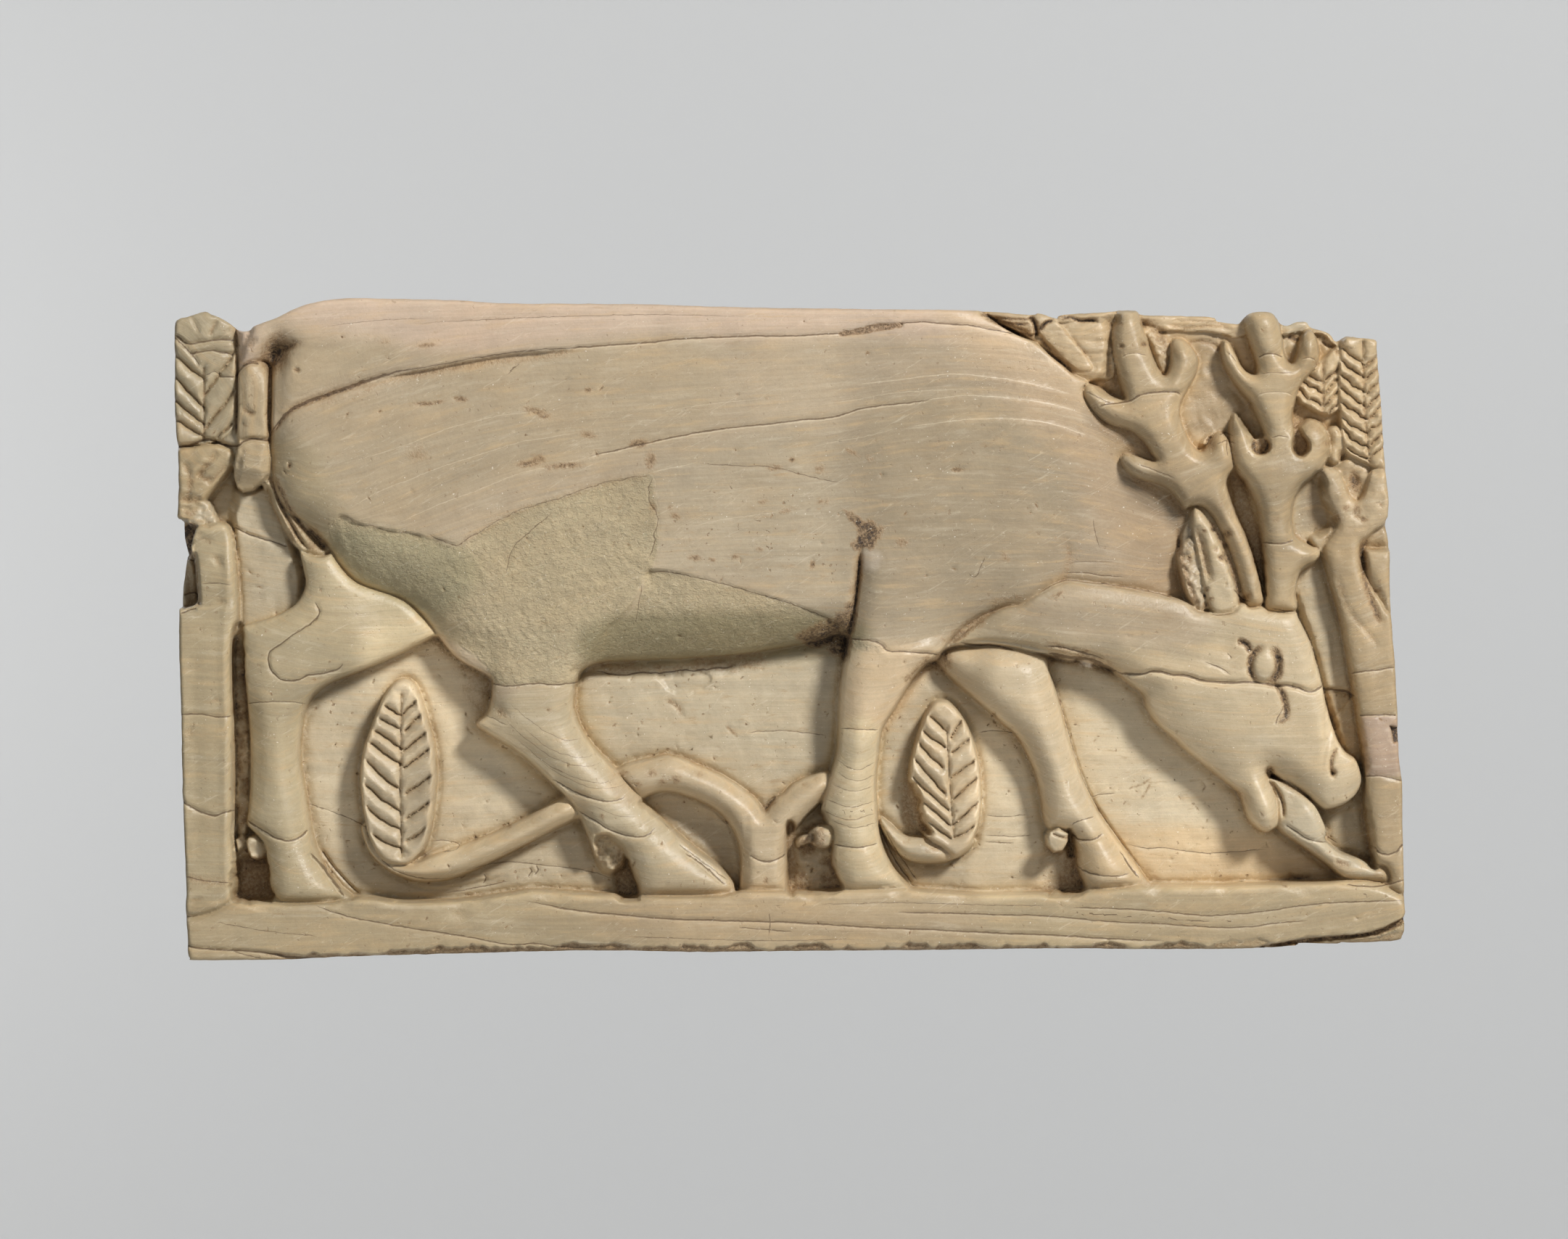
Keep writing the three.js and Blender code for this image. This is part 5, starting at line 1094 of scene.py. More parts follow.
# corner leaf: the bud above it, and the cracks across
crack([(242, 462), (258, 474), (274, 472), (290, 469), (306, 468), (322, 470)], 0.4, 2.0, 0.9, 0.03, 0.9, 280, 1.2)
crack([(262, 488), (276, 485), (292, 483), (304, 485), (322, 489)], 0.35, 1.8, 0.9, 0.06, 0.9, 281, 1.2)
crack([(240, 464), (252, 476), (264, 488), (276, 504)], 0.3, 1.8, 0.8, 0.08, 0.8, 282, 0.8)
crack([(283, 518), (296, 512), (306, 520)], 0.15, 1.2, 0.8, 0.1, 0.6, 283, 1.0)
crack([(302, 520), (314, 519), (324, 520)], 0.2, 1.4, 0.9, 0.1, 0.9, 284, 0.8)
dent(283, 446, 22, 14, -0.2, 0, 1.6)
furrow([(262, 436), (270, 448), (276, 460)], 0.2, 2.6, 0.2, 0.15)
furrow([(300, 440), (294, 452), (288, 464)], 0.25, 2.4, 0.2, 0.25)
furrow([(316, 450), (322, 462), (326, 480)], 0.3, 3.0, 0.2, 0.2)
for pts, dp in [([(250, 632), (262, 660), (256, 700)], 0.25), ([(300, 622), (286, 640), (268, 664)], 0.35), ([(314, 640), (300, 655), (284, 668)], 0.25),
                ([(246, 684), (262, 690), (278, 686)], 0.3), ([(252, 706), (262, 708), (274, 704)], 0.35), ([(272, 650), (284, 660), (292, 658)], 0.2)]:
    furrow(pts, dp, 3.4, 0.2, 0.3, 1.5, int(dp * 100))
for cx, cy, rx, ry, dp in [(286, 636, 9, 3, -0.14), (262, 676, 9, 4, -0.14), (256, 700, 7, 2.4, 0.2), (248, 690, 6, 2, 0.16), (266, 640, 10, 4, 0.1)]:
    dent(cx, cy, rx, ry, dp, 0, 1.4)
w, m = patch([(256, 702), (268, 690), (282, 690), (292, 702), (296, 720), (276, 726), (258, 722)], 3, 3, 285)
H[w] = H[w] * (1 - m) + (7.0 + 0.3 * noise(X[w], Y[w], 9.0, 286, 3)) * m

# ---------------------------------------------------------------- head
ball_w = window([(1700, 870), (1790, 970)], 0)
x, y = X[ball_w], Y[ball_w]
a = math.radians(8)
u, v = (x - 1742) * math.cos(a) + (y - 917) * math.sin(a), -(x - 1742) * math.sin(a) + (y - 917) * math.cos(a)
r = np.hypot(u / 16.5, v / 19.5)
sides_ = np.clip(np.abs(u) / 15, 0, 1) ** 1.3
H[ball_w] += 0.34 * np.sqrt(np.clip(1 - r ** 2, 0, 1)) - np.exp(-0.5 * ((r - 1.2) / 0.2) ** 2) * (0.12 + 0.42 * sides_)
ring = np.exp(-0.5 * ((r - 1.24) / np.where(u > 0, 0.30, 0.20)) ** 2) * sides_ * np.clip(0.75 + 0.5 * noise(x, y, 6.0, 297, 2), 0, 1)
DIRT_AND_PAINTED_SHADE[ball_w] = np.maximum(DIRT_AND_PAINTED_SHADE[ball_w], 1.0 * ring)
furrow([(1704, 885), (1712, 885), (1719, 890), (1723, 900)], 0.45, 3.0, 0.15, 0.9)
furrow([(1732, 896), (1746, 893), (1760, 902), (1768, 918), (1769, 936)], -0.14, 4.0, 0.2)
crack([(1757, 943), (1765, 954), (1770, 968), (1772, 984)], 0.26, 2.0, 0.8, 0.1, 0.5, 290, 1.4)
crack([(1768, 975), (1762, 986), (1757, 1000)], 0.14, 1.4, 0.7, 0.15, 0.5, 291, 1.0)
furrow([(1754, 940), (1767, 956), (1772, 984), (1760, 1000)], 0.2, 3.4, 0.2, 0.75, 1.0, 289)
crack([(1540, 927), (1560, 929), (1575, 929), (1585, 926), (1600, 926), (1615, 930), (1630, 931), (1640, 933), (1655, 938),
       (1670, 940), (1700, 941), (1720, 940), (1740, 942), (1760, 945), (1775, 945), (1788, 948), (1800, 953), (1810, 953),
       (1820, 947), (1827, 943)], 0.45, 2.3, 1.0, 0.03, 1.6, 292, 0.8)
crack([(1826, 950), (1845, 951), (1860, 954), (1868, 960)], 0.4, 2.2, 1.0, 0.03, 0.8, 293, 0.8)
ledge([(1826, 950), (1845, 951), (1860, 954), (1868, 960)], -0.35, 60, 1, 0.02, 2.0)
crack([(1446, 900), (1470, 905), (1500, 909), (1520, 917), (1542, 927)], 0.6, 3.6, 1.0, 0.1, 0.6, 294, 1.8, 0.25)
crack([(1440, 890), (1468, 893), (1496, 900), (1524, 909)], 0.3, 1.8, 1.0, 0.15, 0.8, 295, 2.0)
stain([(1444, 884), (1480, 890), (1520, 902), (1544, 920), (1548, 932), (1520, 926), (1480, 916), (1446, 908)], 0.5, 4, 6, 296, 10, 0.5)
w, m = patch([(1491, 912), (1499, 911), (1508, 916), (1507, 920), (1498, 919)], 1.2, 0, 1, 9, False)
H[w] += 0.5 * m
CHIP_W, CHIP_M = w, m
for pts, dp, wd in [([(1660, 912), (1680, 920), (1697, 930)], 0.12, 1.4), ([(1692, 899), (1697, 908)], 0.1, 1.2), ([(1668, 847), (1684, 848), (1700, 845)], 0.1, 1.2),
                    ([(1700, 812), (1712, 824), (1724, 830)], 0.3, 1.6), ([(1752, 838), (1770, 842), (1786, 843)], 0.2, 1.4)]:
    crack(pts, dp, wd, 0.8, 0.2, 0.6, int(wd * 100) + int(dp * 1000))
# nostril, lips, chin
furrow([(1843, 1030), (1837, 1041), (1834, 1054), (1835, 1065), (1840, 1073)], 0.4, 2.0, 0.15, 0.55, 0.6)
dent(1838, 1065, 3.0, 3.4, 0.45, 0, 1.3, 0.6)
dent(1700, 985, 60, 24, -0.2, 34, 1.0)
dent(1806, 1030, 26, 30, -0.14, 0, 1.0)
dent(1606, 916, 44, 14, 0.14, 14, 1.0)
dent(1804, 900, 12, 40, 0.14, -16, 1.0)
dent(1700, 905, 20, 12, 0.14, 20, 1.0)
furrow([(1842, 1040), (1856, 1044), (1866, 1054)], -0.16, 5.0, 0.2)
furrow([(1752, 1066), (1768, 1078), (1790, 1092), (1812, 1108)], 0.25, 2.2, 0.1, 0.35)
dent(1751, 1064, 5, 6, 0.9, 20, 1.4, 0.6)
dent(1868, 1090, 9, 12, 0.25, -20, 1.2)
furrow([(1788, 1078), (1822, 1102), (1848, 1110), (1868, 1098)], -0.16, 6.0, 0.2)
furrow([(1752, 1076), (1762, 1090), (1769, 1108), (1770, 1128)], 0.5, 1.8, 0.1, 0.45)
dent(1743, 1118, 17, 22, -0.5, -12, 1.3)
furrow([(1706, 1086), (1716, 1098), (1722, 1116)], 0.35, 3.0, 0.2, 0.2)
crack([(1772, 1136), (1784, 1144), (1800, 1155), (1816, 1160), (1830, 1161)], 0.26, 1.6, 0.8, 0.08, 1.2, 300, 1.0)
crack([(1826, 1146), (1836, 1156), (1848, 1164)], 0.14, 1.2, 0.7, 0.15, 1.0, 301, 0.6)
dent(1780, 1100, 6, 4, 0.15, 30, 1.3, 0.2)
# crest of the neck
furrow([(1404, 842), (1421, 829), (1450, 812), (1471, 805), (1500, 808), (1540, 812), (1580, 819), (1620, 828), (1660, 843)], -0.12, 4.0, 0.08)
crack([(1430, 819), (1450, 807), (1471, 800), (1500, 803), (1540, 807), (1580, 814), (1620, 823)], 0.1, 1.0, 0.7, 0.08, 1.6, 302, 1.0)

# ---------------------------------------------------------------- antlers
crack([(1516, 562), (1522, 558), (1540, 556), (1558, 553), (1568, 547), (1580, 543), (1600, 541), (1622, 541), (1628, 545)],
      0.3, 1.8, 1.0, 0.04, 1.4, 310, 0.9)
crack([(1546, 492), (1555, 488), (1565, 487), (1580, 490)], 0.12, 1.1, 0.6, 0.08, 1.5, 311, 0.4)
crack([(1735, 493), (1742, 489), (1755, 488), (1767, 492)], 0.24, 1.5, 1.0, 0.06, 1.4, 312, 0.4)
crack([(1794, 495), (1805, 493), (1814, 497)], 0.12, 1.0, 0.6, 0.1, 1.3, 313, 0.3)
crack([(1732, 546), (1745, 541), (1770, 541), (1783, 545)], 0.06, 0.8, 0.5, 0.08, 1.3, 314, 0.3)
crack([(1734, 516), (1755, 514), (1785, 515)], 0.04, 0.7, 0.5, 0.1, 0.9, 315, 0.3)
crack([(1742, 747), (1755, 749), (1770, 749), (1782, 745)], 0.28, 1.7, 1.0, 0.05, 1.3, 316, 0.5)
crack([(1497, 540), (1508, 545), (1520, 552), (1534, 557)], 0.12, 1.1, 0.7, 0.1, 0.8, 317, 1.0)
crack([(1752, 603), (1764, 601), (1776, 604)], 0.08, 1.0, 0.7, 0.1, 1.0, 318, 0.4)
w = window([(1714, 592), (1762, 640)], 0)
hole = np.hypot(X[w] - 1738, (Y[w] - 615) * 1.04)
m = 1 - ramp(hole, 10.5, 15.0)
H[w] = H[w] * (1 - m) + (7.7 + 0.2 * noise(X[w], Y[w], 7.0, 319, 2)) * m - 0.12 * np.exp(-0.5 * ((hole - 15) / 2.5) ** 2)
DIRT_AND_PAINTED_SHADE[w] = np.maximum(DIRT_AND_PAINTED_SHADE[w], 0.45 * m)
w, m = patch([(1783, 584), (1790, 588), (1797, 600), (1804, 610), (1803, 622), (1795, 629), (1786, 627), (1781, 616), (1783, 600)], 3.0, 1.0, 318)
H[w] = H[w] * (1 - m) + np.minimum(H[w], 7.7) * m
DIRT_AND_PAINTED_SHADE[w] = np.maximum(DIRT_AND_PAINTED_SHADE[w], 0.35 * m)
for cx, cy, rx, ry, dp, dt in [(1546, 478, 3, 2.6, 0.3, 0.6), (1577, 475, 4, 3.4, 0.4, 0.7), (1660, 732, 3, 2.5, 0.2, 0.6), (1684, 770, 4, 3, 0.25, 0.6),
                               (1676, 757, 3, 3, 0.2, 0.4), (1692, 736, 6, 5, 0.2, 0.5), (1690, 752, 3, 3, 0.2, 0.5), (1712, 828, 5, 4, 0.25, 0.3),
                               (1758, 716, 5, 5, 0.12, 0.3), (1720, 822, 4, 4, 0.3, 0.5), (1815, 500, 4, 3, 0.15, 0.3), (1670, 612, 5, 9, 0.3, 0.45)]:
    dent(cx, cy, rx, ry, dp, 0, 1.4, dt)
dent(1600, 590, 26, 22, -0.25, 0, 1.3)
dent(1762, 658, 30, 16, -0.25, 0, 1.3)
for pts, dp in [([(1692, 604), (1690, 616), (1692, 630)], 0.16), ([(1680, 600), (1692, 596), (1700, 602)], 0.14), ([(1676, 612), (1690, 608), (1704, 612)], 0.1),
                ([(1566, 640), (1590, 648), (1620, 660)], 0.06), ([(1690, 484), (1698, 492), (1704, 500)], 0.14)]:
    crack(pts, dp, 1.2, 0.7, 0.15, 0.9, int(dp * 1000) + 320, 0.6)
furrow([(1690, 668), (1705, 710), (1722, 756), (1734, 810)], -0.18, 4.0, 0.1)
furrow([(1668, 716), (1686, 756), (1700, 806)], -0.12, 4.0, 0.1)
furrow([(1624, 722), (1626, 745), (1630, 772), (1640, 806), (1652, 834)], 0.2, 2.4, 0.1, 0.4, 2.0, 331)
furrow([(1668, 716), (1684, 746), (1698, 782), (1712, 828)], 0.1, 2.0, 0.05, 0.6, 1.5, 333)
for k, (cx, cy) in enumerate([(1682, 768), (1688, 764), (1692, 774), (1664, 812), (1660, 822), (1670, 826), (1662, 834), (1672, 730), (1692, 736), (1640, 770)]):
    dent(cx, cy, 3.0, 2.6, 0.14, 30 * k, 1.3, 0.8)

# broken top edge behind the antlers
for k, (pts, dp, wd, dt) in enumerate([
        ([(1346, 433), (1372, 440), (1396, 446), (1420, 448)], 0.25, 1.6, 0.75), ([(1356, 440), (1384, 450), (1410, 459), (1428, 464)], 0.22, 1.6, 0.65),
        ([(1370, 436), (1400, 440), (1424, 440)], 0.2, 1.4, 0.6), ([(1380, 443), (1402, 452), (1424, 456)], 0.2, 1.3, 0.5), ([(1420, 436), (1428, 448), (1430, 464)], 0.7, 2.4, 0.9),
        ([(1452, 440), (1440, 446), (1434, 456)], 0.4, 2.0, 0.8), ([(1458, 440), (1475, 437), (1490, 441), (1516, 442)], 0.4, 2.0, 0.8),
        ([(1434, 466), (1450, 486), (1472, 506), (1486, 516)], 0.2, 1.6, 0.6), ([(1460, 452), (1480, 470), (1500, 494)], 0.12, 1.6, 0.3),
        ([(1576, 442), (1594, 452), (1610, 460)], 0.35, 4.5, 0.4), ([(1612, 448), (1640, 452), (1668, 448), (1700, 452)], 0.25, 2.0, 0.3),
        ([(1620, 440), (1660, 443), (1696, 448)], 0.2, 1.6, 0.25), ([(1776, 462), (1786, 466), (1790, 470)], 0.3, 3.0, 0.6),
        ([(1640, 470), (1668, 472), (1684, 480)], 0.25, 2.4, 0.3), ([(1822, 470), (1836, 478), (1846, 488)], 0.3, 2.0, 0.5)]):
    furrow(pts, dp, wd, 0.12, dt, 2.0, 340 + k)
w, m = patch([(1346, 428), (1460, 432), (1524, 432), (1524, 520), (1498, 528), (1470, 500), (1430, 470), (1380, 446)], 6, 0)
H[w] += m * 0.1 * noise(X[w], Y[w], (40.0, 5.0), 360, 3)
w, m = patch([(1576, 436), (1716, 442), (1716, 462), (1690, 470), (1640, 462), (1600, 466), (1580, 452)], 5, 0)
H[w] += m * 0.16 * noise(X[w], Y[w], (30.0, 6.0), 361, 3)
w, m = patch([(1600, 500), (1660, 470), (1700, 520), (1690, 560), (1640, 620), (1632, 560)], 8, 0)
H[w] += m * 0.12 * noise(X[w], Y[w], 14.0, 362, 3)

# ---------------------------------------------------------------- plants on the right
furrow([(1845, 792), (1852, 824), (1862, 846), (1876, 862), (1890, 878), (1900, 892)], 0.16, 3.0, 0.1, 0.2, 1.0, 370)
furrow([(1883, 738), (1878, 762), (1880, 790), (1888, 820), (1896, 842), (1902, 862)], 0.3, 3.6, 0.1, 0.6, 1.5, 371)
crack([(1864, 928), (1880, 925), (1900, 923), (1922, 919)], 0.2, 1.4, 1.0, 0.03, 1.3, 372, 0.8)
crack([(1874, 986), (1900, 985), (1924, 986)], 0.22, 1.5, 1.0, 0.03, 0.8, 373, 0.6)
crack([(1882, 1070), (1900, 1069), (1916, 1072), (1932, 1076)], 0.18, 1.4, 0.9, 0.03, 1.3, 374, 0.6)
crack([(1894, 1166), (1900, 1174), (1912, 1178), (1924, 1174), (1934, 1163)], 0.24, 1.6, 1.0, 0.04, 0.9, 375, 0.6)
w, m = patch([(1916, 1001), (1930, 1001), (1932, 1023), (1921, 1024)], 1.4, 1.0, 376, 6, False)
H[w] -= 0.7 * m
DIRT_AND_PAINTED_SHADE[w] = np.maximum(DIRT_AND_PAINTED_SHADE[w], 0.75 * m)
for cx, cy, rx, ry, dp, dt in [(1890, 660, 8, 5, -0.14, 0), (1880, 716, 5, 4, 0.2, 0.5), (1870, 704, 5, 9, 0.16, 0.5), (1895, 756, 8, 10, 0.15, 0.2),
                               (1903, 790, 6, 10, -0.12, 0), (1899, 815, 5, 4, 0.2, 0.5), (1834, 724, 4, 2.4, 0.06, 0.4), (1844, 714, 4, 4, 0.1, 0.5),
                               (1856, 700, 5, 3, 0.08, 0.5), (1844, 605, 8, 6, -0.15, 0), (1812, 588, 14, 10, 0.1, 0.2), (1828, 610, 6, 5, 0.2, 0.4)]:
    dent(cx, cy, rx, ry, dp, 0, 1.4, dt)
w, m = patch([(1815, 630), (1860, 600), (1930, 630), (1930, 730), (1850, 740), (1815, 720)], 8, 0)
H[w] += m * 0.14 * noise(X[w], Y[w], 11.0, 380, 3)
w, m = patch([(1785, 500), (1850, 465), (1930, 465), (1930, 640), (1850, 640)], 8, 0)
H[w] += m * 0.24 * noise(X[w], Y[w], (13.0, 10.0), 381, 3)
furrow([(1862, 740), (1868, 800), (1880, 880), (1890, 960), (1902, 1060), (1908, 1160)], -0.15, 8.0, 0.05)

# ---------------------------------------------------------------- stems and leaf bases
crack([(1034, 1179), (1045, 1185), (1060, 1188), (1075, 1183), (1084, 1177)], 0.22, 1.4, 1.0, 0.04, 1.0, 390, 0.6)
furrow([(1054, 1120), (1060, 1112), (1072, 1102)], 0.3, 3.0, 0.2, 0.4)
for pts in ([(1029, 1110), (1030, 1150), (1030, 1190), (1028, 1224)], [(1078, 1130), (1080, 1170), (1078, 1224)]):
    furrow(pts, 0.08, 3.0, 0.15)
for cx, cy, rx, ry, dp, dt in [(898, 1066, 6, 5, 0.04, 0.5), (932, 1074, 6, 5, 0.03, 0.5), (966, 1068, 6, 4, 0.03, 0.35), (914, 1078, 5, 4, 0.02, 0.4), (880, 1082, 5, 5, 0.03, 0.4),
                               (942, 1056, 4, 3, 0.02, 0.25), (860, 1066, 6, 4, 0.05, 0.45), (1110, 1082, 5, 4, 0.12, 0.3), (1126, 1074, 4, 3, 0.1, 0.3), (1056, 1214, 3, 4, 0.1, 0.6),
                               (702, 1140, 3, 2, 0.05, 0.5), (830, 1126, 3, 5, 0.05, 0.5), (1290, 1170, 8, 4, 0.08, 0.3), (1250, 1160, 6, 4, 0.1, 0.35)]:
    dent(cx, cy, rx, ry, dp, 0, 1.3, dt)
ledge([(516, 1184), (536, 1200), (560, 1216), (590, 1226), (640, 1220), (700, 1206)], -0.3, 22, 1, 0.15, 3.0)
crack([(524, 1184), (545, 1200), (580, 1211), (615, 1211)], 0.14, 1.2, 0.8, 0.08, 0.8, 391, 0.8)
crack([(593, 1160), (612, 1160), (632, 1166), (626, 1172), (606, 1176)], 0.1, 1.0, 0.7, 0.1, 0.7, 392, 1.0)
for k, pts in enumerate([[(420, 1108), (460, 1122), (505, 1142)], [(640, 1200), (690, 1190), (740, 1193), (800, 1200), (850, 1214)],
                         [(1360, 1153), (1390, 1154), (1424, 1153)], [(1358, 1161), (1380, 1163), (1400, 1163)],
                         [(1555, 1165), (1580, 1170), (1610, 1171), (1640, 1175), (1670, 1177), (1700, 1176), (1750, 1172)],
                         [(1360, 1125), (1390, 1127), (1416, 1124)], [(612, 1232), (640, 1228), (700, 1216)],
                         [(1506, 1100), (1520, 1096), (1540, 1094)], [(1030, 1010), (1080, 1008), (1140, 1014)], [(1350, 1010), (1380, 1008), (1404, 1012)]]):
    crack(pts, 0.08, 1.0, 0.8, 0.12, 0.6, 400 + k, 1.2)
for k, (px_, py_) in enumerate([(738, 1200), (666, 1212), (729, 1203)]):
    crack([(px_, py_ - 6), (px_ + 3, py_), (px_ - 2, py_ + 8)], 0.2, 1.6, 0.9, 0.15, 0.5, 415 + k, 1.0)
for pts, dp, wd in [([(640, 1000), (646, 1010), (652, 1014)], 0.1, 1.3), ([(1000, 1000), (1012, 1012), (1018, 1018)], 0.1, 1.6),
                    ([(916, 964), (935, 976), (940, 990)], 0.16, 3.0), ([(1590, 1078), (1582, 1092), (1575, 1104)], 0.06, 1.4),
                    ([(1556, 1090), (1580, 1080), (1592, 1070)], 0.06, 1.2), ([(1840, 1184), (1850, 1190), (1862, 1192)], 0.3, 3.0),
                    ([(1778, 1205), (1790, 1212), (1812, 1210)], 0.3, 3.0)]:
    furrow(pts, dp, wd, 0.2, 0.4, 1.5, int(wd * 10) + 430)

# ---------------------------------------------------------------- base strip
for k, (pts, dp, wd, lp) in enumerate([
        ([(435, 1247), (460, 1257), (500, 1267), (540, 1274), (580, 1281), (640, 1290), (700, 1301), (740, 1300), (770, 1304), (820, 1307)], 0.14, 1.3, 0.5),
        ([(724, 1241), (760, 1248), (800, 1255), (860, 1261), (920, 1266), (980, 1268), (1060, 1270), (1140, 1274), (1200, 1278), (1260, 1280),
          (1320, 1283), (1380, 1286), (1440, 1288), (1520, 1293), (1560, 1295), (1606, 1296)], 0.2, 1.6, 0.7),
        ([(1020, 1278), (1060, 1281), (1092, 1283)], 0.08, 0.9, 0.4),
        ([(1236, 1257), (1300, 1258), (1360, 1260), (1440, 1262), (1520, 1269), (1600, 1273), (1680, 1278), (1720, 1277), (1760, 1272), (1804, 1268)], 0.14, 1.3, 0.4),
        ([(1476, 1250), (1540, 1252), (1600, 1256), (1640, 1260), (1680, 1261), (1740, 1256), (1780, 1250), (1820, 1245), (1890, 1242), (1936, 1241)], 0.12, 1.2, 0.5),
        ([(1856, 1219), (1880, 1221), (1905, 1221), (1936, 1212)], 0.14, 1.3, 0.8),
        ([(257, 1299), (265, 1305), (290, 1308), (350, 1311), (380, 1315), (400, 1319), (442, 1321)], 0.35, 1.8, 0.9),
        ([(320, 1310), (340, 1316), (360, 1320)], 0.1, 0.9, 0.4),
        ([(300, 1270), (360, 1282), (440, 1290)], 0.02, 0.5, 0.0),
        ([(860, 1290), (960, 1294), (1080, 1296), (1180, 1294)], 0.02, 0.45, 0.0),
        ([(1130, 1246), (1240, 1244), (1360, 1247), (1440, 1248)], 0.02, 0.45, 0.0),
        ([(1060, 1258), (1062, 1270), (1060, 1290)], 0.03, 0.7, 0.0)]):
    crack(pts, dp, wd, 1.0, 0.05, lp, 440 + k, 0.7)
top_edge = [(257, 1238), (318, 1243), (360, 1246), (400, 1249), (450, 1248), (480, 1243), (505, 1240), (560, 1246), (640, 1243), (700, 1235),
            (740, 1230), (800, 1234), (860, 1237), (960, 1239), (1020, 1232), (1100, 1232), (1243, 1229), (1350, 1235), (1421, 1234),
            (1511, 1230), (1575, 1225), (1687, 1223), (1822, 1219), (1893, 1212)]
furrow([(x_, y_ + 7) for x_, y_ in top_edge], -0.1, 4.0, 0.02, 0, 1.5, 460)
for k, x_ in enumerate((270, 360, 470, 640, 660, 760, 880, 1010, 1120, 1240, 1330, 1480, 1600, 1690, 1790)):
    yy = np.interp(x_, [p[0] for p in top_edge], [p[1] for p in top_edge])
    dent(x_, yy + 3, 8 + (k * 7) % 9, 4 + k % 3, 0.22, (k * 37) % 40 - 20, 1.4, 0.1)
dent(634, 1258, 12, 9, 0.25, 30, 1.3, 0.15)
# the lens and the wedge-shaped loss at the bottom right
w, m = patch([(1728, 1308), (1745, 1302), (1770, 1298), (1795, 1294), (1822, 1291), (1860, 1288), (1890, 1284), (1910, 1277), (1926, 1269), (1937, 1262),
              (1940, 1266), (1930, 1276), (1912, 1285), (1895, 1290), (1860, 1294), (1800, 1300), (1760, 1305)], 1.8, 1.0, 470, 9, False)
H[w] -= 1.1 * m
DIRT_AND_PAINTED_SHADE[w] = np.maximum(DIRT_AND_PAINTED_SHADE[w], 0.55 * m)
w, m = patch([(1800, 1301), (1860, 1295), (1900, 1290), (1925, 1280), (1942, 1268), (1945, 1310), (1800, 1310)], 2.0, 0, 1, 9, False)
H[w] -= 0.7 * m
# ragged, dirty lower edge
below = np.interp(X, [257, 440, 740, 960, 1300, 1585, 1786, 1850, 1937], [1324, 1321, 1312, 1313, 1310, 1309, 1304, 1300, 1296]) - Y
chips = 7.0 + 9.0 * noise(X, Y * 0 + 3.0, 34.0, 480, 3) + 3.0 * noise(X, Y, 9.0, 481, 2)
m = (1 - ramp(below - chips, -2.5, 2.5)) * ramp(X, 300, 460) * (1 - 0.5 * ramp(X, 1590, 1720)) * (Y > 1240)
H -= 0.5 * m
DIRT_AND_PAINTED_SHADE = np.maximum(DIRT_AND_PAINTED_SHADE, 0.5 * m)

# ---------------------------------------------------------------- rest of the hand-work: nicks, pits, undulation
rng = np.random.default_rng(77)
for k in range(760):
    cx, cy = rng.uniform(262, 1915), rng.uniform(440, 1300)
    i, j = int((cy - rows[0]) / PITCH), int((cx - cols[0]) / PITCH)
    low = H[i, j] < 5.6
    if not low and rng.random() < 0.74:
        continue
    long_, thin = rng.uniform(1.1, 3.6), rng.uniform(0.7, 1.3)
    dent(cx, cy, long_, thin, rng.uniform(0.05, 0.18), rng.choice([-60, -50, 40, 55, 65, 10]) + rng.normal(0, 12), 1.3, rng.uniform(0.25, 0.8))
ground = 1 - ramp(H, 5.2, 6.0)
SPECK = np.maximum(SPECK, 0.75 * ground)
H += ground * (0.10 * noise(X, Y, (46.0, 30.0), 491, 3) + 0.05 * noise(X, Y, 9.0, 492, 3))
H += (1 - FILL) * (1 - ground) * (0.02 * noise(X, Y, (60.0, 14.0), 493, 3) + 0.02 * noise(X, Y, 8.0, 494, 3))

# ---------------------------------------------------------------- outer edge
EDGE_W = inside_field(EDGE, EVERYWHERE, 40)
H -= 0.30 * (1 - np.clip(EDGE_W / 5.0, 0, 1)) ** 2
H = np.clip(H, 1.6, 10.4)

# ---------------------------------------------------------------- dirt and painted shade that settle in the cuts
HOLLOW1 = np.clip((blur(H, 3.0) - H) / 0.30, 0, 1)
HOLLOW2 = np.clip((blur(H, 8.0) - H) / 0.85, 0, 1)
HOLLOW3 = np.clip((blur(H, 20.0) - H) / 1.8, 0, 1)
PROUD = np.clip((H - blur(H, 3.0)) / 0.22, 0, 1)
for D, W in LINES["crack"]:
    W[CHIP_W] = np.where(CHIP_M > 0.2, -3.0, W[CHIP_W])
blot = 0.5 + 0.5 * noise(X, Y, 44.0, 501, 3)
DIRT_AND_PAINTED_SHADE = np.clip(0.92 * DIRT_AND_PAINTED_SHADE + 0.26 * HOLLOW1 ** 1.5 * (0.1 + 1.1 * blot) + 0.08 * HOLLOW2 * (0.1 + 1.2 * blot), 0, 1)
DIRT_AND_PAINTED_SHADE[CHIP_W] *= 1 - CHIP_M
SHADE_AND_DIRT_HALO = np.clip(0.75 * HOLLOW2 + 0.25 * HOLLOW3 + 0.25 * HOLLOW1, 0, 1)


# ---------------------------------------------------------------- colour of the ivory, part by part, with painted light and shade in some areas
def srgb(r, g, b):
    c = np.array([r, g, b]) / 255.0
    return np.where(c <= 0.04045, c / 12.92, ((c + 0.055) / 1.055) ** 2.4)


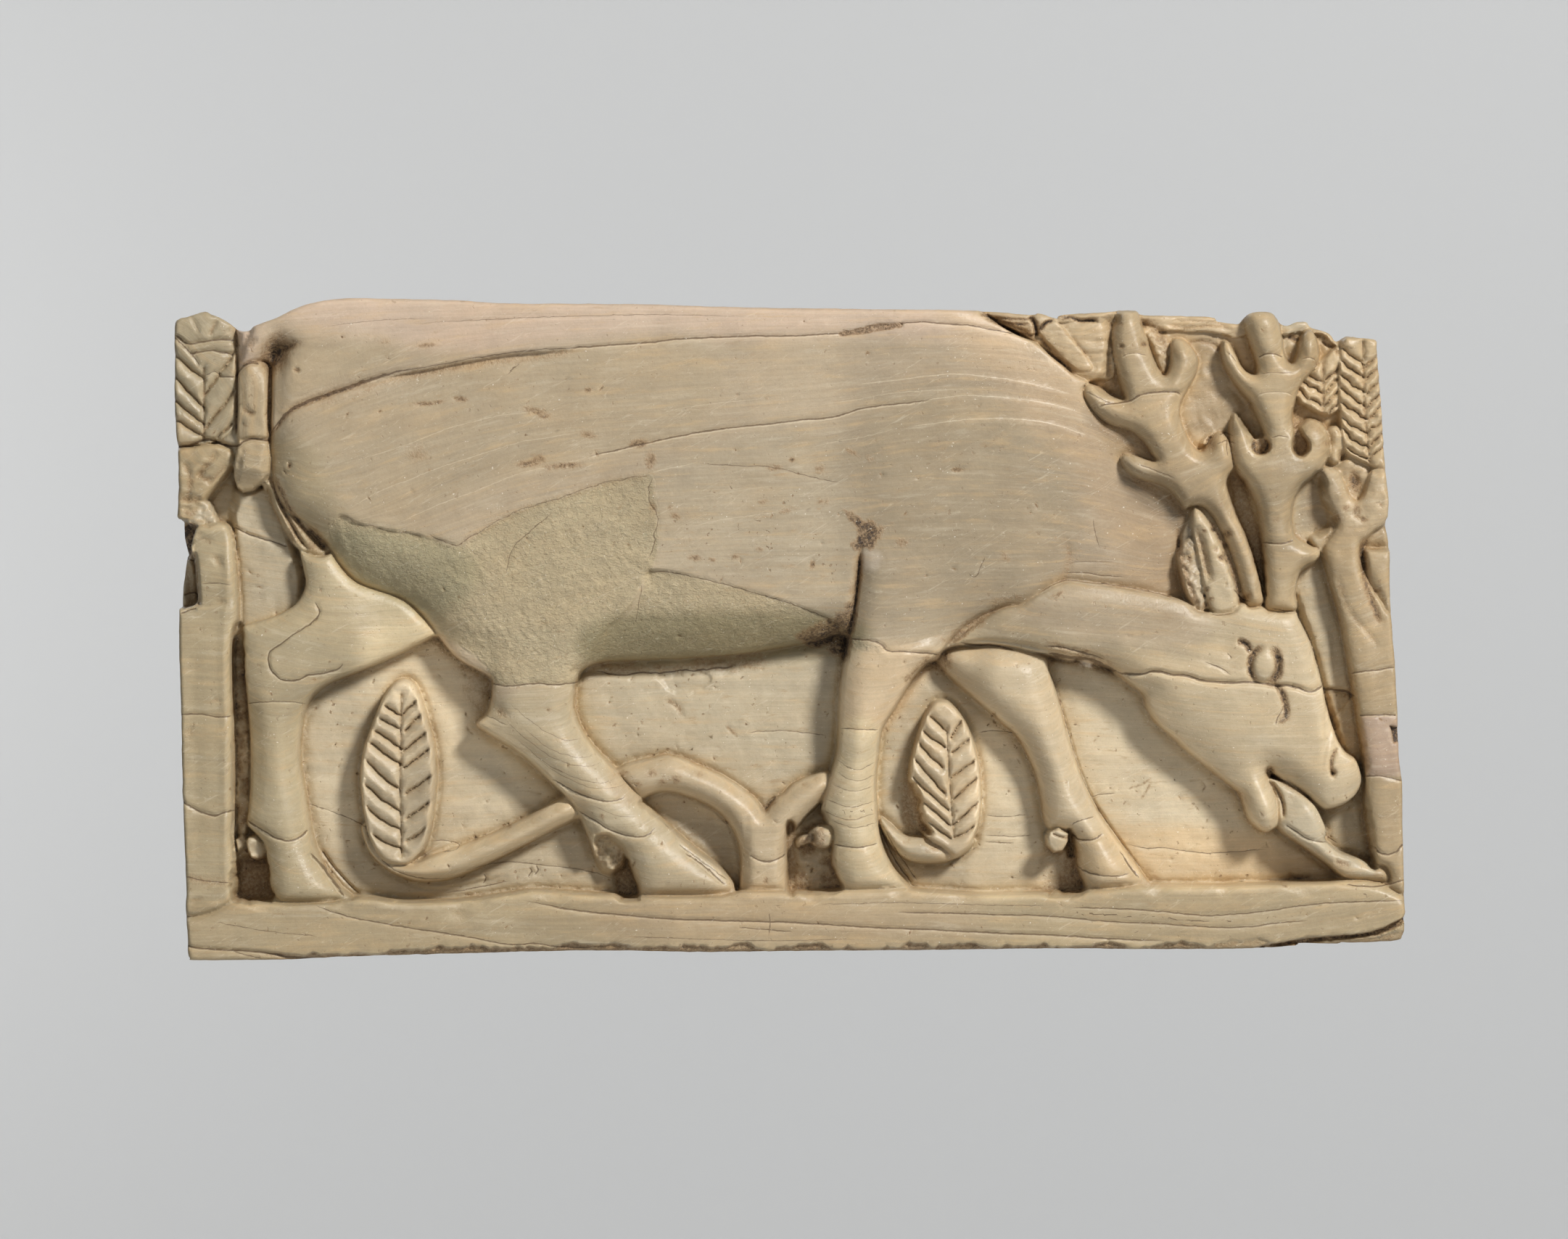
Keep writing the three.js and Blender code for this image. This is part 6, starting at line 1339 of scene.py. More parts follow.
TINT[:] = srgb(207, 196, 170)
tint(BODY, srgb(206, 190, 163), 1.0, 4)
# paler, pinker strip along the top edge: ivory tone and painted light on the surface facing up
tint([(372, 400), (1240, 400), (1420, 440), (1400, 468), (1160, 462), (960, 468), (740, 484), (600, 506), (480, 536),
      (400, 566), (372, 600)], srgb(229, 208, 187), 0.85, 18)
tint([(372, 600), (480, 540), (700, 490), (960, 470), (960, 600), (700, 660), (560, 720), (460, 740), (400, 700)],
     srgb(205, 189, 160), 1.0, 26)
tint([(360, 440), (440, 452), (540, 470), (540, 512), (460, 540), (400, 566), (366, 600)], srgb(216, 199, 170), 0.75, 22)
tint([(374, 476), (470, 470), (600, 482), (640, 494), (520, 520), (440, 545), (395, 585), (374, 604)], srgb(203, 187, 156), 0.75, 18)
# darker olive tint on the rump's left rounding: painted shade
tint([(360, 600), (430, 620), (470, 700), (520, 800), (420, 760), (380, 690)], srgb(186, 172, 138), 0.7, 24)
tint([(900, 650), (1140, 590), (1180, 720), (1170, 860), (1000, 800), (900, 780)], srgb(208, 194, 167), 1.0, 24)
tint([(1190, 560), (1420, 560), (1500, 640), (1440, 800), (1300, 880), (1190, 840)], srgb(201, 186, 157), 0.9, 40)
# paler tint on the neck towards the antlers: ivory tone and painted light
tint([(1300, 430), (1400, 460), (1500, 540), (1620, 690), (1640, 830), (1560, 800), (1470, 640), (1380, 540)],
     srgb(221, 197, 163), 0.8, 30)
tint([(1186, 900), (1290, 900), (1215, 1010), (1160, 1000)], srgb(212, 191, 158), 0.8, 14)
tint([(1150, 1005), (1212, 1005), (1215, 1160), (1256, 1226), (1160, 1226), (1146, 1160), (1130, 1110)], srgb(215, 200, 166), 0.9, 6)
tint(FAR_HIND, srgb(206, 192, 158), 0.9, 5)
tint([(660, 1000), (790, 945), (860, 1070), (1010, 1226), (884, 1232), (820, 1170)], srgb(216, 202, 170), 0.9, 8)
tint(FAR_FORE, srgb(219, 203, 172), 0.9, 5)
tint(HEAD, srgb(213, 197, 165), 0.9, 5)
tint([(1398, 846), (1500, 806), (1660, 845), (1640, 890), (1500, 880)], srgb(220, 202, 174), 0.6, 12)
tint(STRIP, srgb(208, 191, 156), 1.0, 3)
tint([(880, 1236), (1300, 1230), (1300, 1300), (880, 1300)], srgb(214, 192, 158), 0.6, 40)
tint(COLUMN, srgb(205, 190, 156), 1.0, 3)
tint(CORNER_LEAF, srgb(192, 179, 149), 0.9, 3)
tint(KNOB, srgb(192, 174, 138), 0.9, 3)
tint(TAIL, srgb(206, 188, 154), 0.9, 3)
tint(TRUNK, srgb(208, 187, 150), 0.9, 4)
tint([(1876, 987), (1928, 987), (1932, 1070), (1884, 1070)], srgb(210, 188, 166), 1.0, 2, False)
tint([(1510, 420), (1720, 430), (1720, 660), (1640, 700), (1540, 640), (1500, 540)], srgb(208, 184, 146), 0.7, 10)
tint(LEFT_ANTLER, srgb(218, 197, 160), 0.95, 4)
tint(RIGHT_ANTLER, srgb(218, 198, 161), 0.95, 4)
tint([(1640, 600), (1705, 600), (1705, 640), (1640, 640)], srgb(222, 199, 160), 0.7, 10)
tint(EAR, srgb(210, 194, 162), 0.9, 3)
tint([(1345, 425), (1525, 430), (1525, 520), (1480, 510), (1400, 462)], srgb(206, 186, 152), 0.9, 6)
tint([(1785, 465), (1912, 465), (1912, 640), (1785, 600)], srgb(206, 184, 146), 0.8, 6)
tint([(1815, 640), (1914, 640), (1914, 730), (1815, 730)], srgb(204, 184, 150), 0.8, 6)
tint(LEFT_LEAF, srgb(214, 199, 169), 0.95, 3)
tint(RIGHT_LEAF, srgb(210, 194, 164), 0.95, 3)
tint(ARCH, srgb(212, 193, 160), 0.8, 4)
tint(STEM_L, srgb(214, 196, 162), 0.8, 4)
tint([(1826, 952), (1868, 960), (1880, 1050), (1850, 1030), (1836, 1000)], srgb(186, 162, 122), 0.5, 5)
tint([(1460, 1160), (1660, 1140), (1840, 1190), (1840, 1216), (1560, 1220)], srgb(210, 186, 146), 0.6, 14)
for pts, strength in ((FILL1, 1.0), (FILL2, 1.0)):
    tint(pts, srgb(205, 191, 158), strength, 3.5)
# darker, greener filler at the haunch's lower left and the bottom of the belly: filler colour and painted shade
tint([(456, 736), (508, 728), (633, 756), (660, 800), (600, 850), (520, 820), (480, 790)], srgb(174, 168, 136), 0.7, 16)
tint([(840, 850), (1160, 850), (1160, 900), (830, 920)], srgb(156, 148, 114), 0.75, 14)
tint([(1187, 760), (1212, 762), (1210, 784), (1186, 782)], srgb(232, 218, 196), 0.9, 3)
tint([(1490, 909), (1508, 914), (1508, 921), (1492, 918)], srgb(240, 236, 226), 1.0, 1.5, False)
TINT *= (1.0 + 0.035 * noise(X, Y, (120.0, 60.0), 510, 3) + 0.02 * noise(X, Y, 22.0, 511, 2))[..., None]
warm = 0.5 + 0.5 * noise(X, Y, (70.0, 34.0), 512, 3)
TINT *= 1.0 + (warm ** 2)[..., None] * np.array([0.03, -0.015, -0.07])
# warm brown dirt and painted shade in the ground beside the forms; pale wear and painted highlight on the proud edges,
# added further down
TINT *= 1.0 - (SHADE_AND_DIRT_HALO * (0.47 + 0.42 * blot + 0.25 * noise(X, Y, 7.0, 514, 3)))[..., None] * np.array([0.055, 0.14, 0.29])
# lighter and darker areas, set to match area brightness: partly the ivory's own tone, partly painted light and shade
for pts, factor, edge in [
        ([(480, 500), (700, 480), (1040, 470), (1040, 620), (700, 680), (520, 700)], 0.92, 50),
        ([(900, 600), (1180, 600), (1190, 840), (960, 800), (880, 720)], 0.90, 40),
        # painted shade over the body's right part
        ([(1180, 480), (1420, 480), (1540, 600), (1620, 720), (1640, 830), (1440, 830), (1300, 880), (1190, 840)], 0.77, 50),
        ([(1440, 560), (1560, 640), (1640, 820), (1500, 810), (1440, 760)], 0.94, 24),
        ([(1330, 850), (1400, 836), (1660, 842), (1640, 900), (1440, 895)], 0.82, 14),
        ([(1540, 900), (1840, 940), (1860, 1050), (1760, 1070), (1600, 1000)], 0.97, 14),
        ([(257, 1240), (860, 1236), (860, 1320), (257, 1322)], 0.88, 12),
        ([(860, 1236), (1936, 1210), (1936, 1300), (860, 1316)], 0.94, 12),
        # painted light: the ground beside the legs and leaves lightened where cast shadows fall
        ([(520, 860), (650, 900), (660, 960), (790, 1100), (700, 1120), (600, 1180), (600, 1000), (500, 960)], 1.44, 20),
        ([(420, 1000), (500, 960), (495, 1150), (440, 1150)], 1.3, 12),
        ([(1460, 910), (1570, 950), (1720, 1110), (1760, 1210), (1600, 1216), (1500, 1090)], 1.26, 14),
        ([(1350, 1000), (1410, 1030), (1440, 1140), (1440, 1220), (1340, 1220)], 1.34, 12),
        ([(810, 940), (1150, 920), (1140, 1060), (1050, 1090), (900, 1030), (820, 1030)], 1.06, 12),
        ([(660, 1000), (790, 945), (860, 1070), (1010, 1226), (884, 1232), (820, 1170)], 0.90, 8),
        ([(1160, 900), (1300, 900), (1215, 1010), (1150, 1010)], 1.16, 10),
        ([(470, 770), (600, 855), (670, 900), (650, 930), (560, 870), (460, 800)], 1.16, 14),
        ([(300, 466), (330, 470), (330, 606), (240, 612), (240, 470)], 0.94, 8),
        # painted shadows below and beside the antlers
        ([(1550, 655), (1600, 680), (1632, 700), (1650, 730), (1640, 760), (1620, 730), (1580, 700), (1548, 672)], 0.60, 8),
        ([(1497, 560), (1530, 590), (1570, 606), (1588, 628), (1560, 622), (1530, 606), (1500, 585)], 0.68, 7),
        ([(1650, 470), (1680, 466), (1690, 500), (1720, 560), (1730, 600), (1700, 600), (1664, 596), (1640, 590), (1640, 560), (1655, 520)], 0.78, 10),
        ([(1738, 630), (1795, 630), (1800, 690), (1790, 760), (1742, 760), (1736, 690)], 0.84, 8),
        ([(1595, 640), (1650, 650), (1690, 690), (1680, 720), (1640, 700), (1600, 680)], 0.84, 8),
        # painted light: ground lightened in the shadow of the head and muzzle
        ([(1600, 1080), (1760, 1090), (1780, 1170), (1640, 1180)], 1.12, 20),
        ([(1815, 940), (1860, 940), (1870, 1100), (1830, 1080)], 1.14, 8),
        ([(400, 940), (470, 920), (500, 960), (480, 1060), (410, 1060)], 0.90, 14),
        ([(1480, 470), (1550, 560), (1560, 580), (1500, 560), (1470, 520)], 1.08, 14),
        ([(600, 1270), (1300, 1268), (1300, 1310), (600, 1316)], 0.94, 10),
        ([(1180, 1256), (1936, 1244), (1936, 1320), (1180, 1320)], 0.91, 14),
        ([(1600, 1250), (1936, 1240), (1936, 1320), (1600, 1320)], 0.93, 20),
        ([(1250, 430), (1400, 450), (1500, 540), (1520, 600), (1400, 600), (1260, 560)], 1.08, 26),
        ([(372, 470), (480, 470), (480, 600), (380, 600)], 0.94, 16),
        ([(330, 880), (490, 900), (450, 962), (330, 962)], 0.89, 12),
        ([(575, 1060), (680, 1060), (700, 1100), (640, 1150), (580, 1180), (560, 1120)], 0.80, 14),
        ([(1270, 1140), (1430, 1130), (1430, 1210), (1280, 1215)], 0.88, 14),
        ([(925, 1140), (1000, 1140), (1010, 1200), (985, 1195), (950, 1165)], 0.84, 8),
        ([(1795, 650), (1840, 660), (1850, 720), (1830, 740), (1800, 720)], 0.78, 8),
        ([(1800, 770), (1850, 770), (1850, 840), (1800, 835)], 0.89, 8),
        # painted shade under the neck
        ([(1340, 845), (1520, 850), (1520, 900), (1345, 895)], 0.92, 12),
        ([(1560, 880), (1820, 900), (1850, 1030), (1780, 1070), (1640, 1050), (1570, 960)], 1.05, 14),
        ([(1160, 900), (1260, 905), (1220, 1010), (1215, 1220), (1150, 1220), (1160, 1010)], 1.04, 8)]:
    shade(pts, factor, edge)
# whole parts made darker or lighter; on the antlers this is partly painted shade
for pts, factor in ((COLUMN, 0.90), (TRUNK, 0.82), (TAIL, 0.90), (LEFT_ANTLER, 0.77), (RIGHT_ANTLER, 0.80), (RIGHT_LEAF, 1.09), (LEFT_LEAF, 0.94), (FAR_HIND, 0.96)):
    shade(pts, factor, 3)
TINT *= np.array([0.72, 0.69, 0.665])
# pale wear and painted highlight on the proud edges
TINT += (PROUD * (0.5 + 0.5 * noise(X, Y, 18.0, 513, 2)) * (1 - FILL))[..., None] * np.array([0.10, 0.075, 0.04])
TINT = np.clip(TINT, 0.01, 0.95)
w, m = patch([(1040, 610), (1150, 620), (1190, 690), (1165, 800), (1080, 830), (960, 790), (930, 735)], 30)
SPECK[w] = np.maximum(SPECK[w], 0.85 * m)
w, m = patch([(1060, 1020), (1160, 1000), (1160, 1100), (1090, 1110)], 20)
SPECK[w] = np.maximum(SPECK[w], 0.6 * m)

# ---------------------------------------------------------------- growth layers: lines of equal value run along them
LAYER_LINES = [
    (412, [(300, 470), (400, 432), (700, 419), (1000, 420), (1350, 428), (1480, 455)]),
    (472, [(371, 606), (400, 567), (480, 535), (600, 505), (740, 483), (960, 467), (1160, 460), (1400, 461), (1500, 500)]),
    (530, [(440, 650), (560, 612), (760, 563), (960, 548), (1180, 531), (1332, 517), (1485, 546), (1560, 600)]),
    (575, [(478, 705), (604, 646), (755, 604), (960, 590), (1160, 572), (1300, 549), (1400, 550), (1500, 573), (1600, 640)]),
    (610, [(548, 723), (700, 657), (880, 620), (1100, 612), (1260, 588), (1397, 578), (1500, 601), (1620, 690)]),
    (700, [(560, 790), (800, 716), (1090, 703), (1300, 690), (1450, 700), (1600, 760)]),
    (800, [(560, 850), (900, 800), (1150, 800), (1400, 800), (1600, 815), (1800, 850)]),
    (900, [(640, 930), (900, 905), (1150, 895), (1300, 890), (1500, 900), (1680, 925), (1830, 945)]),
    (1000, [(660, 1000), (900, 1000), (1160, 1004), (1400, 1000), (1700, 1010), (1900, 1005)]),
    (1100, [(250, 1104), (500, 1120), (800, 1110), (1150, 1110), (1400, 1110), (1700, 1100), (1930, 1076)]),
    (1175, [(420, 1190), (700, 1190), (1000, 1190), (1400, 1160), (1620, 1171), (1780, 1170), (1930, 1165)]),
    (1262, [(257, 1255), (500, 1262), (900, 1258), (1240, 1257), (1440, 1262), (1680, 1272), (1800, 1262), (1936, 1241)]),
    (1290, [(257, 1299), (560, 1281), (800, 1290), (1140, 1286), (1520, 1293), (1700, 1300), (1930, 1268)]),
    (560, [(241, 480), (280, 560)]),
    (900, [(255, 900), (320, 900)]),
    (985, [(252, 988), (318, 987)])]
coarse = 6
cx_, cy_ = X[::coarse, ::coarse], Y[::coarse, ::coarse]
num, den = np.zeros(cx_.shape), np.zeros(cx_.shape)
for value, pts in LAYER_LINES:
    p = spline(pts, False, 24.0)
    for px_, py_ in p:
        wgt = 1.0 / ((cx_ - px_) ** 2 + ((cy_ - py_) * 1.6) ** 2 + 400.0) ** 1.6
        num += wgt * (value + (cy_ - py_) * 0.9)
        den += wgt
LAYER = num / den
ri = np.clip((np.arange(NR) / coarse), 0, LAYER.shape[0] - 1.001)
ci = np.clip((np.arange(NC) / coarse), 0, LAYER.shape[1] - 1.001)
r0_, c0_ = ri.astype(int), ci.astype(int)
fr, fc = (ri - r0_)[:, None], (ci - c0_)[None, :]
LAYER = ((LAYER[r0_][:, c0_] * (1 - fc) + LAYER[r0_][:, c0_ + 1] * fc) * (1 - fr)
         + (LAYER[r0_ + 1][:, c0_] * (1 - fc) + LAYER[r0_ + 1][:, c0_ + 1] * fc) * fr)
# deeper cuts meet deeper layers, so the lines bend around the rounded forms
LAYER = LAYER * STEP + (10.0 - blur(H, 4.0)) * 0.55


# ---------------------------------------------------------------- mesh
def build_mesh():
    S = EDGE_W
    centre = (S[:-1, :-1] + S[1:, :-1] + S[:-1, 1:] + S[1:, 1:]) / 4 > 0
    # no cells that touch only at a corner
    for _ in range(4):
        a = centre[:-1, :-1] & centre[1:, 1:] & ~centre[:-1, 1:] & ~centre[1:, :-1]
        b = ~centre[:-1, :-1] & ~centre[1:, 1:] & centre[:-1, 1:] & centre[1:, :-1]
        if not (a.any() or b.any()):
            break
        ii, jj = np.nonzero(a)
        centre[ii, jj + 1] = True
        ii, jj = np.nonzero(b)
        centre[ii, jj] = True
    used = np.zeros(S.shape, bool)
    used[:-1, :-1] |= centre
    used[1:, :-1] |= centre
    used[:-1, 1:] |= centre
    used[1:, 1:] |= centre
    full = np.zeros(S.shape, int)
    full[:-1, :-1] += centre
    full[1:, :-1] += centre
    full[:-1, 1:] += centre
    full[1:, 1:] += centre
    rim = used & (full < 4)
    gy, gx = np.gradient(S, PITCH)
    px, py = X.copy(), Y.copy()
    norm = np.maximum(np.hypot(gx, gy), 1e-6)
    px[rim] -= (S * gx / norm)[rim]
    py[rim] -= (S * gy / norm)[rim]
    index = -np.ones(S.shape, int)
    index[used] = np.arange(used.sum())
    ci, cj = np.nonzero(centre)
    a, b = index[ci, cj], index[ci, cj + 1]
    c, d = index[ci + 1, cj + 1], index[ci + 1, cj]
    quads = np.stack([a, d, c, b], 1)     # row grows downwards, so this faces the viewer
    vx, vy, vh = px[used], py[used], H[used]
    # directed edges on the border
    e = np.concatenate([quads[:, [0, 1]], quads[:, [1, 2]], quads[:, [2, 3]], quads[:, [3, 0]]])
    key = e[:, 0].astype(np.int64) * (1 << 32) + e[:, 1]
    rev = e[:, 1].astype(np.int64) * (1 << 32) + e[:, 0]
    border = e[~np.isin(key, rev)]
    nxt = dict(zip(border[:, 0].tolist(), border[:, 1].tolist()))
    loop = [border[0, 0]]
    while True:
        n = nxt[loop[-1]]
        if n == loop[0]:
            break
        loop.append(n)
    loop = np.array(loop)
    assert len(loop) == len(border)
    lx, ly, lh = vx[loop], vy[loop], vh[loop]
    tx, ty = np.roll(lx, -1) - np.roll(lx, 1), np.roll(ly, -1) - np.roll(ly, 1)
    tl = np.maximum(np.hypot(tx, ty), 1e-6)
    nx, ny = -ty / tl, tx / tl            # one of the two normals; the sign is set below
    mx, my = lx.mean(), ly.mean()
    if np.mean(nx * (lx - mx) + ny * (ly - my)) < 0:
        nx, ny = -nx, -ny
    vs = [np.stack([vx, vy, vh], 1)]
    base = len(vx)
    rings = [loop]
    arc = np.concatenate([[0], np.cumsum(np.hypot(np.diff(lx), np.diff(ly)))])
    levels = [(0.86, 0.5), (0.62, 1.0), (0.36, 1.0), (0.08, 1.0), (0.0, 4.0)]
    for k, (f, inset) in enumerate(levels):
        wob = inset + 1.1 * np.clip(0.5 + 0.5 * noise(arc, f * 160 + 0 * arc, (26.0, 40.0), 61, 3), 0, 1) * (0.6 if k < 4 else 0.2)
        vs.append(np.stack([lx - nx * wob, ly - ny * wob, lh * f if f > 0 else 0 * lh], 1))
        rings.append(base + len(loop) * k + np.arange(len(loop)))
    verts = np.concatenate(vs)
    sides = []
    for r0, r1 in zip(rings[:-1], rings[1:]):
        sides.append(np.stack([r0, r1, np.roll(r1, -1), np.roll(r0, -1)], 1))
    return verts, quads, np.concatenate(sides), rings[-1], loop


verts, quads, sides, back_ring, loop = build_mesh()


def to_world(v):
    return np.stack([(v[:, 0] - SHEET_X) * STEP, -v[:, 2], (SHEET_Y - v[:, 1]) * STEP], 1) * 0.001


def make_object(name, verts, faces4, ngon):
    me = bpy.data.meshes.new(name)
    co = to_world(verts)
    nq = len(faces4)
    me.vertices.add(len(co))
    me.vertices.foreach_set("co", co.astype(np.float32).ravel())
    me.loops.add(nq * 4 + len(ngon))
    me.loops.foreach_set("vertex_index", np.concatenate([faces4.ravel(), ngon]).astype(np.int32))
    me.polygons.add(nq + 1)
    me.polygons.foreach_set("loop_start", np.concatenate([np.arange(nq) * 4, [nq * 4]]).astype(np.int32))
    me.polygons.foreach_set("loop_total", np.concatenate([np.full(nq, 4), [len(ngon)]]).astype(np.int32))
    me.update(calc_edges=True)
    me.validate()
    ob = bpy.data.objects.new(name, me)
    bpy.context.scene.collection.objects.link(ob)
    return ob


plaque = make_object("plaque_relief", verts, np.concatenate([quads, sides]), back_ring[::-1])


def count_faces(me):
    return int(sum(len(p.vertices) - 2 for p in me.polygons)) if len(me.polygons) < 5000 else \
        int(len(me.loops) - 2 * len(me.polygons))


full = count_faces(plaque.data)
if full > FACES:
    mod = plaque.modifiers.new("fewer", "DECIMATE")
    mod.decimate_type = "COLLAPSE"
    mod.ratio = FACES / full
    mod.use_collapse_triangulate = True
    dg = bpy.context.evaluated_depsgraph_get()
    me = bpy.data.meshes.new_from_object(plaque.evaluated_get(dg))
    plaque.modifiers.clear()
    old = plaque.data
    plaque.data = me
    bpy.data.meshes.remove(old)
plaque.data.name = "plaque_relief"
print("faces", full, "->", count_faces(plaque.data))

me = plaque.data
n = len(me.vertices)
co = np.empty(n * 3, np.float32)
me.vertices.foreach_get("co", co)
co = co.reshape(-1, 3).astype(float) * 1000
vc, vr, vh = co[:, 0] / STEP + SHEET_X, SHEET_Y - co[:, 2] / STEP, -co[:, 1]


def sample(a):
    u = np.clip((vc - cols[0]) / PITCH, 0, NC - 1.001)
    v = np.clip((vr - rows[0]) / PITCH, 0, NR - 1.001)
    i, j = np.floor(v).astype(int), np.floor(u).astype(int)
    fu, fv = u - j, v - i
    return (a[i, j] * (1 - fu) + a[i, j + 1] * fu) * (1 - fv) + (a[i + 1, j] * (1 - fu) + a[i + 1, j + 1] * fu) * fv


def nearest(a):
    i = np.clip(np.round((vr - rows[0]) / PITCH).astype(int), 0, NR - 1)
    j = np.clip(np.round((vc - cols[0]) / PITCH).astype(int), 0, NC - 1)
    return a[i, j]


# the sawn edges and the back: plainer, a little darker, with old glue and dust
under = ramp(sample(H) - vh, 0.35, 1.4)
back = ramp(1.0 - vh, 0.0, 0.9)


def blend(front, away):
    return front * (1 - under) + away * under


def put(name, values):
    a = me.attributes.new(name, "FLOAT", "POINT")
    a.data.foreach_set("value", np.asarray(values, np.float32))


put("dirt_and_painted_shade", blend(sample(DIRT_AND_PAINTED_SHADE), 0.16 + 0.12 * noise(vc, vr + vh * 20, 60.0, 601, 3)))
put("filler", blend(sample(FILL), 0.0))
put("speck", blend(sample(SPECK), 0.5))
put("layer", blend(sample(LAYER), vr * STEP * 0.2) + under * 0)
for kind, layers in LINES.items():
    for k, (D, W) in enumerate(layers):
        put("%s%d_d" % (kind, k), nearest(D))
        put("%s%d_w" % (kind, k), np.where(under > 0.4, -3.0, nearest(W)))
rgb = np.stack([blend(sample(TINT[..., k]), v) for k, v in enumerate(srgb(196, 178, 144))], 1)
a = me.attributes.new("tint", "FLOAT_COLOR", "POINT")
a.data.foreach_set("color", np.concatenate([rgb, np.ones((n, 1))], 1).astype(np.float32).ravel())

normals = np.empty(len(me.polygons) * 3, np.float32)
me.polygons.foreach_get("normal", normals)
centres = np.empty(len(me.polygons) * 3, np.float32)
me.polygons.foreach_get("center", centres)
flat = (normals.reshape(-1, 3)[:, 1] > 0.999) & (centres.reshape(-1, 3)[:, 1] > -0.00002)
me.polygons.foreach_set("use_smooth", ~flat)
print("flat back faces", int(flat.sum()))

# ---------------------------------------------------------------- material
mat = bpy.data.materials.new("ivory")
mat.use_nodes = True
nt = mat.node_tree
bsdf = nt.nodes["Principled BSDF"]


def feed(socket, value):
    if isinstance(value, bpy.types.NodeSocket):
        nt.links.new(value, socket)
    elif isinstance(value, (tuple, list)) and len(value) == 3 and socket.type == "RGBA":
        socket.default_value = (*value, 1.0)
    else:
        socket.default_value = value


def math_(op, a, b=0.0, c=0.0, clamp=False):
    nd = nt.nodes.new("ShaderNodeMath")
    nd.operation = op
    nd.use_clamp = clamp
    for k, v in enumerate((a, b, c)):
        if k < len(nd.inputs):
            feed(nd.inputs[k], v)
    return nd.outputs[0]


def add(a, b):
    return math_("ADD", a, b)


def sub(a, b):
    return math_("SUBTRACT", a, b)


def mul(a, b):
    return math_("MULTIPLY", a, b)


def madd(a, b, c):
    return math_("MULTIPLY_ADD", a, b, c)


def sat(a):
    return math_("ADD", a, 0.0, clamp=True)


def attr(name):
    nd = nt.nodes.new("ShaderNodeAttribute")
    nd.attribute_type = "GEOMETRY"
    nd.attribute_name = name
    return nd


def vec(x, y, z):
    nd = nt.nodes.new("ShaderNodeCombineXYZ")
    for k, v in enumerate((x, y, z)):
        feed(nd.inputs[k], v)
    return nd.outputs[0]


def tex(vector, scale, detail=2.0, rough=0.5, warp=0.0):
    nd = nt.nodes.new("ShaderNodeTexNoise")
    feed(nd.inputs["Vector"], vector)
    nd.inputs["Scale"].default_value = scale
    nd.inputs["Detail"].default_value = detail
    nd.inputs["Roughness"].default_value = rough
    nd.inputs["Distortion"].default_value = warp
    return nd.outputs[0]


def mixc(f, a, b, kind="MIX"):
    nd = nt.nodes.new("ShaderNodeMix")
    nd.data_type = "RGBA"
    nd.blend_type = kind
    feed(nd.inputs[0], f)
    feed(nd.inputs[6], a)
    feed(nd.inputs[7], b)
    return nd.outputs[2]


def step_(v, lo, hi):
    """0 below lo, 1 above hi, smooth between."""
    nd = nt.nodes.new("ShaderNodeMapRange")
    nd.interpolation_type = "SMOOTHSTEP"
    feed(nd.inputs[0], v)
    nd.inputs[1].default_value = lo
    nd.inputs[2].default_value = hi
    return nd.outputs[0]


coord = nt.nodes.new("ShaderNodeTexCoord").outputs["Object"]
sx = nt.nodes.new("ShaderNodeSeparateXYZ")
feed(sx.inputs[0], coord)
mx, my, mz = (mul(sx.outputs[k], 1000.0) for k in range(3))      # millimetres
mm = vec(mx, my, mz)
dirt_and_painted_shade, fill, speck, layer = (attr(k).outputs["Fac"] for k in ("dirt_and_painted_shade", "filler", "speck", "layer"))
base = attr("tint").outputs["Color"]

# growth layers: long fine bands that follow the layers
bands = tex(vec(mul(mx, 0.055), mul(layer, 1.25), mul(my, 0.25)), 1.0, 4.0, 0.62)
fine = tex(vec(mul(mx, 0.16), mul(layer, 5.2), mul(my, 0.9)), 1.0, 3.0, 0.6)
mottle = tex(mm, 0.22, 3.0, 0.55)
blotch = tex(mm, 0.75, 3.0, 0.6)
grit = tex(mm, 3.2, 3.0, 0.6)
dust = tex(mm, 9.0, 2.0, 0.5)

tone = add(1.0, add(add(mul(sub(bands, 0.5), 0.36), mul(sub(fine, 0.5), 0.24)),
                    add(add(mul(sub(mottle, 0.5), 0.26), mul(sub(blotch, 0.5), 0.16)), mul(sub(grit, 0.5), 0.14))))
col = mixc(1.0, base, vec(tone, tone, tone), "MULTIPLY")
streak = tex(vec(mul(mx, 0.20), mul(layer, 1.5), mul(my, 0.5)), 1.0, 4.0, 0.62)
honey = mul(mul(step_(streak, 0.50, 0.74), 0.34), sub(1.0, fill))
col = mixc(honey, col, (0.60, 0.41, 0.21), "MIX")
milky = mul(mul(sub(1.0, step_(streak, 0.26, 0.47)), 0.20), sub(1.0, fill))
col = mixc(milky, col, (0.70, 0.62, 0.48), "MIX")

# filler: dull, granular
grains = tex(vec(mul(mx, 1.0), mul(my, 1.0), mul(mz, 1.6)), 2.6, 3.0, 0.7, 0.5)
ftone = add(1.0, mul(sub(grains, 0.5), 0.42))
col = mixc(fill, col, mixc(1.0, col, vec(ftone, ftone, ftone), "MULTIPLY"))
col = mixc(mul(fill, mul(step_(tex(mm, 1.5, 4.0, 0.65), 0.56, 0.72), 0.25)), col, (0.34, 0.33, 0.22))

# thin lines
wob = mul(sub(tex(mm, 1.9, 3.0, 0.6), 0.5), 2.0)
broken = tex(mm, 1.1, 3.0, 0.6)


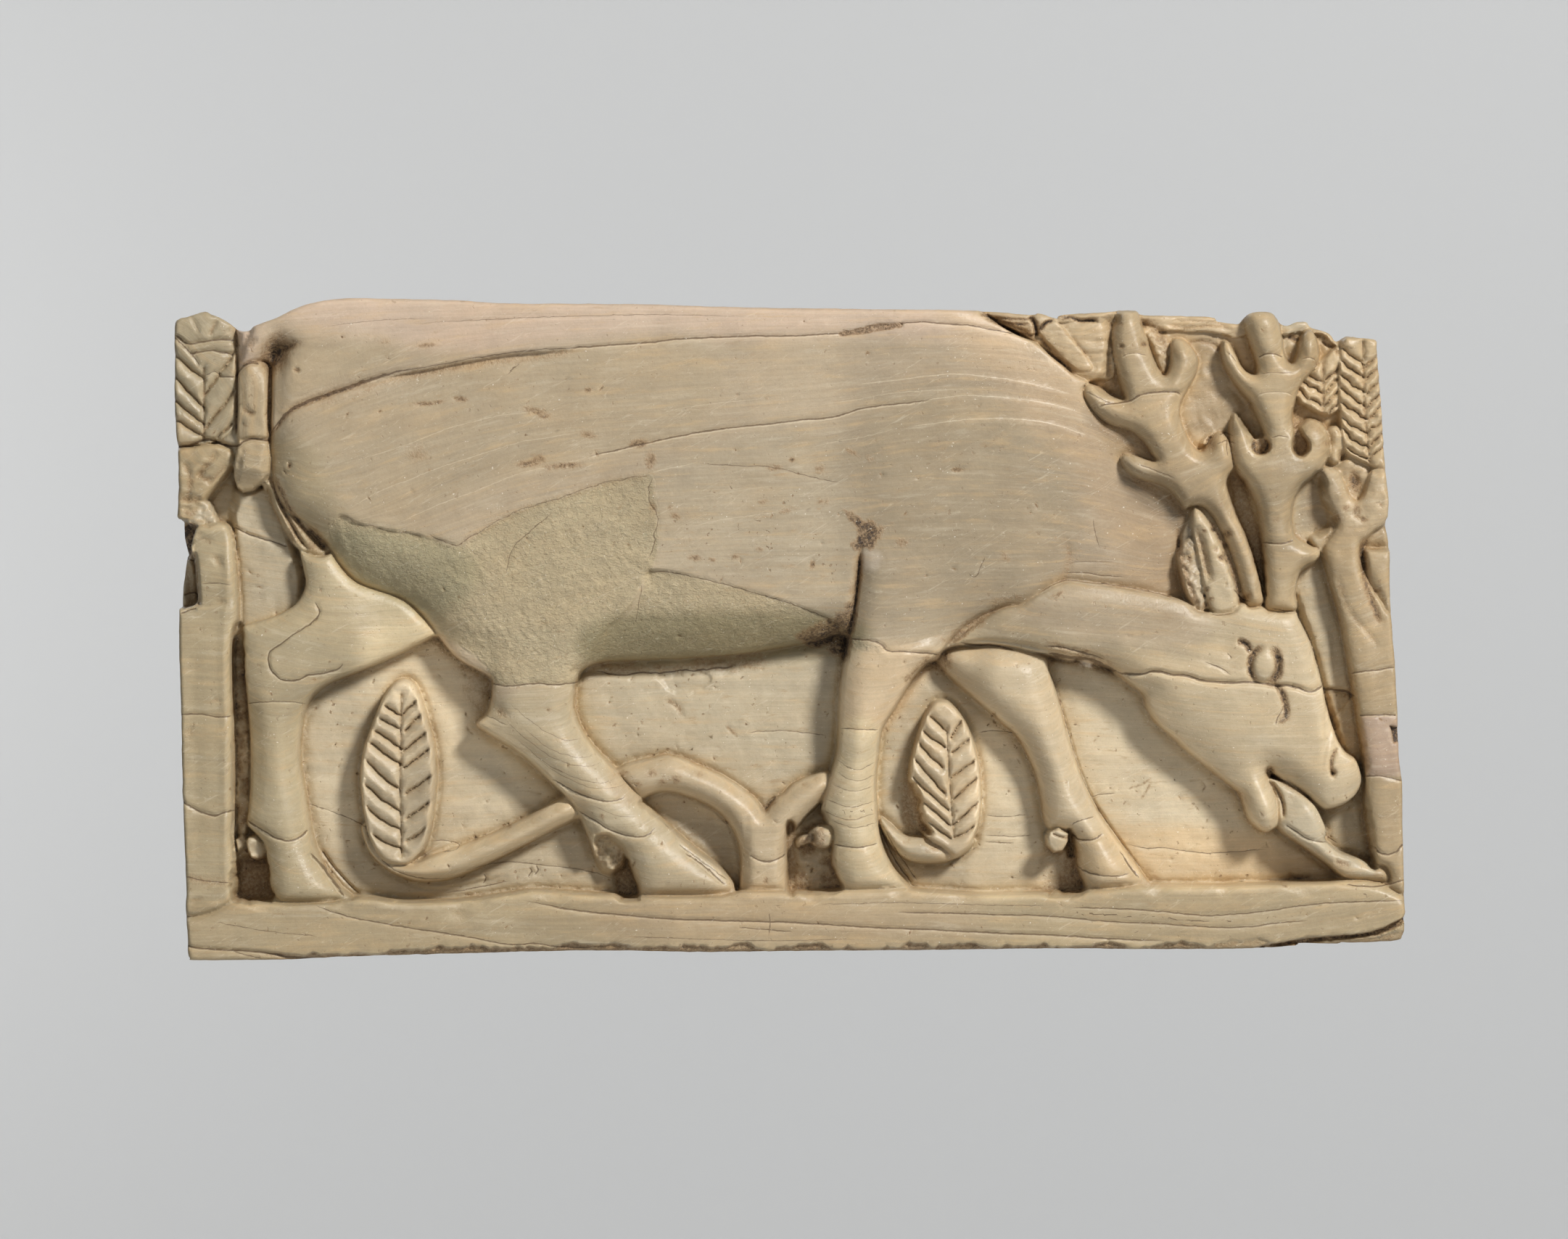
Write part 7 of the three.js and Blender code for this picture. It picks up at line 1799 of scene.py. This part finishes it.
def line_mask(d_name, w_name, soft, vary, wider=1.0):
    d = math_("ABSOLUTE", add(attr(d_name).outputs["Fac"], wob))
    wd = mul(attr(w_name).outputs["Fac"], wider)
    wv = mul(wd, add(1.0 - vary * 0.5, mul(broken, vary)))
    return mul(sat(add(math_("DIVIDE", sub(wv, d), soft), 0.35)), sat(mul(wv, 3.0)))


# pale layer edges and crack lips: partly paler ivory, partly painted highlight
cream = mul(math_("MAXIMUM", line_mask("cream0_d", "cream0_w", 0.8, 1.6), line_mask("cream1_d", "cream1_w", 0.8, 1.6)), 0.37)
col = mixc(cream, col, (0.74, 0.63, 0.46))
dn = tex(mm, 1.3, 3.0, 0.65, 0.3)
grains_ = step_(tex(mm, 3.6, 3.0, 0.65, 0.2), 0.36, 0.64)
# the dirt field darkens in three steps, brown, dark brown and near black; the darker steps are partly painted shade in
# the deepest cuts
d1 = sat(mul(dirt_and_painted_shade, add(0.05, add(mul(dn, 1.25), mul(grains_, 0.62)))))
col = mixc(mul(step_(d1, 0.02, 0.45), 0.50), col, (0.36, 0.215, 0.095))
col = mixc(mul(step_(d1, 0.16, 0.72), 0.66), col, (0.155, 0.095, 0.05))
col = mixc(mul(step_(d1, 0.52, 1.0), 0.85), col, (0.042, 0.030, 0.025))
crk = math_("MAXIMUM", line_mask("crack0_d", "crack0_w", 0.8, 0.9, 1.45),
            math_("MAXIMUM", line_mask("crack1_d", "crack1_w", 0.8, 0.9, 1.45), line_mask("crack2_d", "crack2_w", 0.8, 0.9, 1.45)))
col = mixc(mul(crk, 0.78), col, (0.115, 0.070, 0.038))

# brown specks, pale dust grains, a few hair scratches
spk = mul(step_(tex(mm, 2.0, 3.0, 0.5), 0.665, 0.73), sat(mul(speck, 1.3)))
spk2 = mul(step_(dust, 0.70, 0.76), sat(mul(speck, 1.6)))
flake = mul(step_(tex(vec(mul(mx, 0.55), mul(layer, 2.4), mul(my, 0.8)), 1.0, 4.0, 0.6), 0.60, 0.72), sat(mul(speck, 1.6)))
col = mixc(mul(flake, 0.34), col, (0.36, 0.225, 0.105))
col = mixc(mul(spk, 0.55), col, (0.22, 0.125, 0.055))
col = mixc(mul(spk2, 0.5), col, (0.17, 0.105, 0.05))
pale = step_(tex(vec(add(mx, 31.0), my, add(mz, 7.0)), 4.6, 1.0, 0.4), 0.765, 0.80)
col = mixc(mul(pale, 0.55), col, (0.88, 0.83, 0.72))
hair = step_(math_("ABSOLUTE", sub(tex(vec(mul(add(mx, mul(mz, 0.55)), 0.10), mul(sub(mz, mul(mx, 0.55)), 0.9), 0.0), 1.0, 2.0, 0.5), 0.5)), 0.0, 0.006)
col = mixc(mul(sub(1.0, hair), 0.16), col, (0.85, 0.76, 0.60))
feed(bsdf.inputs["Base Color"], col)

rough = add(add(0.41, mul(sub(mottle, 0.5), 0.22)), add(mul(sub(grit, 0.5), 0.16), add(mul(d1, 0.30), mul(fill, 0.34))))
feed(bsdf.inputs["Roughness"], math_("MINIMUM", math_("MAXIMUM", rough, 0.26), 0.92))
bsdf.inputs["IOR"].default_value = 1.52
bsdf.inputs["Specular IOR Level"].default_value = 0.36
bsdf.inputs["Subsurface Weight"].default_value = 0.10
bsdf.inputs["Subsurface Radius"].default_value = (1.0, 0.62, 0.36)
bsdf.inputs["Subsurface Scale"].default_value = 0.0007

# surface, in millimetres
hgt = add(add(mul(bands, 0.022), mul(fine, 0.016)), add(add(mul(blotch, 0.030), mul(grit, 0.026)), mul(dust, 0.006)))
hgt = add(hgt, mul(fill, mul(grains, 0.18)))
hgt = sub(hgt, mul(spk, 0.03))
hgt = add(hgt, mul(d1, add(mul(grit, 0.07), mul(grains_, 0.05))))
bump = nt.nodes.new("ShaderNodeBump")
bump.inputs["Strength"].default_value = 1.0
bump.inputs["Distance"].default_value = 0.001
feed(bump.inputs["Height"], hgt)
feed(bsdf.inputs["Normal"], bump.outputs[0])
me.materials.clear()
me.materials.append(mat)

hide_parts("plaque")
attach(plaque, "root")

# ---------------------------------------------------------------- stage
def sweep():
    """Floor and wall in one curved sheet."""
    ys, zs = [], []
    wall_y, floor_z, r = 1.05, -0.18, 0.04
    ys += [-0.95, -0.6, -0.3, 0.3, wall_y - r]
    zs += [floor_z] * 5
    for k in range(1, 13):
        a = math.pi / 2 * k / 12
        ys.append(wall_y - r + r * math.sin(a))
        zs.append(floor_z + r - r * math.cos(a))
    ys += [wall_y, wall_y, wall_y]
    zs += [0.3, 0.8, 1.6]
    xs = np.linspace(-0.95, 0.95, 9)
    v = [(x, y, z) for y, z in zip(ys, zs) for x in xs]
    f = []
    for i in range(len(ys) - 1):
        for j in range(len(xs) - 1):
            a = i * len(xs) + j
            f.append((a, a + 1, a + 1 + len(xs), a + len(xs)))
    m = bpy.data.meshes.new("sweep")
    m.from_pydata(v, [], f)
    m.polygons.foreach_set("use_smooth", [True] * len(m.polygons))
    o = bpy.data.objects.new("sweep", m)
    bpy.context.scene.collection.objects.link(o)
    mt = bpy.data.materials.new("paper")
    mt.use_nodes = True
    b = mt.node_tree.nodes["Principled BSDF"]
    b.inputs["Base Color"].default_value = (0.635, 0.638, 0.637, 1)
    b.inputs["Roughness"].default_value = 0.9
    m.materials.append(mt)
    return o


sweep()


def area_light(name, loc, target, size, energy, color=(1, 1, 1)):
    d = bpy.data.lights.new(name, "AREA")
    d.shape = "DISK"
    d.size = size
    d.energy = energy
    d.color = color
    o = bpy.data.objects.new(name, d)
    o.location = loc
    o.visible_camera = False
    o.rotation_mode = "QUATERNION"
    o.rotation_quaternion = (Vector(target) - Vector(loc)).to_track_quat("-Z", "Y")
    bpy.context.scene.collection.objects.link(o)
    return o


area_light("key", (0.33, -0.46, 0.36), (0, 0, 0), 0.12, 4.95, (1.0, 0.985, 0.96))
area_light("fill", (-0.60, -0.62, 0.20), (0, 0, 0), 0.6, 0.45, (0.90, 0.96, 1.0))
area_light("front", (0.10, -0.95, 0.15), (0, 0, 0), 0.5, 0.32)
area_light("paper_light", (0.26, 0.45, 0.33), (0.26, 1.05, 0.33), 0.9, 2.9)
area_light("paper_side", (-0.317, 0.867, 0.03), (-0.333, 1.05, 0.02), 0.233, 0.22)
area_light("back_soft", (-0.5, 0.75, 0.5), (0, 0, 0), 0.6, 1.8, (1.0, 0.99, 0.97))
area_light("floor_soft", (0.75, -0.85, 0.5), (0.954, -1.088, -0.18), 0.6, 4.0)

world = bpy.data.worlds.new("room")
world.use_nodes = True
world.node_tree.nodes["Background"].inputs["Color"].default_value = (0.80, 0.84, 0.88, 1)
world.node_tree.nodes["Background"].inputs["Strength"].default_value = 0.178
# the room is seen as pale as the paper
seen = world.node_tree.nodes.new("ShaderNodeBackground")
seen.inputs["Color"].default_value = (0.56, 0.565, 0.56, 1)
path = world.node_tree.nodes.new("ShaderNodeLightPath")
both = world.node_tree.nodes.new("ShaderNodeMixShader")
world.node_tree.links.new(path.outputs["Is Camera Ray"], both.inputs[0])
world.node_tree.links.new(world.node_tree.nodes["Background"].outputs[0], both.inputs[1])
world.node_tree.links.new(seen.outputs[0], both.inputs[2])
world.node_tree.links.new(both.outputs[0], world.node_tree.nodes["World Output"].inputs["Surface"])
bpy.context.scene.world = world

cam_data = bpy.data.cameras.new("camera")
cam_data.sensor_width = 36.0
cam_data.lens = 210.0
FRAME_W = 2162 * STEP * 0.001
REL = 0.008
dist = FRAME_W * cam_data.lens / cam_data.sensor_width
cam = bpy.data.objects.new("camera", cam_data)
cam.location = ((1081.0 - SHEET_X) * STEP * 0.001, -REL - dist, (SHEET_Y - 854.0) * STEP * 0.001)
cam.rotation_euler = (math.pi / 2, 0, 0)
cam_data.clip_start, cam_data.clip_end = 0.01, 10.0
bpy.context.scene.collection.objects.link(cam)
bpy.context.scene.camera = cam
bpy.context.scene.view_settings.view_transform = "Standard"
bpy.context.scene.view_settings.look = "None"
